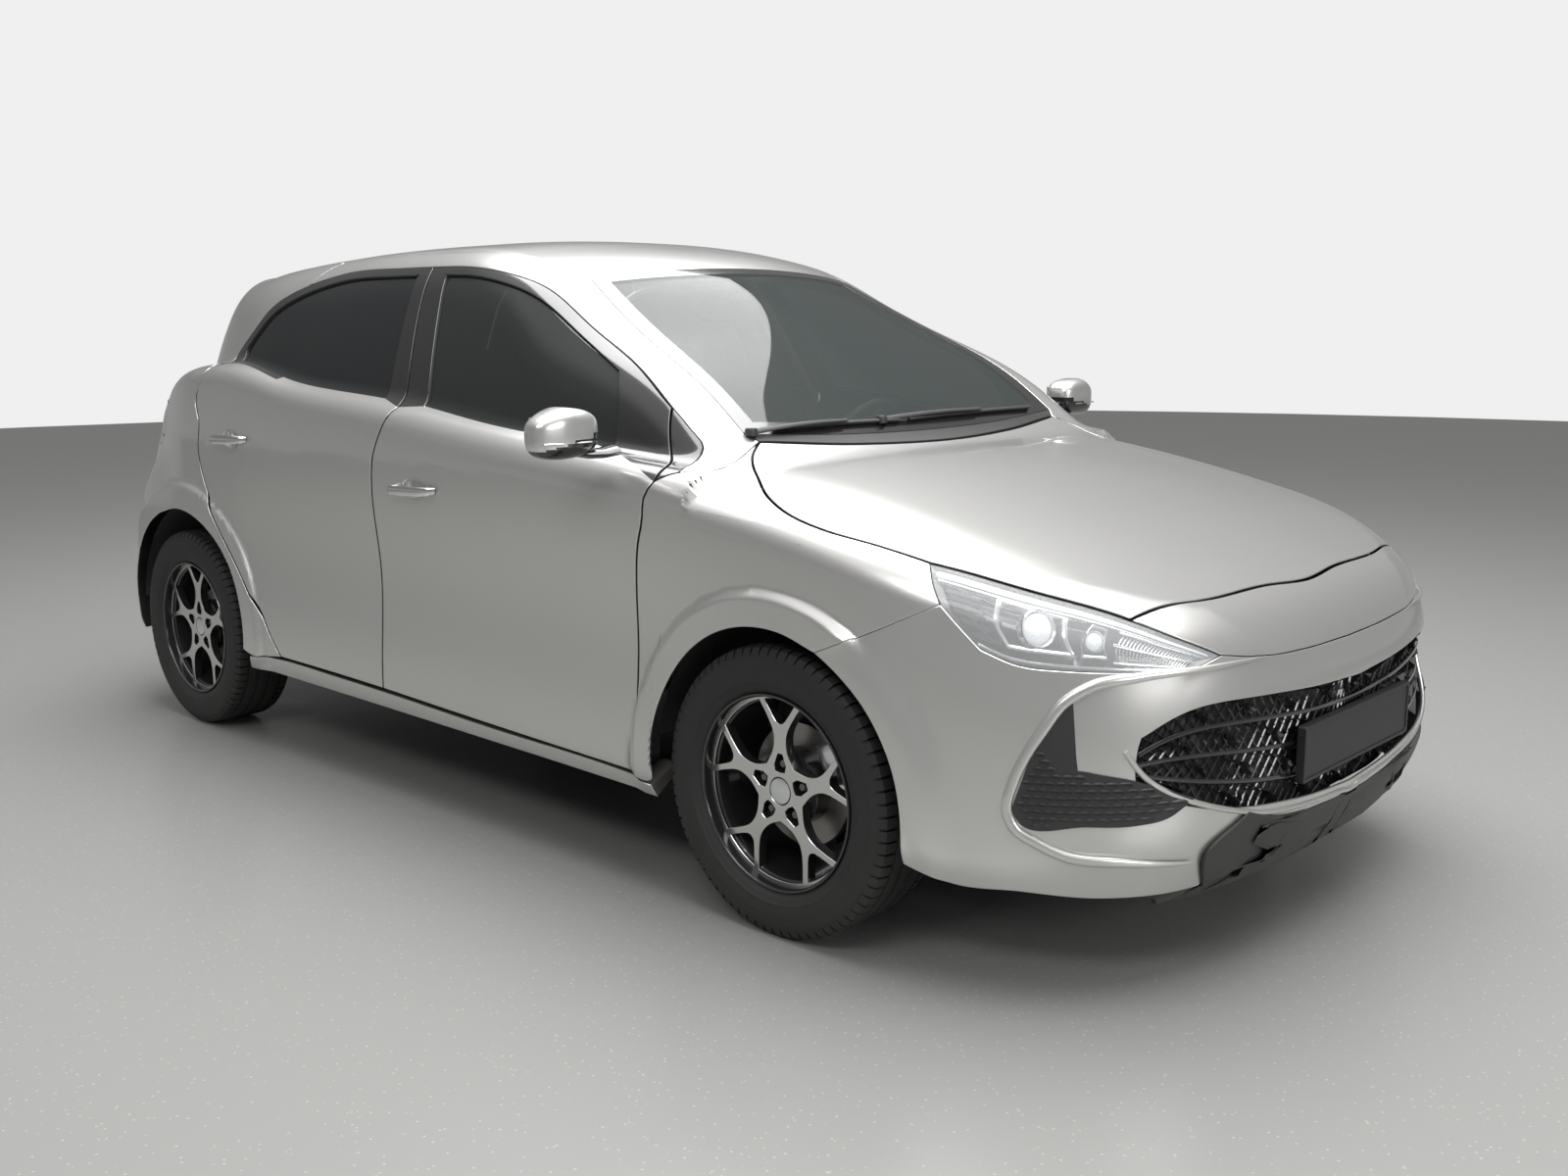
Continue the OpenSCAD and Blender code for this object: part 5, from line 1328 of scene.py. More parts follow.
class RepeatTree:
    """Geometry node trees for what repeats: pieces round a ring, and rods along the edges of a net."""

    @staticmethod
    def ends(tree: bpy.types.NodeTree, geometry: bpy.types.NodeSocket) -> None:
        """Closes a tree with Realize Instances and Set Material."""
        real, dress = tree.nodes.new("GeometryNodeRealizeInstances"), tree.nodes.new("GeometryNodeSetMaterial")
        tree.links.new(geometry, real.inputs[0])
        tree.links.new(real.outputs[0], dress.inputs["Geometry"])
        tree.links.new(tree.nodes["Group Input"].outputs["Finish"], dress.inputs["Material"])
        tree.links.new(dress.outputs[0], tree.nodes["Group Output"].inputs["Geometry"])

    @staticmethod
    def fresh(name: str, numbers: dict[str, str]) -> bpy.types.NodeTree:
        """A tree with a geometry input, numbers, a finish and a geometry output."""
        tree = bpy.data.node_groups.new(name, "GeometryNodeTree")
        tree.interface.new_socket(name="Geometry", in_out="INPUT", socket_type="NodeSocketGeometry")
        for key, kind in numbers.items():
            tree.interface.new_socket(name=key, in_out="INPUT", socket_type=kind)
        tree.interface.new_socket(name="Finish", in_out="INPUT", socket_type="NodeSocketMaterial")
        tree.interface.new_socket(name="Geometry", in_out="OUTPUT", socket_type="NodeSocketGeometry")
        tree.nodes.new("NodeGroupInput")
        tree.nodes.new("NodeGroupOutput")
        return tree

    @classmethod
    def ring(cls) -> bpy.types.NodeTree:
        """Copies of the piece round the Y axis: inputs Count and Start."""
        found = bpy.data.node_groups.get("pieces_round_ring")
        if found:
            return found
        t = cls.fresh("pieces_round_ring", {"Count": "NodeSocketInt", "Start": "NodeSocketFloat"})
        gi, link = t.nodes["Group Input"], t.links.new
        points, index = t.nodes.new("GeometryNodePoints"), t.nodes.new("GeometryNodeInputIndex")
        link(gi.outputs["Count"], points.inputs["Count"])
        share, turn_by, add, pack = (t.nodes.new("ShaderNodeMath") for _ in range(3)), None, None, t.nodes.new("ShaderNodeCombineXYZ")
        share, turn_by, add = share
        share.operation, turn_by.operation, add.operation = "DIVIDE", "MULTIPLY", "ADD"
        link(index.outputs[0], share.inputs[0])
        link(gi.outputs["Count"], share.inputs[1])
        link(share.outputs[0], turn_by.inputs[0])
        turn_by.inputs[1].default_value = 2 * math.pi
        link(turn_by.outputs[0], add.inputs[0])
        link(gi.outputs["Start"], add.inputs[1])
        link(add.outputs[0], pack.inputs["Y"])
        spread = t.nodes.new("GeometryNodeInstanceOnPoints")
        link(points.outputs[0], spread.inputs["Points"])
        link(gi.outputs["Geometry"], spread.inputs["Instance"])
        link(pack.outputs[0], spread.inputs["Rotation"])
        cls.ends(t, spread.outputs[0])
        return t

    @classmethod
    def rods(cls) -> bpy.types.NodeTree:
        """Square rods along the edges of a net: input Width."""
        found = bpy.data.node_groups.get("rods_on_net")
        if found:
            return found
        t = cls.fresh("rods_on_net", {"Width": "NodeSocketFloat"})
        gi, link = t.nodes["Group Input"], t.links.new
        curve, section, body = t.nodes.new("GeometryNodeMeshToCurve"), t.nodes.new("GeometryNodeCurvePrimitiveCircle"), t.nodes.new("GeometryNodeCurveToMesh")
        section.inputs["Resolution"].default_value = 4
        link(gi.outputs["Geometry"], curve.inputs[0])
        link(gi.outputs["Width"], section.inputs["Radius"])
        link(curve.outputs[0], body.inputs["Curve"])
        link(section.outputs[0], body.inputs["Profile Curve"])
        body.inputs["Fill Caps"].default_value = True
        cls.ends(t, body.outputs[0])
        return t

    @staticmethod
    def run(base: bpy.types.Mesh, tree: bpy.types.NodeTree, finish: str, **sizes: float) -> Faces:
        """Runs a tree on a mesh and returns plain faces.

        Args:
            base: the mesh that it repeats or follows.
            tree: the tree.
            finish: finish of the result.
            sizes: the tree's named inputs, with _ for spaces.

        Returns:
            Points and triangles.
        """
        obj = bpy.data.objects.new("repeat", base)
        bpy.context.scene.collection.objects.link(obj)
        mod = obj.modifiers.new("repeat", "NODES")
        mod.node_group = tree
        keys = {i.name: i.identifier for i in tree.interface.items_tree if i.in_out == "INPUT"}
        for key, value in sizes.items():
            mod[keys[key.replace("_", " ")]] = value
        mod[keys["Finish"]] = material(finish)
        bpy.context.view_layer.update()
        done = bpy.data.meshes.new_from_object(obj.evaluated_get(bpy.context.evaluated_depsgraph_get()))
        bpy.data.objects.remove(obj)
        done.calc_loop_triangles()
        v = np.zeros(len(done.vertices) * 3)
        done.vertices.foreach_get("co", v)
        f = np.zeros(len(done.loop_triangles) * 3, np.int32)
        done.loop_triangles.foreach_get("vertices", f)
        bpy.data.meshes.remove(done)
        return v.reshape(-1, 3), f.reshape(-1, 3).astype(int)


def plain_mesh(faces: list[Faces]) -> bpy.types.Mesh:
    """A Blender mesh of loose faces, to feed a tree."""
    mesh = bpy.data.meshes.new("base")
    verts, polys, n = [], [], 0
    for v, f in faces:
        verts += v.tolist()
        polys += (f + n).tolist()
        n += len(v)
    mesh.from_pydata(verts, [], polys)
    return mesh


def net_mesh(lines: Sequence[Array]) -> bpy.types.Mesh:
    """A mesh of edges only, along lines of points."""
    mesh = bpy.data.meshes.new("net")
    verts, edges = [], []
    for c in lines:
        edges += [[len(verts) + i, len(verts) + i + 1] for i in range(len(c) - 1)]
        verts += np.asarray(c).tolist()
    mesh.from_pydata(verts, edges, [])
    return mesh


# ---------------------------------------------------------------- wheels
@dataclass
class Wheel:
    """One wheel: rim with five forked spokes, tyre with tread, brake disc and caliper."""

    x: float
    side: Side
    front: bool
    rim: float = SIZES.rim_radius
    tyre: float = SIZES.tyre_radius
    half_width: float = SIZES.tyre_width / 2
    face: float = 0.064
    blocks: int = 74

    def place(self, v: Array) -> Array:
        """Wheel points (outer side at +Y) put at this wheel's corner."""
        v = v.copy()
        v[..., 1] += SIZES.track / 2
        if self.side is Side.RIGHT:
            v = flip(v)
        return v + np.array([self.x, 0, SIZES.axle_height])

    def put(self, piece: Part, faces: Faces | list[Faces], finish: str, angle: float = 35.0) -> None:
        """Adds faces at this corner, the right way round."""
        for v, f in faces if isinstance(faces, list) else [faces]:
            piece.add(self.place(v), f if self.side is Side.LEFT else f[:, ::-1], finish, angle=angle)

    @staticmethod
    def smooth(points: Sequence[Sequence[float]], cells: int) -> Array:
        """A smooth open curve through 2-D points."""
        p = np.asarray(points, float)
        s = np.concatenate([[0], np.cumsum(np.linalg.norm(np.diff(p, axis=0), axis=1))])
        u = np.linspace(0, s[-1], cells)
        return np.stack([Knots(np.stack([s, p[:, k]], 1))(u) for k in range(2)], -1)

    def outlines(self) -> list[Array]:
        """The spoke face's outlines: rim ring outside, then windows, forks, bolt pockets and the cap's hole."""
        a = np.linspace(0, 2 * math.pi, 160, endpoint=False)
        ring = self.rim - 0.0035
        loops = [np.stack([ring * np.cos(a), ring * np.sin(a)], -1)]
        inner = ring - 0.0068
        stem = self.smooth([[0.0530, 0.0385], [0.066, 0.0300], [0.082, 0.0215], [0.100, 0.0170], [0.116, 0.0168], [0.132, 0.0215], [0.148, 0.0305], [0.166, 0.0425], [0.180, 0.0530]], 18)
        stem = np.concatenate([stem, [[inner * math.cos(math.radians(17.2)), inner * math.sin(math.radians(17.2))]]])
        b = np.radians(np.linspace(17.2, 72 - 17.2, 14))[1:-1]
        rim_arc = np.stack([inner * np.cos(b), inner * np.sin(b)], -1)
        c, s = math.cos(math.radians(72)), math.sin(math.radians(72))
        far = stem[::-1] * np.array([1, -1])
        far = np.stack([far[:, 0] * c - far[:, 1] * s, far[:, 0] * s + far[:, 1] * c], -1)
        window = np.concatenate([stem, rim_arc, far])
        fork = self.smooth([[0.1440, 0.0], [0.1462, 0.0080], [0.156, 0.0180], [0.170, 0.0285], [0.184, 0.0385]], 12)
        b = np.radians(np.linspace(12.6, -12.6, 12))
        fork_arc = np.stack([inner * np.cos(b), inner * np.sin(b)], -1)
        small = np.concatenate([fork, fork_arc, (fork * np.array([1, -1]))[::-1][:-1]])
        pocket = np.array([[0.0415, 0.0135], [0.0560, 0.0165], [0.0660, 0.0125], [0.0790, 0.0075], [0.0800, 0.0], [0.0790, -0.0075], [0.0660, -0.0125], [0.0560, -0.0165], [0.0415, -0.0135], [0.0395, 0.0]])
        for k in range(5):
            t = math.radians(72 * k)
            r = np.array([[math.cos(t), math.sin(t)], [-math.sin(t), math.cos(t)]])
            for q in (window, small, pocket):
                area = (q[:, 0] * np.roll(q[:, 1], -1) - np.roll(q[:, 0], -1) * q[:, 1]).sum()
                loops.append((q if area < 0 else q[::-1]) @ r)
        a = a[::-1][::4]
        loops.append(np.stack([0.0300 * np.cos(a), 0.0300 * np.sin(a)], -1))
        return loops

    @staticmethod
    def stand(faces: Faces) -> Faces:
        """Turns a plate that faces +Z so that it faces +Y."""
        v, f = faces
        return np.stack([v[:, 1], v[:, 2], v[:, 0]], -1), f

    def build_rim(self, body: str, node: str) -> None:
        """Rim, spokes, cap and bolts."""
        w, r = self.half_width, self.rim
        piece = Part(f"{node}_detail")
        barrel = [[r - 0.012, -w * 0.86], [r + 0.0007, -w * 0.86], [r + 0.0007, -w * 0.80], [r - 0.002, -w * 0.78], [r - 0.008, -w * 0.5], [r - 0.008, w * 0.5], [r - 0.002, w * 0.80], [r + 0.0007, w * 0.80], [r + 0.0045, w * 0.88], [r + 0.0030, w * 0.905], [r - 0.001, w * 0.90], [r - 0.0035, w * 0.86], [r - 0.0040, self.face - 0.002], [r - 0.014, self.face - 0.010], [r - 0.016, w * 0.2], [r - 0.018, -w * 0.5], [r - 0.012, -w * 0.86]]
        v, f = lathe(barrel, 120)
        self.put(piece, (v, f[:, ::-1]), "alloy_black")
        top, walls = plate(self.outlines(), self.face, self.face - 0.024, 0.0009)
        self.put(piece, self.stand(top), "alloy_face", 20)
        self.put(piece, self.stand(walls), "alloy_black")
        hub = [[0.0001, 0.040], [0.052, 0.040], [0.082, 0.036], [0.082, -0.024], [0.0001, -0.024]]
        v, f = lathe(hub, 60)
        self.put(piece, (v, f[:, ::-1]), "alloy_black")
        cap = [[0.0001, self.face + 0.0012], [0.020, self.face + 0.0009], [0.0272, self.face - 0.0004], [0.0288, self.face - 0.004], [0.0288, self.face - 0.02]]
        v, f = lathe(cap, 60)
        self.put(piece, (v, f[:, ::-1]), "lamp_silver")
        a = np.radians(np.arange(0, 360, 60))
        bolt = np.stack([0.0085 * np.cos(a) + 0.057, 0.0085 * np.sin(a)], -1)
        head, side = plate([bolt], 0.056, 0.038, 0.0012)
        ring = RepeatTree.run(plain_mesh([self.stand(head), self.stand(side)]), RepeatTree.ring(), "alloy_black", Count=5, Start=0.0)
        self.put(piece, ring, "engine_grey", 30)
        piece.make(body, "alloy", [node])

    def build_tyre(self, body: str, node: str) -> None:
        """Carcass with grooves, rows of shoulder blocks and sidewall ribs."""
        w, r, q = self.half_width, self.tyre, self.rim
        piece = Part(f"{node}_detail")
        side = [[q + 0.001, 0.80 * w], [q + 0.006, 0.86 * w], [q + 0.012, 0.90 * w], [q + 0.020, 0.945 * w], [q + 0.0225, 0.942 * w], [q + 0.030, 0.985 * w], [q + 0.0325, 0.978 * w], [q + 0.045, 1.0 * w], [q + 0.058, 0.998 * w], [q + 0.0595, 0.990 * w], [q + 0.064, 0.990 * w], [q + 0.066, 0.996 * w], [r - 0.026, 0.985 * w], [r - 0.020, 0.955 * w], [r - 0.0095, 0.87 * w]]
        tread = [[r - 0.0075, 0.80 * w], [r - 0.0070, 0.62 * w]]
        for low, high in ((0.56, 0.24), (0.16, -0.16)):
            tread += [[r - 0.0070, low * w + 0.004 * 0], [r - 0.0006, low * w - 0.002], [r, low * w - 0.004], [r, high * w + 0.004], [r - 0.0006, high * w + 0.002], [r - 0.0070, high * w]]
        half = side + tread
        full = half + [[a, -b] for a, b in tread[:8][::-1]] + [[a, -b] for a, b in side[::-1]] + [[q + 0.001, 0.80 * w]]
        v, f = lathe(full, 144)
        self.put(piece, (v, f[:, ::-1]), "rubber", 40)
        gap = 2 * math.pi / self.blocks * 0.80
        rows = []
        for y in (1, -1):
            section = np.array([[r - 0.0085, 0.60 * w], [r - 0.0005, 0.61 * w], [r, 0.66 * w], [r - 0.0012, 0.80 * w], [r - 0.0045, 0.885 * w], [r - 0.0120, 0.940 * w], [r - 0.021, 0.968 * w], [r - 0.024, 0.950 * w], [r - 0.010, 0.80 * w]])
            rings = []
            for a in np.linspace(-gap / 2, gap / 2, 3):
                lean = a + y * 0.012
                rings.append(np.stack([section[:, 0] * math.cos(lean), section[:, 1] * y, section[:, 0] * math.sin(lean)], -1))
            rows += outward(loft(np.array(rings)))
        ring = RepeatTree.run(plain_mesh(rows), RepeatTree.ring(), "rubber", Count=self.blocks, Start=0.0)
        self.put(piece, ring, "rubber", 30)
        piece.make(body, "tyre", [node])

    def build(self) -> None:
        """Makes the wheel on its body and the brake on its carrier."""
        end, name = ("front" if self.front else "rear"), self.side.name.lower()
        body = f"wheel_{end}_{name}"
        self.build_rim(body, body)
        self.build_tyre(body, f"tyre_{end}_{name}")
        brake = Part(f"brake_{end}_{name}")
        r = 0.132 if self.front else 0.118
        v, f = lathe([[0.046, 0.010], [0.070, 0.010], [0.072, -0.004], [r, -0.004], [r, -0.022], [0.07, -0.022], [0.046, -0.022], [0.046, 0.010]], 72)
        self.put(brake, (v, f[:, ::-1]), "iron")
        v, f = pillow([-0.060, -0.045, r - 0.045], [0.060, 0.018, r + 0.022], 0.012, 0.002, 8)
        self.put(brake, (turn(v, "Y", 62 if self.front else -70), f), "lamp_silver")
        brake.make(f"knuckle_{name}" if self.front else "body", "iron")


# ---------------------------------------------------------------- front end
@dataclass
class FrontEnd:
    """Bumper, nose panel, headlamps, grille, side intakes, splitter and plate board."""

    skin: float = SIZES.skin
    s: float = SIZES.seam
    g: float = SIZES.shut
    blade_rows: int = 4
    blades_a_side: int = 5

    MOUTH_LOW = [[1.911, 0.671, 0.440], [1.947, 0.625, 0.408], [1.99, 0.542, 0.372], [2.023, 0.433, 0.344], [2.041, 0.285, 0.318], [2.046, 0.1, 0.303], [2.047, 0, 0.301]]
    MOUTH_TOP = [[1.917, 0.661, 0.494], [1.934, 0.633, 0.540], [1.954, 0.598, 0.564], [2.02, 0.417, 0.582], [2.049, 0.204, 0.566], [2.054, 0, 0.560]]

    def grids(self) -> tuple[Array, Array]:
        """The bumper's grid and the mouth's grid."""
        n, k, m = LINES, LINES.BUMPER_SIDE, LINES.BUMPER_MOUTH
        xf, rf = SIZES.front_axle, SIZES.arch_front
        side = FORM.curve([[1.542, 0.245], [xf + rf, 0.31]] + ShutLines.ring(xf, rf, 20, 62, 2) + [[1.338, 0.634]], 8)
        foot = FORM.curve([[1.542, 0.245], [1.62, 0.215], [1.75, 0.78, 0.205], [1.86, 0.66, 0.200], [1.955, 0.47, 0.205]], 16)
        low = across(join(foot, n.splitter_top))
        top = across(join(n.wing_low, n.lamp_end, n.lamp_low, n.lamp_nose, n.nose_low))
        sides = [part(side, 0, 3), part(side, 3, 6), part(side, 6, 8)]

        def row(edge: Array, mouth: list[list[float]]) -> Array:
            """One line across, over the mouth's edge."""
            join_in = FORM.curve([edge, mouth[0]], k)
            return join(flip(join_in), FORM.curve(Lids.both(mouth), m), join_in[::-1])

        end = FORM.curve([self.MOUTH_LOW[0], self.MOUTH_TOP[0]], 3)
        return ShutLines.banded(low, row(sides[1][0], self.MOUTH_LOW), row(sides[2][0], self.MOUTH_TOP), top, [flip(c) for c in sides], sides, flip(end), end, k, m)

    @staticmethod
    def at(grid: Array, u: Array, v: Array, lift: Array | float = 0.0) -> Array:
        """Points on a grid at shares u along it and v up it, lifted off it.

        Args:
            grid: the grid.
            u: shares along.
            v: shares up.
            lift: distance outwards.

        Returns:
            The points.
        """
        m, n = grid.shape[0] - 1, grid.shape[1] - 1
        u, v = np.clip(np.asarray(u, float), 0, 1) * n, np.clip(np.asarray(v, float), 0, 1) * m
        i, j = np.minimum(u.astype(int), n - 1), np.minimum(v.astype(int), m - 1)
        a, b = (u - i)[..., None], (v - j)[..., None]
        p = (1 - a) * (1 - b) * grid[j, i] + a * (1 - b) * grid[j, i + 1] + (1 - a) * b * grid[j + 1, i] + a * b * grid[j + 1, i + 1]
        return p + FORM.normal(p) * np.asarray(lift, float)[..., None]

    def grille(self, mouth: Array) -> None:
        """Back plate, diamond mesh, long bars and rows of wing-shaped blades."""
        a = inset(relax(mouth, 160, 2.0), [0.0008, 0.0008, 0.0010, 0.0008])
        back = Part("grille_back")
        shell(back, a - FORM.normal(a) * 0.030, a - FORM.normal(a) * 0.036, "satin_black", "satin_black", radius=0.0004)
        lines = []
        for k in range(-9, 64):
            for lean in (1, -1):
                v = np.linspace(0.03, 0.97, 22)
                u = k / 54 + lean * 0.11 * (v - 0.5)
                keep = (u > 0.015) & (u < 0.985)
                if keep.sum() > 2:
                    lines.append(self.at(a, u[keep], v[keep], -0.024))
        back.add(*RepeatTree.run(net_mesh(lines), RepeatTree.rods(), "gloss_black", Width=0.0022), "gloss_black", angle=30)
        rows = self.blade_rows
        for r in range(1, rows):
            v0 = r / rows
            u = np.linspace(0.012, 0.988, 90)
            bar = self.at(a, u, np.full(90, v0 + 0.012), -0.010)
            for part_ in sweep(bar, (0.0016, 0.0045), FORM.normal(bar), 6):
                back.add(self.behind_plate(part_[0]), part_[1], "gloss_black", angle=30)
        for r in range(rows):
            for k in range(self.blades_a_side):
                for side in (0, 1):
                    for piece in self.blade(a, r, k, side):
                        back.add(self.behind_plate(piece[0]), piece[1], "gloss_black", angle=28)
        back.make("body", "gloss_black", ["grille"])

    @staticmethod
    def behind_plate(v: Array) -> Array:
        """Points kept behind the plate board."""
        v = np.array(v)
        over = np.clip((0.31 - np.abs(v[:, 1])) / 0.03, 0, 1) * np.maximum(0, v[:, 0] - 2.0400)
        v[:, 0] -= over
        return v

    def blade(self, a: Array, r: int, k: int, side: int) -> list[Faces]:
        """One wing-shaped blade: thin at its outer tip, deep and hooked at its inner end."""
        step_u = 0.088
        start = 0.015 + k * step_u + 0.030 * (r % 2)
        t = np.linspace(0, 1, 12)
        u = start + t * step_u * 1.02
        top = (r + 0.86 - 0.30 * t**2.2) / self.blade_rows
        low = (r + 0.84 - 0.36 * t**1.4 - 0.36 * step(0.72, 1.0, t) * t) / self.blade_rows
        mid = 0.62 * top + 0.38 * low
        if side:
            u = 1 - u
        rings = np.stack([self.at(a, u, low, -0.022), self.at(a, u, mid, -0.020 + 0.014 * t**0.7), self.at(a, u, top, -0.021)], 1)
        return outward(loft(rings))

    def lamp(self) -> None:
        """Headlamps: black housing, bright bar on top, louvres, round projector, ribbed tip and clear lens."""
        n = LINES
        grid = FORM.onto(coons(n.lamp_low, join(n.lamp_top, n.lamp_inner), join(n.lamp_end[::-1], n.lamp_back), FORM.curve([[1.964, 0.543, 0.637], [1.981, 0.472, 0.656]], 6)))
        a = inset(grid, [self.s * 3, self.s * 3, self.s * 3, self.g])
        lamp = Part("headlamps_detail")
        nn = FORM.normal(a)
        shell(lamp, a - nn * 0.0015, a - nn * 0.0040, "clear_lens", "clear_lens", radius=0.0006)
        u, v = np.meshgrid(np.linspace(0.004, 0.996, 70), np.linspace(0.01, 0.99, 26))
        bowl = 0.036 * np.minimum(1, np.minimum(np.minimum(u, 1 - u) * 9, np.minimum(v, 1 - v) * 5)) * (1 - 0.4 * u)
        pan = self.at(a, u, v, -0.006 - bowl)
        lamp.add(pan.reshape(-1, 3), grid_faces(26, 70), "gloss_black")
        bar_u = np.linspace(0.02, 0.97, 60)
        for v0, size, finish in ((0.90, 0.0065, "lamp_white"), (0.80, 0.0022, "lamp_silver")):
            c = self.at(a, bar_u, np.full(60, v0), -0.011)
            for q in sweep(c, (size * 0.7, size), FORM.normal(c), 8, 1 - 0.75 * np.linspace(0, 1, 60) ** 2):
                lamp.add(*q, finish)
        rim_u = np.linspace(0.01, 0.99, 60)
        c = self.at(a, rim_u, np.full(60, 0.045), -0.008)
        for q in sweep(c, (0.002, 0.003), FORM.normal(c), 8):
            lamp.add(*q, "lamp_silver")
        for k in range(6):
            v0 = 0.16 + 0.105 * k
            w = np.linspace(0.045, 0.165, 14)
            c = self.at(a, w, np.full(14, v0), -0.016)
            for q in sweep(c, (0.0012, 0.0050), FORM.normal(c), 6):
                lamp.add(*q, "satin_black")
        self.housing(lamp, a, 0.19, 0.47, 0.14, 0.74, "lamp_silver")
        self.housing(lamp, a, 0.50, 0.60, 0.16, 0.72, "lamp_silver")
        centre = self.at(a, np.array([0.36]), np.array([0.45]), -0.012)[0]
        axis = unit(FORM.normal(centre[None])[0] + np.array([0.9, 0, 0]))
        self.projector(lamp, centre, axis, 0.030)
        self.projector(lamp, self.at(a, np.array([0.555]), np.array([0.42]), -0.012)[0], axis, 0.017)
        for k in range(22):
            u0 = 0.64 + 0.0145 * k
            w = np.linspace(0.16, 0.70 - 0.002 * k, 10)
            c = self.at(a, np.full(10, u0), w, -0.014)
            for q in sweep(c, (0.0030, 0.0018), FORM.normal(c), 6):
                lamp.add(*q, "lamp_silver")
        for v0 in (0.14, 0.43, 0.73):
            w = np.linspace(0.62, 0.965, 24)
            c = self.at(a, w, np.full(24, v0), -0.010)
            for q in sweep(c, (0.0014, 0.0030), FORM.normal(c), 6, 1 - 0.5 * np.linspace(0, 1, 24)):
                lamp.add(*q, "lamp_silver")
        lamp.mirror().make("body", "lamp", ["headlamps"])

    def housing(self, lamp: Part, a: Array, u0: float, u1: float, v0: float, v1: float, finish: str) -> None:
        """A stepped bright frame round a lamp opening."""
        corner_u = np.array([u0, u1, u1 - 0.02, u0 + 0.03])
        corner_v = np.array([v0, v0 + 0.02, v1, v1 + 0.03])
        loop_u, loop_v = [], []
        for k in range(4):
            s = np.linspace(0, 1, 9)[:-1]
            loop_u.append(corner_u[k] + (corner_u[(k + 1) % 4] - corner_u[k]) * s)
            loop_v.append(corner_v[k] + (corner_v[(k + 1) % 4] - corner_v[k]) * s)
        u, v = np.concatenate(loop_u), np.concatenate(loop_v)
        cu, cv = u.mean(), v.mean()
        rings = []
        for shrink, lift in ((1.0, -0.026), (1.0, -0.0095), (0.93, -0.0085), (0.86, -0.0105), (0.80, -0.030)):
            rings.append(self.at(a, cu + (u - cu) * shrink, cv + (v - cv) * shrink, lift))
        g = np.array(rings)
        f = grid_faces(len(rings), len(u), close_cols=True)
        p = g.reshape(-1, 3)
        q = p[f]
        facing = (np.cross(q[:, 2] - q[:, 0], q[:, 3] - q[:, 1]) * FORM.normal(q.mean(1))).sum()
        lamp.add(p, f if facing > 0 else f[:, ::-1], finish, angle=30)

    @staticmethod
    def projector(lamp: Part, centre: Array, axis: Array, r: float) -> None:
        """A round lens in a bright ring, looking along an axis."""
        side = unit(np.cross(axis, [0, 0, 1.0]))
        up = np.cross(side, axis)
        for profile, finish in (([[r * 1.22, -0.016], [r * 1.22, 0.0], [r * 1.16, 0.003], [r * 1.04, 0.0], [r * 1.0, -0.014]], "lamp_silver"), ([[r * 1.02, -0.010], [r * 0.97, -0.003], [r * 0.80, 0.004], [r * 0.5, 0.009], [0.0001, 0.0105]], "lamp_white")):
            v, f = lathe(profile, 40)
            p = centre + v[:, [0]] * side + v[:, [1]] * axis + v[:, [2]] * up
            lamp.add(p, f[:, ::-1], finish)

    INTAKE_TOP = [[1.745, 0.801, 0.384], [1.757, 0.793, 0.428], [1.773, 0.782, 0.485], [1.795, 0.765, 0.535], [1.828, 0.733, 0.597]]
    INTAKE_IN = [[1.828, 0.733, 0.597], [1.806, 0.757, 0.547], [1.802, 0.763, 0.510], [1.810, 0.760, 0.477], [1.860, 0.722, 0.461], [1.915, 0.666, 0.445], [1.953, 0.614, 0.425], [1.984, 0.558, 0.401]]
    INTAKE_LOW = [[1.745, 0.801, 0.384], [1.760, 0.794, 0.360], [1.859, 0.726, 0.358], [1.922, 0.659, 0.358], [1.958, 0.606, 0.368], [1.984, 0.558, 0.401]]
    RIDGE = [[2.014, 0.356, 0.639], [1.97, 0.528, 0.637], [1.904, 0.647, 0.631], [1.849, 0.712, 0.616], [1.818, 0.743, 0.589], [1.788, 0.770, 0.534], [1.764, 0.788, 0.484], [1.747, 0.800, 0.434], [1.738, 0.805, 0.382], [1.752, 0.798, 0.348], [1.788, 0.776, 0.322], [1.826, 0.747, 0.300], [1.899, 0.674, 0.285], [1.973, 0.539, 0.268]]
    LIP = [[1.906, 0.675, 0.500], [1.908, 0.673, 0.468], [1.930, 0.648, 0.436], [1.957, 0.608, 0.414], [1.998, 0.525, 0.378], [2.028, 0.420, 0.348], [2.046, 0.285, 0.318], [2.051, 0.1, 0.302], [2.052, 0, 0.300]]

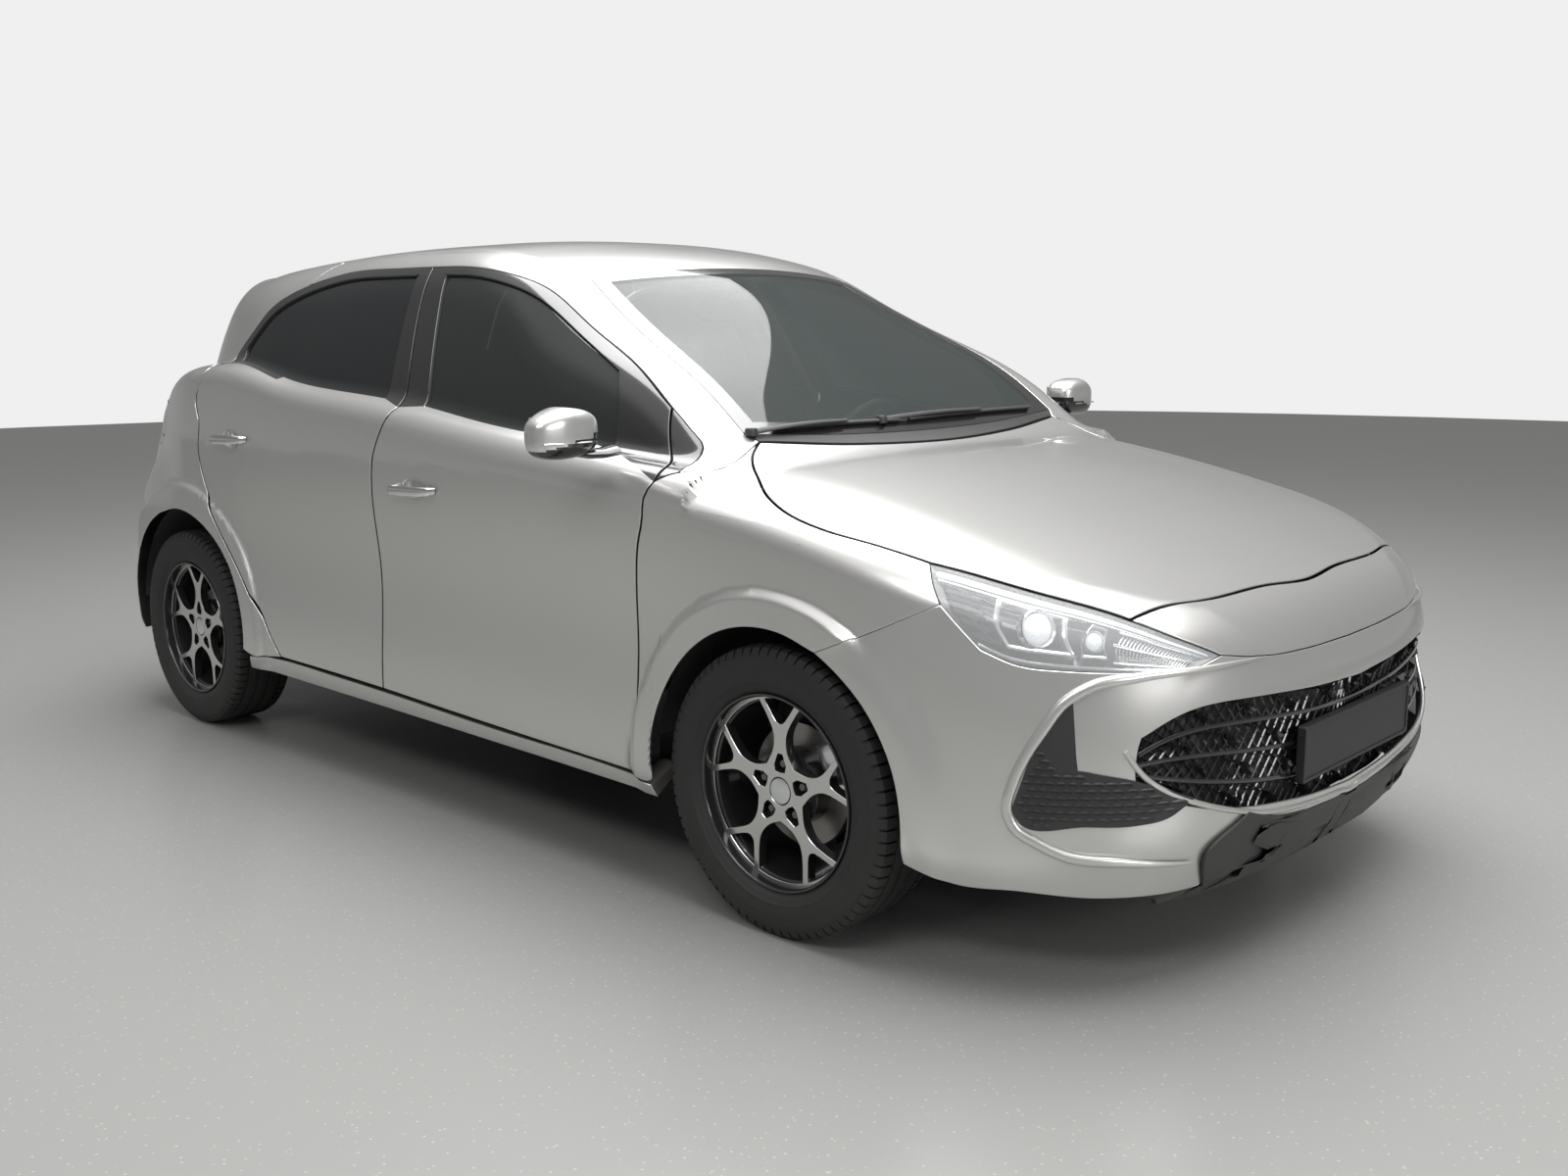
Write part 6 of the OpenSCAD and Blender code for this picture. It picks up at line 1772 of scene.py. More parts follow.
    def intakes(self) -> None:
        """Dark intakes at the corners with rows of scales, and the crisp ridge round them."""
        piece = Part("side_intakes")
        low, top = FORM.curve(self.INTAKE_LOW, 12), FORM.curve(self.INTAKE_TOP + self.INTAKE_IN[1:], 12)
        pole = np.repeat(low[:1], FINE * 3 + 1, 0), np.repeat(low[-1:], FINE * 3 + 1, 0)
        g = FORM.onto(coons(low, top, *pole))
        nn = FORM.normal(g)
        piece.add((g + nn * 0.0016).reshape(-1, 3), grid_faces(*g.shape[:2]), "satin_black")
        box_low = g.reshape(-1, 3).min(0)
        border = np.concatenate([low, top[::-1]])
        rows = []
        for r in range(18):
            z = box_low[2] + 0.010 + r * 0.0135
            for k in range(26):
                x = box_low[0] + 0.006 + (k + 0.5 * (r % 2)) * 0.0175
                rows.append([x, z])
        seeds = np.array(rows)
        inside = self.within(seeds, border[:, [0, 2]], 0.008)
        scales = []
        for x, z in seeds[inside]:
            t = np.linspace(-1, 1, 5)
            crest = np.stack([x + 0.0078 * t, np.full(5, 0.74), z + 0.0022 * (1 - t * t)], -1)
            crest = self.drop(crest)
            foot = self.drop(crest - np.array([0, 0, 0.0065]))
            back = self.drop(crest + np.array([0, 0, 0.0025]))
            m1, m2, m3 = FORM.normal(crest), FORM.normal(foot), FORM.normal(back)
            rings = np.stack([foot + m2 * 0.0012, crest + m1 * (0.0050 * (1 - t * t)[:, None] + 0.0022), back + m3 * 0.0012], 1)
            scales += outward(loft(rings))
        for q in scales:
            piece.add(*q, "satin_black", angle=20)
        piece.mirror().make("body", "trim")
        ridge = Part("bumper_ridge")
        c = FORM.curve(self.RIDGE, 30)
        taper = np.concatenate([np.linspace(0.15, 1, 40), np.ones(len(c) - 60), np.linspace(1, 0.3, 20)])
        for q in sweep(c, (0.0075, 0.0105), FORM.normal(c), 12, taper):
            ridge.add(*q, "silver_paint")
        lip = FORM.curve(self.LIP, 30)
        for _ in range(80):
            lip[1:-1] = (lip[:-2] + lip[2:]) / 2
        facing = unit(np.stack([np.ones(len(lip)), 1.78 * lip[:, 1] * np.abs(lip[:, 1]), np.zeros(len(lip))], -1))
        for q in sweep(lip, (0.0055, 0.0060), facing, 12):
            ridge.add(*q, "silver_paint")
        ridge.mirror().make("body", "paint")

    @staticmethod
    def drop(p: Array) -> Array:
        """Points moved across the car onto the form's left side."""
        p = p.copy()
        for _ in range(12):
            v = FORM.field(p)
            q = p + np.array([0, 0.0002, 0])
            g = (FORM.field(q) - v) / 0.0002
            p[..., 1] -= np.clip(v / np.maximum(0.2, g), -0.05, 0.05)
        return p

    @staticmethod
    def within(p: Array, loop: Array, margin: float) -> Array:
        """Which points lie inside a closed outline and not near it."""
        a, b = loop, np.roll(loop, -1, 0)
        inside = np.zeros(len(p), bool)
        near = np.full(len(p), 1e9)
        for s, e in zip(a, b):
            cross = ((s[1] > p[:, 1]) != (e[1] > p[:, 1])) & (p[:, 0] < (e[0] - s[0]) * (p[:, 1] - s[1]) / (e[1] - s[1] + 1e-12) + s[0])
            inside ^= cross
            d = e - s
            t = np.clip(((p - s) @ d) / max(d @ d, 1e-12), 0, 1)
            near = np.minimum(near, np.linalg.norm(p - (s + t[:, None] * d), axis=1))
        return inside & (near > margin)

    def build(self) -> None:
        """Makes the whole front."""
        n, s, g = LINES, self.s, self.g
        grid, mouth = self.grids()
        k, m = LINES.BUMPER_SIDE, LINES.BUMPER_MOUTH
        bumper = Part("front_bumper_skin")
        hole = [k, k + m, 3, 6]
        outer = inset(relax(grid, 24, 2.0), [s] * 4, hole)
        facing = own_normal(outer)
        shell(bumper, outer, outer - facing * self.skin, "silver_paint", "underside", hole, turns_to=facing)
        bumper.make("body", "paint", ["front_bumper"])
        nose = Part("nose_skin")
        low, top = across(n.nose_low), FORM.curve(Lids.both(Lids.NOSE_TOP), 12)
        sheet(nose, FORM.onto(coons(low, top, flip(n.lamp_inner[::-1]), n.lamp_inner[::-1])), [s, s, s * 0.5, g * 1.3], self.skin, "silver_paint")
        nose.make("body", "paint", ["nose_panel"])
        self.grille(mouth)
        self.lamp()
        self.intakes()
        splitter = Part("splitter_skin")
        b = [[1.90, 0.55, 0.175], [1.965, 0.42, 0.172], [2.0, 0.20, 0.168], [2.01, 0, 0.168]]
        grid = FORM.onto(coons(FORM.curve(Lids.both(b), 12), across(n.splitter_top), flip(FORM.curve([b[0], n.splitter_top[0]], 2)), FORM.curve([b[0], n.splitter_top[0]], 2)))
        sheet(splitter, grid, [s, s, s, s], 0.012, "satin_black")
        apron_top = across(FORM.curve([[2.026, 0.425, 0.366 - 0.014], [2.043, 0.285, 0.310], [2.049, 0.1, 0.294], [2.050, 0, 0.292]], 6))
        apron_side = FORM.curve([n.splitter_top[0], [1.986, 0.515, 0.275], [2.026, 0.425, 0.352]], 3)
        apron = FORM.onto(coons(across(n.splitter_top), apron_top, flip(apron_side), apron_side))
        apron = relax(apron, 120, 2.0)
        an = own_normal(apron)
        shell(splitter, apron + an * 0.0050, apron - an * 0.001, "satin_black", "satin_black", radius=0.002, turns_to=an)
        splitter.make("body", "trim", ["front_splitter"])
        low_c, high_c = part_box("plate_board")
        half_y, half_z, mid = (high_c.y - low_c.y) / 2, (high_c.z - low_c.z) / 2, (high_c.z + low_c.z) / 2
        a = np.radians(np.linspace(0, 90, 6))
        loop = []
        for cy, cz, t in ((1, 1, 0), (-1, 1, 90), (-1, -1, 180), (1, -1, 270)):
            loop.append(np.stack([cy * (half_y - 0.006) + 0.006 * np.cos(a + math.radians(t)), cz * (half_z - 0.006) + 0.006 * np.sin(a + math.radians(t))], -1))
        loop = np.concatenate(loop)
        board = Part("plate_board_detail")
        inner = loop * np.array([(half_y - 0.008) / half_y, (half_z - 0.008) / half_z])
        for face in (plate([loop, inner[::-1]], high_c.x + 0.0030, low_c.x - 0.002, 0.0012), plate([inner], high_c.x + 0.0008, low_c.x, 0.0005)):
            for v, f in face:
                board.add(np.stack([v[:, 2], v[:, 0], v[:, 1] + mid], -1), f, "plate_black", angle=25)
        board.make("body", "trim", ["plate_board"])


# ---------------------------------------------------------------- rear end
@dataclass
class RearEnd:
    """Rear bumper, tail lamps and roof spoiler."""

    skin: float = SIZES.skin
    s: float = SIZES.seam
    g: float = SIZES.shut

    def build(self) -> None:
        """Makes the whole rear."""
        n, s, g = LINES, self.s, self.g
        xr, rr = SIZES.rear_axle, SIZES.arch_rear
        shelf = FORM.curve([[-1.70, 0.62], [-1.86, 0.74, 0.63], [-1.964, 0.590, 0.640]], 6)
        row1 = join(flip(shelf), n.gate_low, shelf[::-1])
        lamp = n.tail_low
        row2 = join(flip(lamp), FORM.curve([flip(lamp)[-1], [-2.0, 0, 0.88], lamp[-1]], 14), lamp[::-1])
        arch = FORM.curve([[-1.745, 0.26], [-1.757, 0.30]] + ShutLines.ring(xr, rr, 170, 145, 2), 4)
        side = join(arch, n.quarter_low)
        bottom = FORM.curve(Lids.both([list(FORM.place([-1.745, 0.26])), [-1.90, 0.70, 0.245], [-1.97, 0.40, 0.235], [-1.99, 0.0, 0.235]]), 26)
        low = coons(bottom, row1, flip(side), side)
        a = coons(part(row1, 0, 6), part(row2, 0, 6), flip(n.quarter_back), flip(n.gate_low_side))
        b = coons(part(row1, 6, 20), part(row2, 6, 20), flip(n.gate_low_side), n.gate_low_side)
        c = coons(part(row1, 20, 26), part(row2, 20, 26), n.gate_low_side, n.quarter_back)
        grid = FORM.onto(np.concatenate([low, np.concatenate([a, b[:, 1:], c[:, 1:]], 1)[1:]]))
        bumper = Part("rear_bumper_skin")
        grid = relax(grid, 160, 2.0)
        outer = inset(grid, [s] * 4, [6, 20, 5, 9], g)
        facing = own_normal(outer)
        shell(bumper, outer, outer - facing * self.skin, "silver_paint", "underside", [6, 20, 5, 9], turns_to=facing)
        bumper.make("body", "paint", ["rear_bumper"])
        apron = Part("rear_apron")
        rows = 5 * FINE
        band = grid[2 : rows // 2 + 2, 7 * FINE : 19 * FINE + 1]
        nn = own_normal(band)
        shell(apron, band + nn * 0.003, band - nn * 0.001, "satin_black", "satin_black", radius=0.002, turns_to=nn)
        for u0, u1 in ((0.03, 0.20), (0.80, 0.97)):
            c = FrontEnd.at(band, np.linspace(u0, u1, 16), np.full(16, 0.80), 0.004)
            for q in sweep(c, (0.009, 0.0025), np.array([0, 0, 1.0]), 12):
                apron.add(*q, "red_lens")
        apron.make("body", "trim")
        lamps = Part("tail_lamps_detail")
        grid = FORM.onto(coons(n.tail_low, n.tail_top, n.tail_front, resample(n.tail_gate, 0, 1, 5)))
        a = inset(grid, [s, g, s, s])
        nn = FORM.normal(a)
        shell(lamps, a - nn * 0.0005, a - nn * 0.006, "red_lens", "gloss_black", radius=0.0015)
        for v0 in (0.80, 0.18):
            c = FrontEnd.at(a, np.linspace(0.05, 0.95, 40), np.full(40, v0), 0.0004)
            for q in sweep(c, (0.0014, 0.0022), FORM.normal(c), 8):
                lamps.add(*q, "gloss_black")
        lamps.mirror().make("body", "rear_lamp", ["tail_lamps"])
        spoiler = Part("roof_spoiler_skin")
        y = np.linspace(-1, 1, 41)
        c = 1 - y * y
        rows = [(-1.512 - 0.026 * c, 0.486 * y, 1.3963 + 0.027 * c), (-1.580 - 0.028 * c, 0.470 * y, 1.3925 + 0.0265 * c), (-1.645 - 0.030 * c, 0.456 * y, 1.3795 + 0.026 * c), (-1.6508 - 0.030 * c, 0.455 * y, 1.3760 + 0.0255 * c), (-1.650 - 0.030 * c, 0.455 * y, 1.3690 + 0.0245 * c), (-1.645 - 0.030 * c, 0.456 * y, 1.3663 + 0.024 * c), (-1.590 - 0.030 * c, 0.470 * y, 1.3653 + 0.022 * c)]
        rings = np.stack([np.stack(r, -1) for r in rows], 1)
        for q in outward(loft(rings)):
            spoiler.add(*q, "silver_paint", angle=50)
        bar = np.stack([-1.6535 - 0.030 * (1 - y[12:29] ** 2), 0.455 * y[12:29], 1.3725 + 0.025 * (1 - y[12:29] ** 2)], -1)
        for q in sweep(bar, (0.003, 0.0015), np.array([0, 0, 1.0]), 8):
            spoiler.add(*q, "red_lens")
        spoiler.make("tailgate", "paint", ["roof_spoiler"])


# ---------------------------------------------------------------- outside fittings
@dataclass
class Mirror:
    """A door mirror: painted cap, black foot and base, glass towards the rear."""

    side: Side
    centre: tuple[float, float, float] = (0.7025, 0.994, 1.038)
    half: tuple[float, float, float] = (0.050, 0.084, 0.056)

    def build(self) -> None:
        """Makes the mirror on its door."""
        name = self.side.name.lower()
        piece = Part(f"mirror_{name}_detail")
        c, h = np.array(self.centre), np.array(self.half)
        lat, lon = np.meshgrid(np.linspace(-math.pi / 2, math.pi / 2, 33), np.linspace(0, 2 * math.pi, 65)[:-1], indexing="ij")

        def power(a: Array, e: float) -> Array:
            """A signed power, for rounded boxes."""
            return np.sign(a) * np.abs(a) ** e

        p = np.stack([power(np.cos(lat), 0.62) * power(np.cos(lon), 0.62) * h[0], power(np.cos(lat), 0.62) * power(np.sin(lon), 0.62) * h[1], power(np.sin(lat), 0.62) * h[2]], -1)
        p[..., 0] = np.maximum(p[..., 0], -h[0] * 0.80)
        p[..., 0] *= 1 - 0.22 * step(0.0, 0.084, p[..., 1])
        p[..., 2] *= 1 - 0.30 * step(0.0, 0.084, p[..., 1]) * (p[..., 2] > 0)
        p[..., 2] *= 1 - 0.12 * step(0.02, -0.084, p[..., 1])
        p = p + c
        f = grid_faces(33, 64, close_cols=True)
        mid = p.reshape(-1, 3)[f].mean(1)
        low = mid[:, 2] < c[2] - 0.018 - 0.020 * (mid[:, 1] - c[1]) / h[1]
        rear = mid[:, 0] < c[0] - h[0] * 0.76
        v = p.reshape(-1, 3)
        for mask, finish in ((~low & ~rear, "silver_paint"), (low | rear, "gloss_black")):
            faces = f[mask]
            normals = corner_normals(v, f, 60)[mask]
            piece.add(v, faces, finish, normals)
        v, q = pillow(c - h * np.array([0.84, 0.80, 0.66]), c + h * np.array([-0.79, 0.62, 0.60]), 0.0009, 0, 8)
        piece.add(v, q, "bright")
        foot = np.array([[0.725, 0.8700, 0.994], [0.722, 0.900, 0.990], [0.712, 0.930, 0.990], [0.703, 0.965, 0.996]])
        s = np.linspace(0, 3, 16)
        path = np.stack([np.interp(s, range(4), foot[:, k]) for k in range(3)], -1)
        for q in sweep(path, (0.0125, 0.034), np.array([0, 0, 1.0]), 16, 1.05 - 0.25 * np.linspace(0, 1, 16)):
            piece.add(*q, "gloss_black")
        blink = np.stack([c[0] + 0.0475 - 0.012 * np.linspace(0, 1, 14) ** 2, c[1] - 0.045 + 0.118 * np.linspace(0, 1, 14), np.full(14, c[2] - 0.019)], -1)
        for q in sweep(blink, (0.0022, 0.0035), np.array([0, 0, 1.0]), 8):
            piece.add(*q, "lamp_silver")
        (piece.flipped() if self.side is Side.RIGHT else piece).make(f"front_door_{name}", "paint", [f"mirror_{name}"])


@dataclass
class Handle:
    """A bow handle over a cup in the door skin."""

    place: str
    side: Side
    x: float
    z: float
    length: float = 0.200

    def build(self) -> None:
        """Makes the handle on its door."""
        name = self.side.name.lower()
        piece = Part(f"handle_{self.place}_{name}_detail")
        p = FORM.place([self.x, self.z])
        n = FORM.normal(p[None])[0]
        along = unit(np.cross(np.array([0, 0, 1.0]), n))
        along = along if along[0] > 0 else -along
        up = np.cross(n, along)
        up = up if up[2] > 0 else -up
        t = np.linspace(-1, 1, 33)
        rise = 0.0275 * (1 - np.abs(t) ** 3.4) ** 0.5 + 0.0015
        path = p + along * (t * self.length / 2)[:, None] + n * rise[:, None] + up * (0.004 * t)[:, None]
        for q in sweep(path, (0.0135, 0.0050), up, 16, 0.62 + 0.38 * (1 - t**4)):
            piece.add(*q, "bright")
        a = np.linspace(0, 2 * math.pi, 49)[:-1]
        rings = []
        for share in np.linspace(0, 1, 10):
            q = p + along * (0.052 * share * np.cos(a))[:, None] + up * (0.030 * share * np.sin(a) + 0.002)[:, None]
            q = FORM.onto(q)
            rings.append(q + FORM.normal(q) * (0.0006 + 0.0004 * share))
        g = np.array(rings[::-1])
        f = grid_faces(10, 48, close_cols=True)
        v = g.reshape(-1, 3)
        nn = FORM.normal(v)
        k = np.repeat(np.linspace(1, 0, 10), 48)
        centre = p + n * 0.0006
        dent = unit(nn + unit(centre - v + 1e-9) * (0.9 * np.sin(np.pi * np.clip(k, 0, 1)) * (k < 0.98))[:, None])
        q = v[f]
        facing = (np.cross(q[:, 2] - q[:, 0], q[:, 3] - q[:, 1]) * nn[f[:, 0]]).sum()
        f = f if facing > 0 else f[:, ::-1]
        piece.add(v, f, "silver_paint", dent[f])
        (piece.flipped() if self.side is Side.RIGHT else piece).make(f"{self.place}_door_{name}", "bright", [f"handle_{self.place}_{name}"])


@dataclass
class Wipers:
    """Two wipers that rest along the foot of the screen."""

    def build(self) -> None:
        """Makes arms and blades."""
        piece = Part("wipers_detail")
        for ends, pivot in (([[0.880, 0.50, 1.026], [0.900, -0.06, 1.021]], [0.893, -0.16, 1.022]), ([[0.900, -0.10, 1.021], [0.880, -0.52, 1.024]], [0.884, -0.60, 1.022])):
            t = np.linspace(0, 1, 30)[:, None]
            c = FORM.onto(np.array(ends[0]) * (1 - t) + np.array(ends[1]) * t)
            n = FORM.normal(c)
            for lift, half in ((0.0045, (0.0045, 0.0022)), (0.0095, (0.0028, 0.0055))):
                for q in sweep(c + n * lift, half, n, 8):
                    piece.add(*q, "satin_black")
            mid = c[13] + n[13] * 0.016
            t = np.linspace(0, 1, 16)[:, None]
            start = np.array(pivot)
            start = FORM.onto(start[None])[0] + n[13] * 0.008
            arm = start * (1 - t) + mid * t + n[13] * 0.006 * np.sin(math.pi * t)
            for q in sweep(arm, (0.0035, 0.0070), n[13], 10, 1.2 - 0.5 * t[:, 0]):
                piece.add(*q, "satin_black")
            v, f = lathe([[0.0001, 0.010], [0.012, 0.009], [0.015, 0.004], [0.015, -0.008]], 24)
            v = np.stack([v[:, 0], v[:, 2], v[:, 1]], -1) + start
            piece.add(v, f, "satin_black")
        piece.make("body", "trim", ["wipers"])


# ---------------------------------------------------------------- cabin
@dataclass
class Seats:
    """Two front seats and a rear bench, in dark cloth with seams."""

    base_x: tuple[float, float] = (-0.245, 0.225)
    offset: float = 0.370
    width: float = 0.470
    lean: float = 18.0

    def seams(self, piece: Part, paths: list[Array]) -> None:
        """Thin piping laid along seams."""
        for path in paths:
            for q in sweep(path, (0.0022, 0.0022), np.array([0.3, 0.1, 1.0]), 6):
                piece.add(*q, "cabin_black")

    def front(self, side: Side) -> None:
        """One front seat.

        Args:
            side: which side of the car.
        """
        name = side.name.lower()
        y = self.offset if side is Side.LEFT else -self.offset
        w, (x0, x1) = self.width / 2, self.base_x
        base = Part(f"seat_base_{name}")
        for low, high in (((x0, y - w + 0.070, 0.262), (x1, y + w - 0.070, 0.470)), ((x0, y - w, 0.262), (x1, y - w + 0.082, 0.484)), ((x0, y + w - 0.082, 0.262), (x1, y + w, 0.484))):
            base.add(*pillow(low, high, 0.038, 0.008), "seat_cloth")
        self.seams(base, [np.stack([np.linspace(x0 + 0.04, x1 - 0.03, 12), np.full(12, y + k), np.full(12, 0.476)], -1) for k in (-w + 0.076, w - 0.076)])
        base.make("body", "cloth")
        back = Part(f"seat_back_{name}")
        foot = (x0 + 0.005, y, 0.46)
        pads = [((x0 - 0.045, y - w + 0.085, 0.455), (x0 + 0.065, y + w - 0.085, 1.020)), ((x0 - 0.040, y - w + 0.022, 0.455), (x0 + 0.082, y - w + 0.098, 0.985)), ((x0 - 0.040, y + w - 0.098, 0.455), (x0 + 0.082, y + w - 0.022, 0.985))]
        for low, high in pads:
            v, f = pillow(low, high, 0.038, 0.010)
            back.add(turn(v, "Y", -self.lean, foot), f, "seat_cloth")
        self.seams(back, [turn(np.stack([np.full(14, x0 + 0.074), np.full(14, y + k), np.linspace(0.52, 0.96, 14)], -1), "Y", -self.lean, foot) for k in (-w + 0.092, w - 0.092)])
        back.make("body", "cloth")
        rest = Part(f"head_rest_{name}")
        v, f = pillow((x0 - 0.030, y - 0.105, 1.050), (x0 + 0.050, y + 0.105, 1.215), 0.034, 0.008)
        rest.add(turn(v, "Y", -self.lean + 3, foot), f, "seat_cloth")
        rest.make("body", "cloth")
        posts = Part(f"head_rest_posts_{name}")
        for k in (-0.055, 0.055):
            path = turn(np.stack([np.full(6, x0 + 0.012), np.full(6, y + k), np.linspace(0.99, 1.08, 6)], -1), "Y", -self.lean + 2, foot)
            for q in sweep(path, (0.0055, 0.0055), np.array([1.0, 0, 0]), 12):
                posts.add(*q, "bright")
        posts.make("body", "bright", ["front_seats"] if side is Side.RIGHT else [])

    def bench(self) -> None:
        """The rear bench: cushion and a back in three parts."""
        base = Part("bench_base")
        base.add(*pillow((-1.09, -0.575, 0.262), (-0.585, 0.575, 0.452), 0.045, 0.010, 20), "seat_cloth")
        self.seams(base, [np.stack([np.linspace(-0.96, -0.62, 10), np.full(10, k), np.full(10, 0.455)], -1) for k in (-0.19, 0.19)])
        base.make("body", "cloth")
        back = Part("bench_back")
        foot = (-1.10, 0, 0.458)
        for a, b in ((-0.575, -0.197), (-0.193, 0.193), (0.197, 0.575)):
            v, f = pillow((-1.090, a, 0.470), (-0.985, b, 1.000), 0.035, 0.010)
            back.add(turn(v, "Y", -14, foot), f, "seat_cloth")
        back.make("body", "cloth", ["rear_bench"])


@dataclass
class Cockpit:
    """Dashboard with screen, vents and a raised pad on top, steering wheel and inner mirror."""

    def build(self) -> None:
        """Makes the dashboard and what sits on it."""
        Seats().front(Side.LEFT)
        Seats().front(Side.RIGHT)
        Seats().bench()
        dash = Part("dashboard_detail")
        section = np.array([[0.838, 0.565], [0.838, 0.947], [0.760, 0.970], [0.640, 0.964], [0.565, 0.948], [0.510, 0.905], [0.512, 0.860], [0.530, 0.800], [0.620, 0.650], [0.700, 0.566]])
        rounded = self.smooth(section, 3)
        y = np.concatenate([np.linspace(-0.685, 0.685, 41)])
        scale = 1 - 0.18 * np.clip((np.abs(y) - 0.62) / 0.065, 0, 1) ** 2
        rings = np.stack([np.stack([np.full(len(rounded), a) for a in y]) * 0 + y[:, None], np.broadcast_to(rounded[:, 0], (41, len(rounded))), np.broadcast_to(rounded[:, 1], (41, len(rounded)))], -1)
        mid = np.array([0.70, 0.76])
        xz = mid + (rings[..., 1:] - mid) * scale[:, None, None]
        g = np.stack([xz[..., 0], rings[..., 0], xz[..., 1]], -1)
        for q in outward(loft(g)):
            dash.add(*q, "cabin_black", angle=50)
        dash.add(*pillow((0.498, -0.112, 0.845), (0.520, 0.112, 0.940), 0.006, 0, 8), "gloss_black")
        for y0 in (-0.60, -0.235, 0.150, 0.52):
            for k in range(5):
                dash.add(*pillow((0.500, y0, 0.868 + k * 0.011), (0.522, y0 + 0.085, 0.872 + k * 0.011), 0.0015, 0, 4), "satin_black")
        dash.add(*pillow((0.575, 0.225, 0.962), (0.690, 0.515, 0.992), 0.014, 0.003, 10), "cabin_black")
        dash.make("body", "trim", ["dashboard"])
        self.wheel()
        inner = Part("inner_mirror")
        inner.add(*pillow((0.205, -0.115, 1.272), (0.232, 0.115, 1.332), 0.012, 0.002, 10), "cabin_black")
        inner.add(*pillow((0.2035, -0.108, 1.279), (0.206, 0.108, 1.325), 0.001, 0, 6), "bright")
        path = np.stack([np.linspace(0.228, 0.262, 8), np.zeros(8), np.linspace(1.325, 1.362, 8)], -1)
        for q in sweep(path, (0.008, 0.008), np.array([0, 1.0, 0]), 10):
            inner.add(*q, "cabin_black")
        inner.make("body", "trim")

    @staticmethod
    def smooth(p: Array, times: int) -> Array:
        """A closed outline with its corners cut round."""
        for _ in range(times):
            q = np.roll(p, -1, 0)
            p = np.stack([0.78 * p + 0.22 * q, 0.22 * p + 0.78 * q], 1).reshape(-1, 2)
        return p

    def wheel(self) -> None:
        """The steering wheel: rim, three spokes and a padded middle."""
        low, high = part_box("steering_wheel")
        side = 1 if (low.y + high.y) > 0 else -1
        at, tilt = np.array([0.390, side * 0.370, 0.880]), 114
        piece = Part("steering_wheel_detail")
        a = np.linspace(0, 2 * math.pi, 97)[:-1]
        b = np.linspace(0, 2 * math.pi, 17)[:-1]
        ring = np.stack([(0.171 + 0.0130 * np.cos(b)[None] * 1.0) * np.cos(a)[:, None], (0.171 + 0.0130 * np.cos(b)[None]) * np.sin(a)[:, None], np.broadcast_to(0.0135 * np.sin(b), (96, 16))], -1)
        f = grid_faces(96, 16, close_cols=True)
        last = np.concatenate([np.arange(16) + 95 * 16]), np.arange(16)
        wrap = np.stack([last[0], np.roll(last[0], -1), np.roll(last[1], -1), last[1]], -1)
        f = np.concatenate([f, wrap])
        v = ring.reshape(-1, 3)
        q = v[f]
        facing = (np.cross(q[:, 2] - q[:, 0], q[:, 3] - q[:, 1]) * (q.mean(1) - np.stack([0.171 * np.cos(np.arctan2(q.mean(1)[:, 1], q.mean(1)[:, 0])), 0.171 * np.sin(np.arctan2(q.mean(1)[:, 1], q.mean(1)[:, 0])), np.zeros(len(q))], -1))).sum()
        piece.add(turn(v, "Y", tilt) + at, f if facing > 0 else f[:, ::-1], "cabin_black")
        for angle in (0, 90, 180):
            v, f = pillow((0.030, -0.016, -0.0065), (0.163, 0.016, 0.0055), 0.005, 0, 8)
            piece.add(turn(turn(v, "Z", angle), "Y", tilt) + at, f, "lamp_silver")
        v, f = lathe([[0.0001, -0.0145], [0.046, -0.0135], [0.056, -0.006], [0.057, 0.004], [0.052, 0.0245], [0.0001, 0.0252]], 48)
        v = np.stack([v[:, 0], v[:, 2], v[:, 1]], -1)
        piece.add(turn(v, "Y", tilt) + at, f[:, ::-1], "cabin_black")
        piece.make("steering_wheel", "trim", ["steering_wheel"])


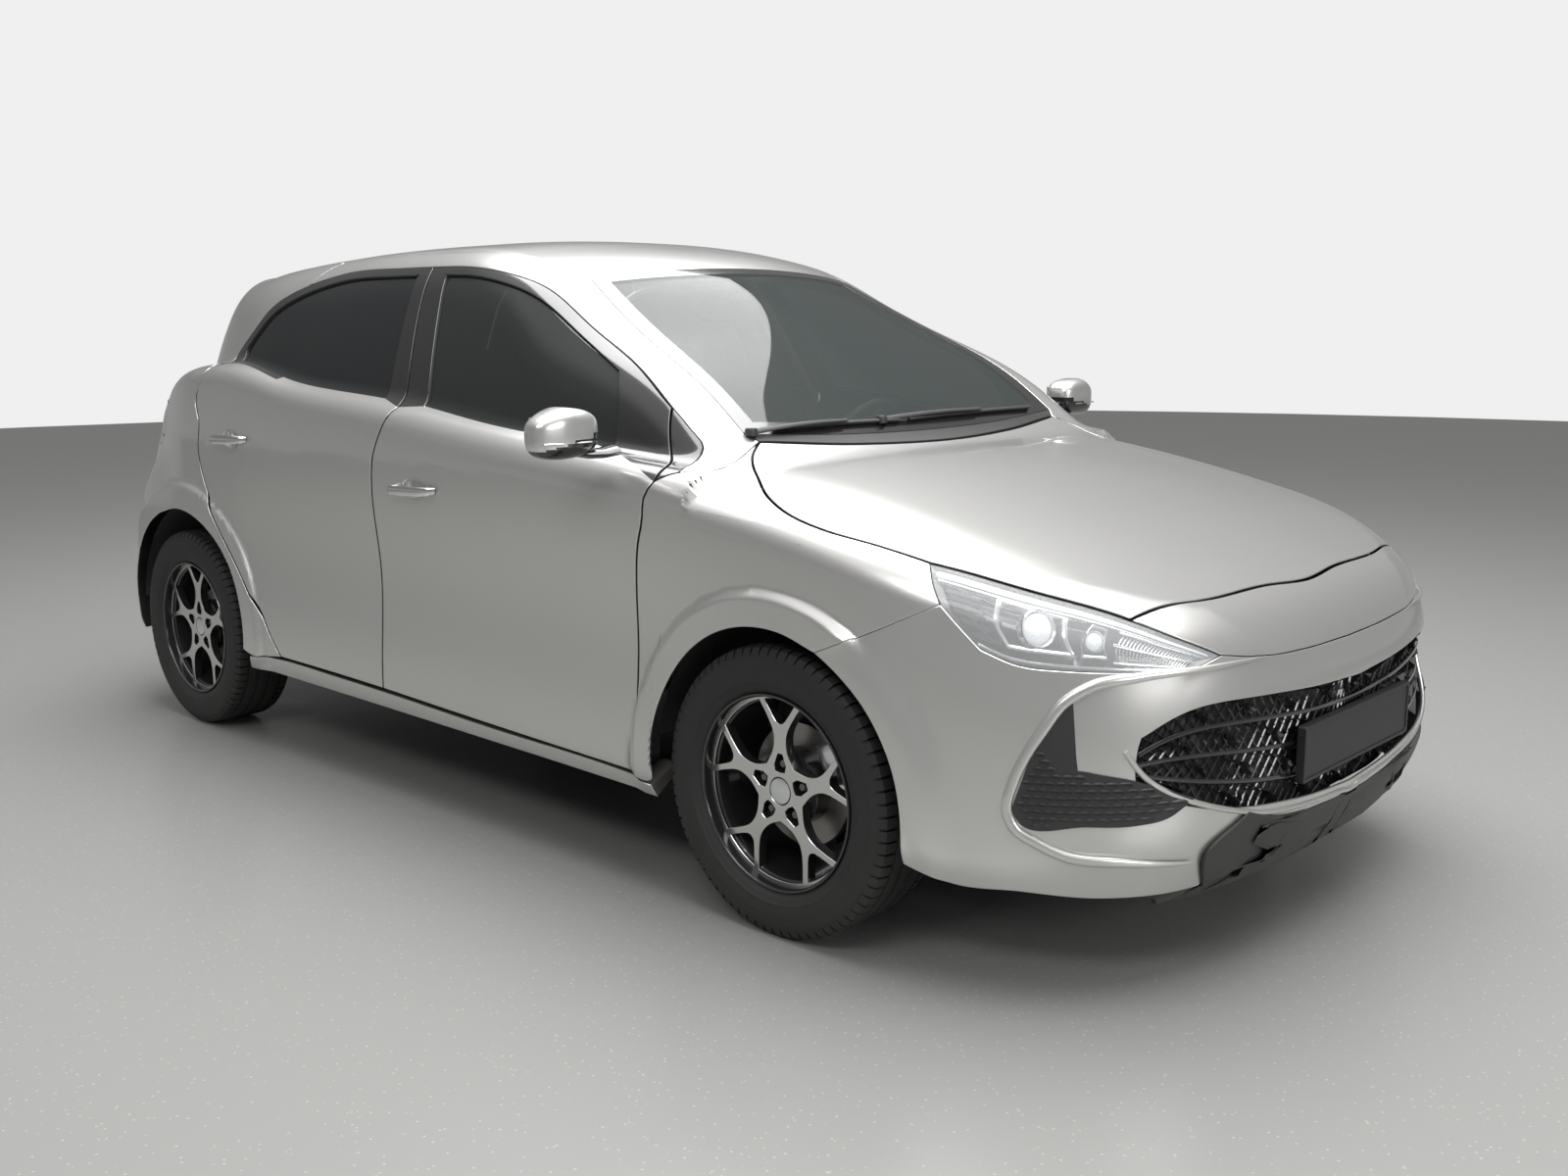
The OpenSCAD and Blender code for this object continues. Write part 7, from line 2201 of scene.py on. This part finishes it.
# ---------------------------------------------------------------- studio
@dataclass
class Studio:
    """Floor, backdrop, lamps and camera."""

    lens: float = 34.67
    spot: tuple[float, float, float] = (3.268, -3.026, 1.274)
    yaw: float = 133.25
    pitch: float = -10.07
    roll: float = -0.29

    def camera(self) -> None:
        """Sets the camera at the viewing angle."""
        y, p = math.radians(self.yaw), math.radians(self.pitch)
        d = Vector((math.cos(p) * math.cos(y), math.cos(p) * math.sin(y), math.sin(p)))
        cam = bpy.data.cameras.new("view")
        cam.lens, cam.sensor_width, cam.clip_end = self.lens, 36.0, 200.0
        obj = bpy.data.objects.new("view", cam)
        bpy.context.scene.collection.objects.link(obj)
        right = d.cross(Vector((0, 0, 1))).normalized()
        up = right.cross(d)
        r = math.radians(self.roll)
        right, up = right * math.cos(r) + up * math.sin(r), up * math.cos(r) - right * math.sin(r)
        m = obj.matrix_world.copy()
        for k in range(3):
            m[k][0], m[k][1], m[k][2], m[k][3] = right[k], up[k], -d[k], self.spot[k]
        obj.matrix_world = m
        bpy.context.scene.camera = obj

    def floor(self) -> None:
        """A speckled, slightly polished floor and a far pale wall."""
        mat = bpy.data.materials.new("studio_floor")
        mat.use_nodes = True
        t = mat.node_tree
        shader = t.nodes["Principled BSDF"]
        place, speck, ramp = t.nodes.new("ShaderNodeTexCoord"), t.nodes.new("ShaderNodeTexVoronoi"), t.nodes.new("ShaderNodeMapRange")
        speck.inputs["Scale"].default_value = 55.0
        t.links.new(place.outputs["Object"], speck.inputs["Vector"])
        ramp.inputs["From Min"].default_value, ramp.inputs["From Max"].default_value = 0.10, 0.16
        ramp.inputs["To Min"].default_value, ramp.inputs["To Max"].default_value = 0.55, 0.0
        t.links.new(speck.outputs["Distance"], ramp.inputs["Value"])
        cloud = t.nodes.new("ShaderNodeTexNoise")
        cloud.inputs["Scale"].default_value = 30.0
        t.links.new(place.outputs["Object"], cloud.inputs["Vector"])
        many = t.nodes.new("ShaderNodeMath")
        many.operation = "MULTIPLY"
        t.links.new(ramp.outputs["Result"], many.inputs[0])
        t.links.new(cloud.outputs["Fac"], many.inputs[1])
        mix = t.nodes.new("ShaderNodeMix")
        mix.data_type = "RGBA"
        mix.inputs["A"].default_value, mix.inputs["B"].default_value = (0.235, 0.237, 0.228, 1), (0.52, 0.52, 0.49, 1)
        t.links.new(many.outputs[0], mix.inputs["Factor"])
        t.links.new(mix.outputs["Result"], shader.inputs["Base Color"])
        shader.inputs["Roughness"].default_value = 0.27
        shader.inputs["Specular IOR Level"].default_value = 0.5
        mesh = bpy.data.meshes.new("floor")
        ring = [(16 * math.cos(a * math.pi / 32) - 0.9, 16 * math.sin(a * math.pi / 32) + 1.2, -0.001) for a in range(64)]
        mesh.from_pydata(ring, [], [list(range(64))])
        mesh.materials.append(mat)
        floor = bpy.data.objects.new("floor", mesh)
        bpy.context.scene.collection.objects.link(floor)
        wall_mat = bpy.data.materials.new("studio_wall")
        wall_mat.use_nodes = True
        t = wall_mat.node_tree
        out = t.nodes["Material Output"]
        t.nodes.remove(t.nodes["Principled BSDF"])
        glow, ray, mixer = t.nodes.new("ShaderNodeEmission"), t.nodes.new("ShaderNodeLightPath"), t.nodes.new("ShaderNodeMixShader")
        glow.inputs["Color"].default_value = (0.87, 0.87, 0.87, 1)
        clear = t.nodes.new("ShaderNodeBsdfTransparent")
        seen = t.nodes.new("ShaderNodeMath")
        seen.operation = "MAXIMUM"
        t.links.new(ray.outputs["Is Camera Ray"], seen.inputs[0])
        t.links.new(ray.outputs["Is Transmission Ray"], seen.inputs[1])
        t.links.new(seen.outputs[0], mixer.inputs["Fac"])
        t.links.new(clear.outputs["BSDF"], mixer.inputs[1])
        t.links.new(glow.outputs["Emission"], mixer.inputs[2])
        t.links.new(mixer.outputs["Shader"], out.inputs["Surface"])
        verts, faces = [], []
        for a in range(64):
            c, s = math.cos(a * math.pi / 32), math.sin(a * math.pi / 32)
            verts += [(16 * c - 0.9, 16 * s + 1.2, 0.0), (16 * c - 0.9, 16 * s + 1.2, 9.0)]
            b = (a + 1) % 64
            faces.append([2 * a, 2 * a + 1, 2 * b + 1, 2 * b])
        mesh = bpy.data.meshes.new("backdrop")
        mesh.from_pydata(verts, [], faces)
        mesh.materials.append(wall_mat)
        wall = bpy.data.objects.new("backdrop", mesh)
        bpy.context.scene.collection.objects.link(wall)

    def lamp(self, name: str, place: tuple[float, float, float], aim: tuple[float, float, float], size: tuple[float, float], power: float) -> None:
        """A soft rectangular lamp.

        Args:
            name: its name.
            place: where it hangs.
            aim: what it points at.
            size: width and height in metres.
            power: watts.
        """
        light = bpy.data.lights.new(name, "AREA")
        light.shape, light.size, light.size_y, light.energy = "RECTANGLE", size[0], size[1], power
        obj = bpy.data.objects.new(name, light)
        bpy.context.scene.collection.objects.link(obj)
        obj.location = place
        obj.rotation_euler = (Vector(aim) - Vector(place)).to_track_quat("-Z", "Y").to_euler()

    def lamps(self) -> None:
        """A broad soft ceiling, a low front light, and a room that is dark at eye height."""
        self.lamp("overhead", (0.4, 0.6, 5.4), (0.2, 0, 0), (8.0, 5.0), 760)
        self.lamp("front_soft", (7.5, -1.0, 2.6), (1.5, 0, 0.5), (3.0, 1.6), 120)
        self.lamp("near_side", (3.2, -6.5, 6.0), (0.3, 0, 0.5), (5.0, 1.4), 190)
        world = bpy.data.worlds.new("room")
        bpy.context.scene.world = world
        world.use_nodes = True
        t = world.node_tree
        place, split, ramp = t.nodes.new("ShaderNodeTexCoord"), t.nodes.new("ShaderNodeSeparateXYZ"), t.nodes.new("ShaderNodeValToRGB")
        t.links.new(place.outputs["Generated"], split.inputs[0])
        t.links.new(split.outputs["Z"], ramp.inputs["Fac"])
        ramp.color_ramp.elements[0].position, ramp.color_ramp.elements[0].color = 0.0, (0.30, 0.30, 0.30, 1)
        ramp.color_ramp.elements[1].position, ramp.color_ramp.elements[1].color = 1.0, (0.95, 0.95, 0.95, 1)
        for where, grey in ((0.22, 0.16), (0.62, 0.30), (0.76, 0.85)):
            ramp.color_ramp.elements.new(where).color = (grey, grey, grey, 1)
        t.links.new(ramp.outputs["Color"], t.nodes["Background"].inputs["Color"])
        t.nodes["Background"].inputs["Strength"].default_value = 1.0

    def build(self) -> None:
        """Sets the whole studio."""
        self.camera()
        self.floor()
        self.lamps()
        bpy.context.scene.view_settings.view_transform = "Standard"


def main() -> None:
    """Builds the car, sub-assembly by sub-assembly, in the studio."""
    logging.basicConfig(level=logging.INFO, format="%(message)s")
    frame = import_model()
    Studio().build()
    for assembly in ASSEMBLIES:
        LOG.info("building %s", type(assembly).__name__)
        assembly.build()
    dress_frame(frame)


def dress_frame(frame: dict) -> None:
    """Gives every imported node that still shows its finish.
    """
    for name, obj in frame["nodes"].items():
        if obj.hide_render:
            continue
        finish = PLAIN_NODES.get(name, "underside")
        obj.data.materials.clear()
        obj.data.materials.append(material(finish))


ASSEMBLIES = [BodyShell(), Doors(), Lids(), Screen(), FrontEnd(), RearEnd(), Wipers(), Cockpit()] + [Mirror(side) for side in Side] + [Handle(place, side, x, z) for place, x, z in (("front", -0.06, 0.85), ("rear", -1.03, 0.93)) for side in Side] + [Wheel(x, side, x > 0) for x in (SIZES.front_axle, SIZES.rear_axle) for side in Side]
PLAIN_NODES = {"engine_block": "engine_grey", "steering_column": "cabin_black", "floor_pan": "carpet", "boot_floor": "carpet", "b_pillars": "cabin_black"}

if __name__ == "__main__":
    main()
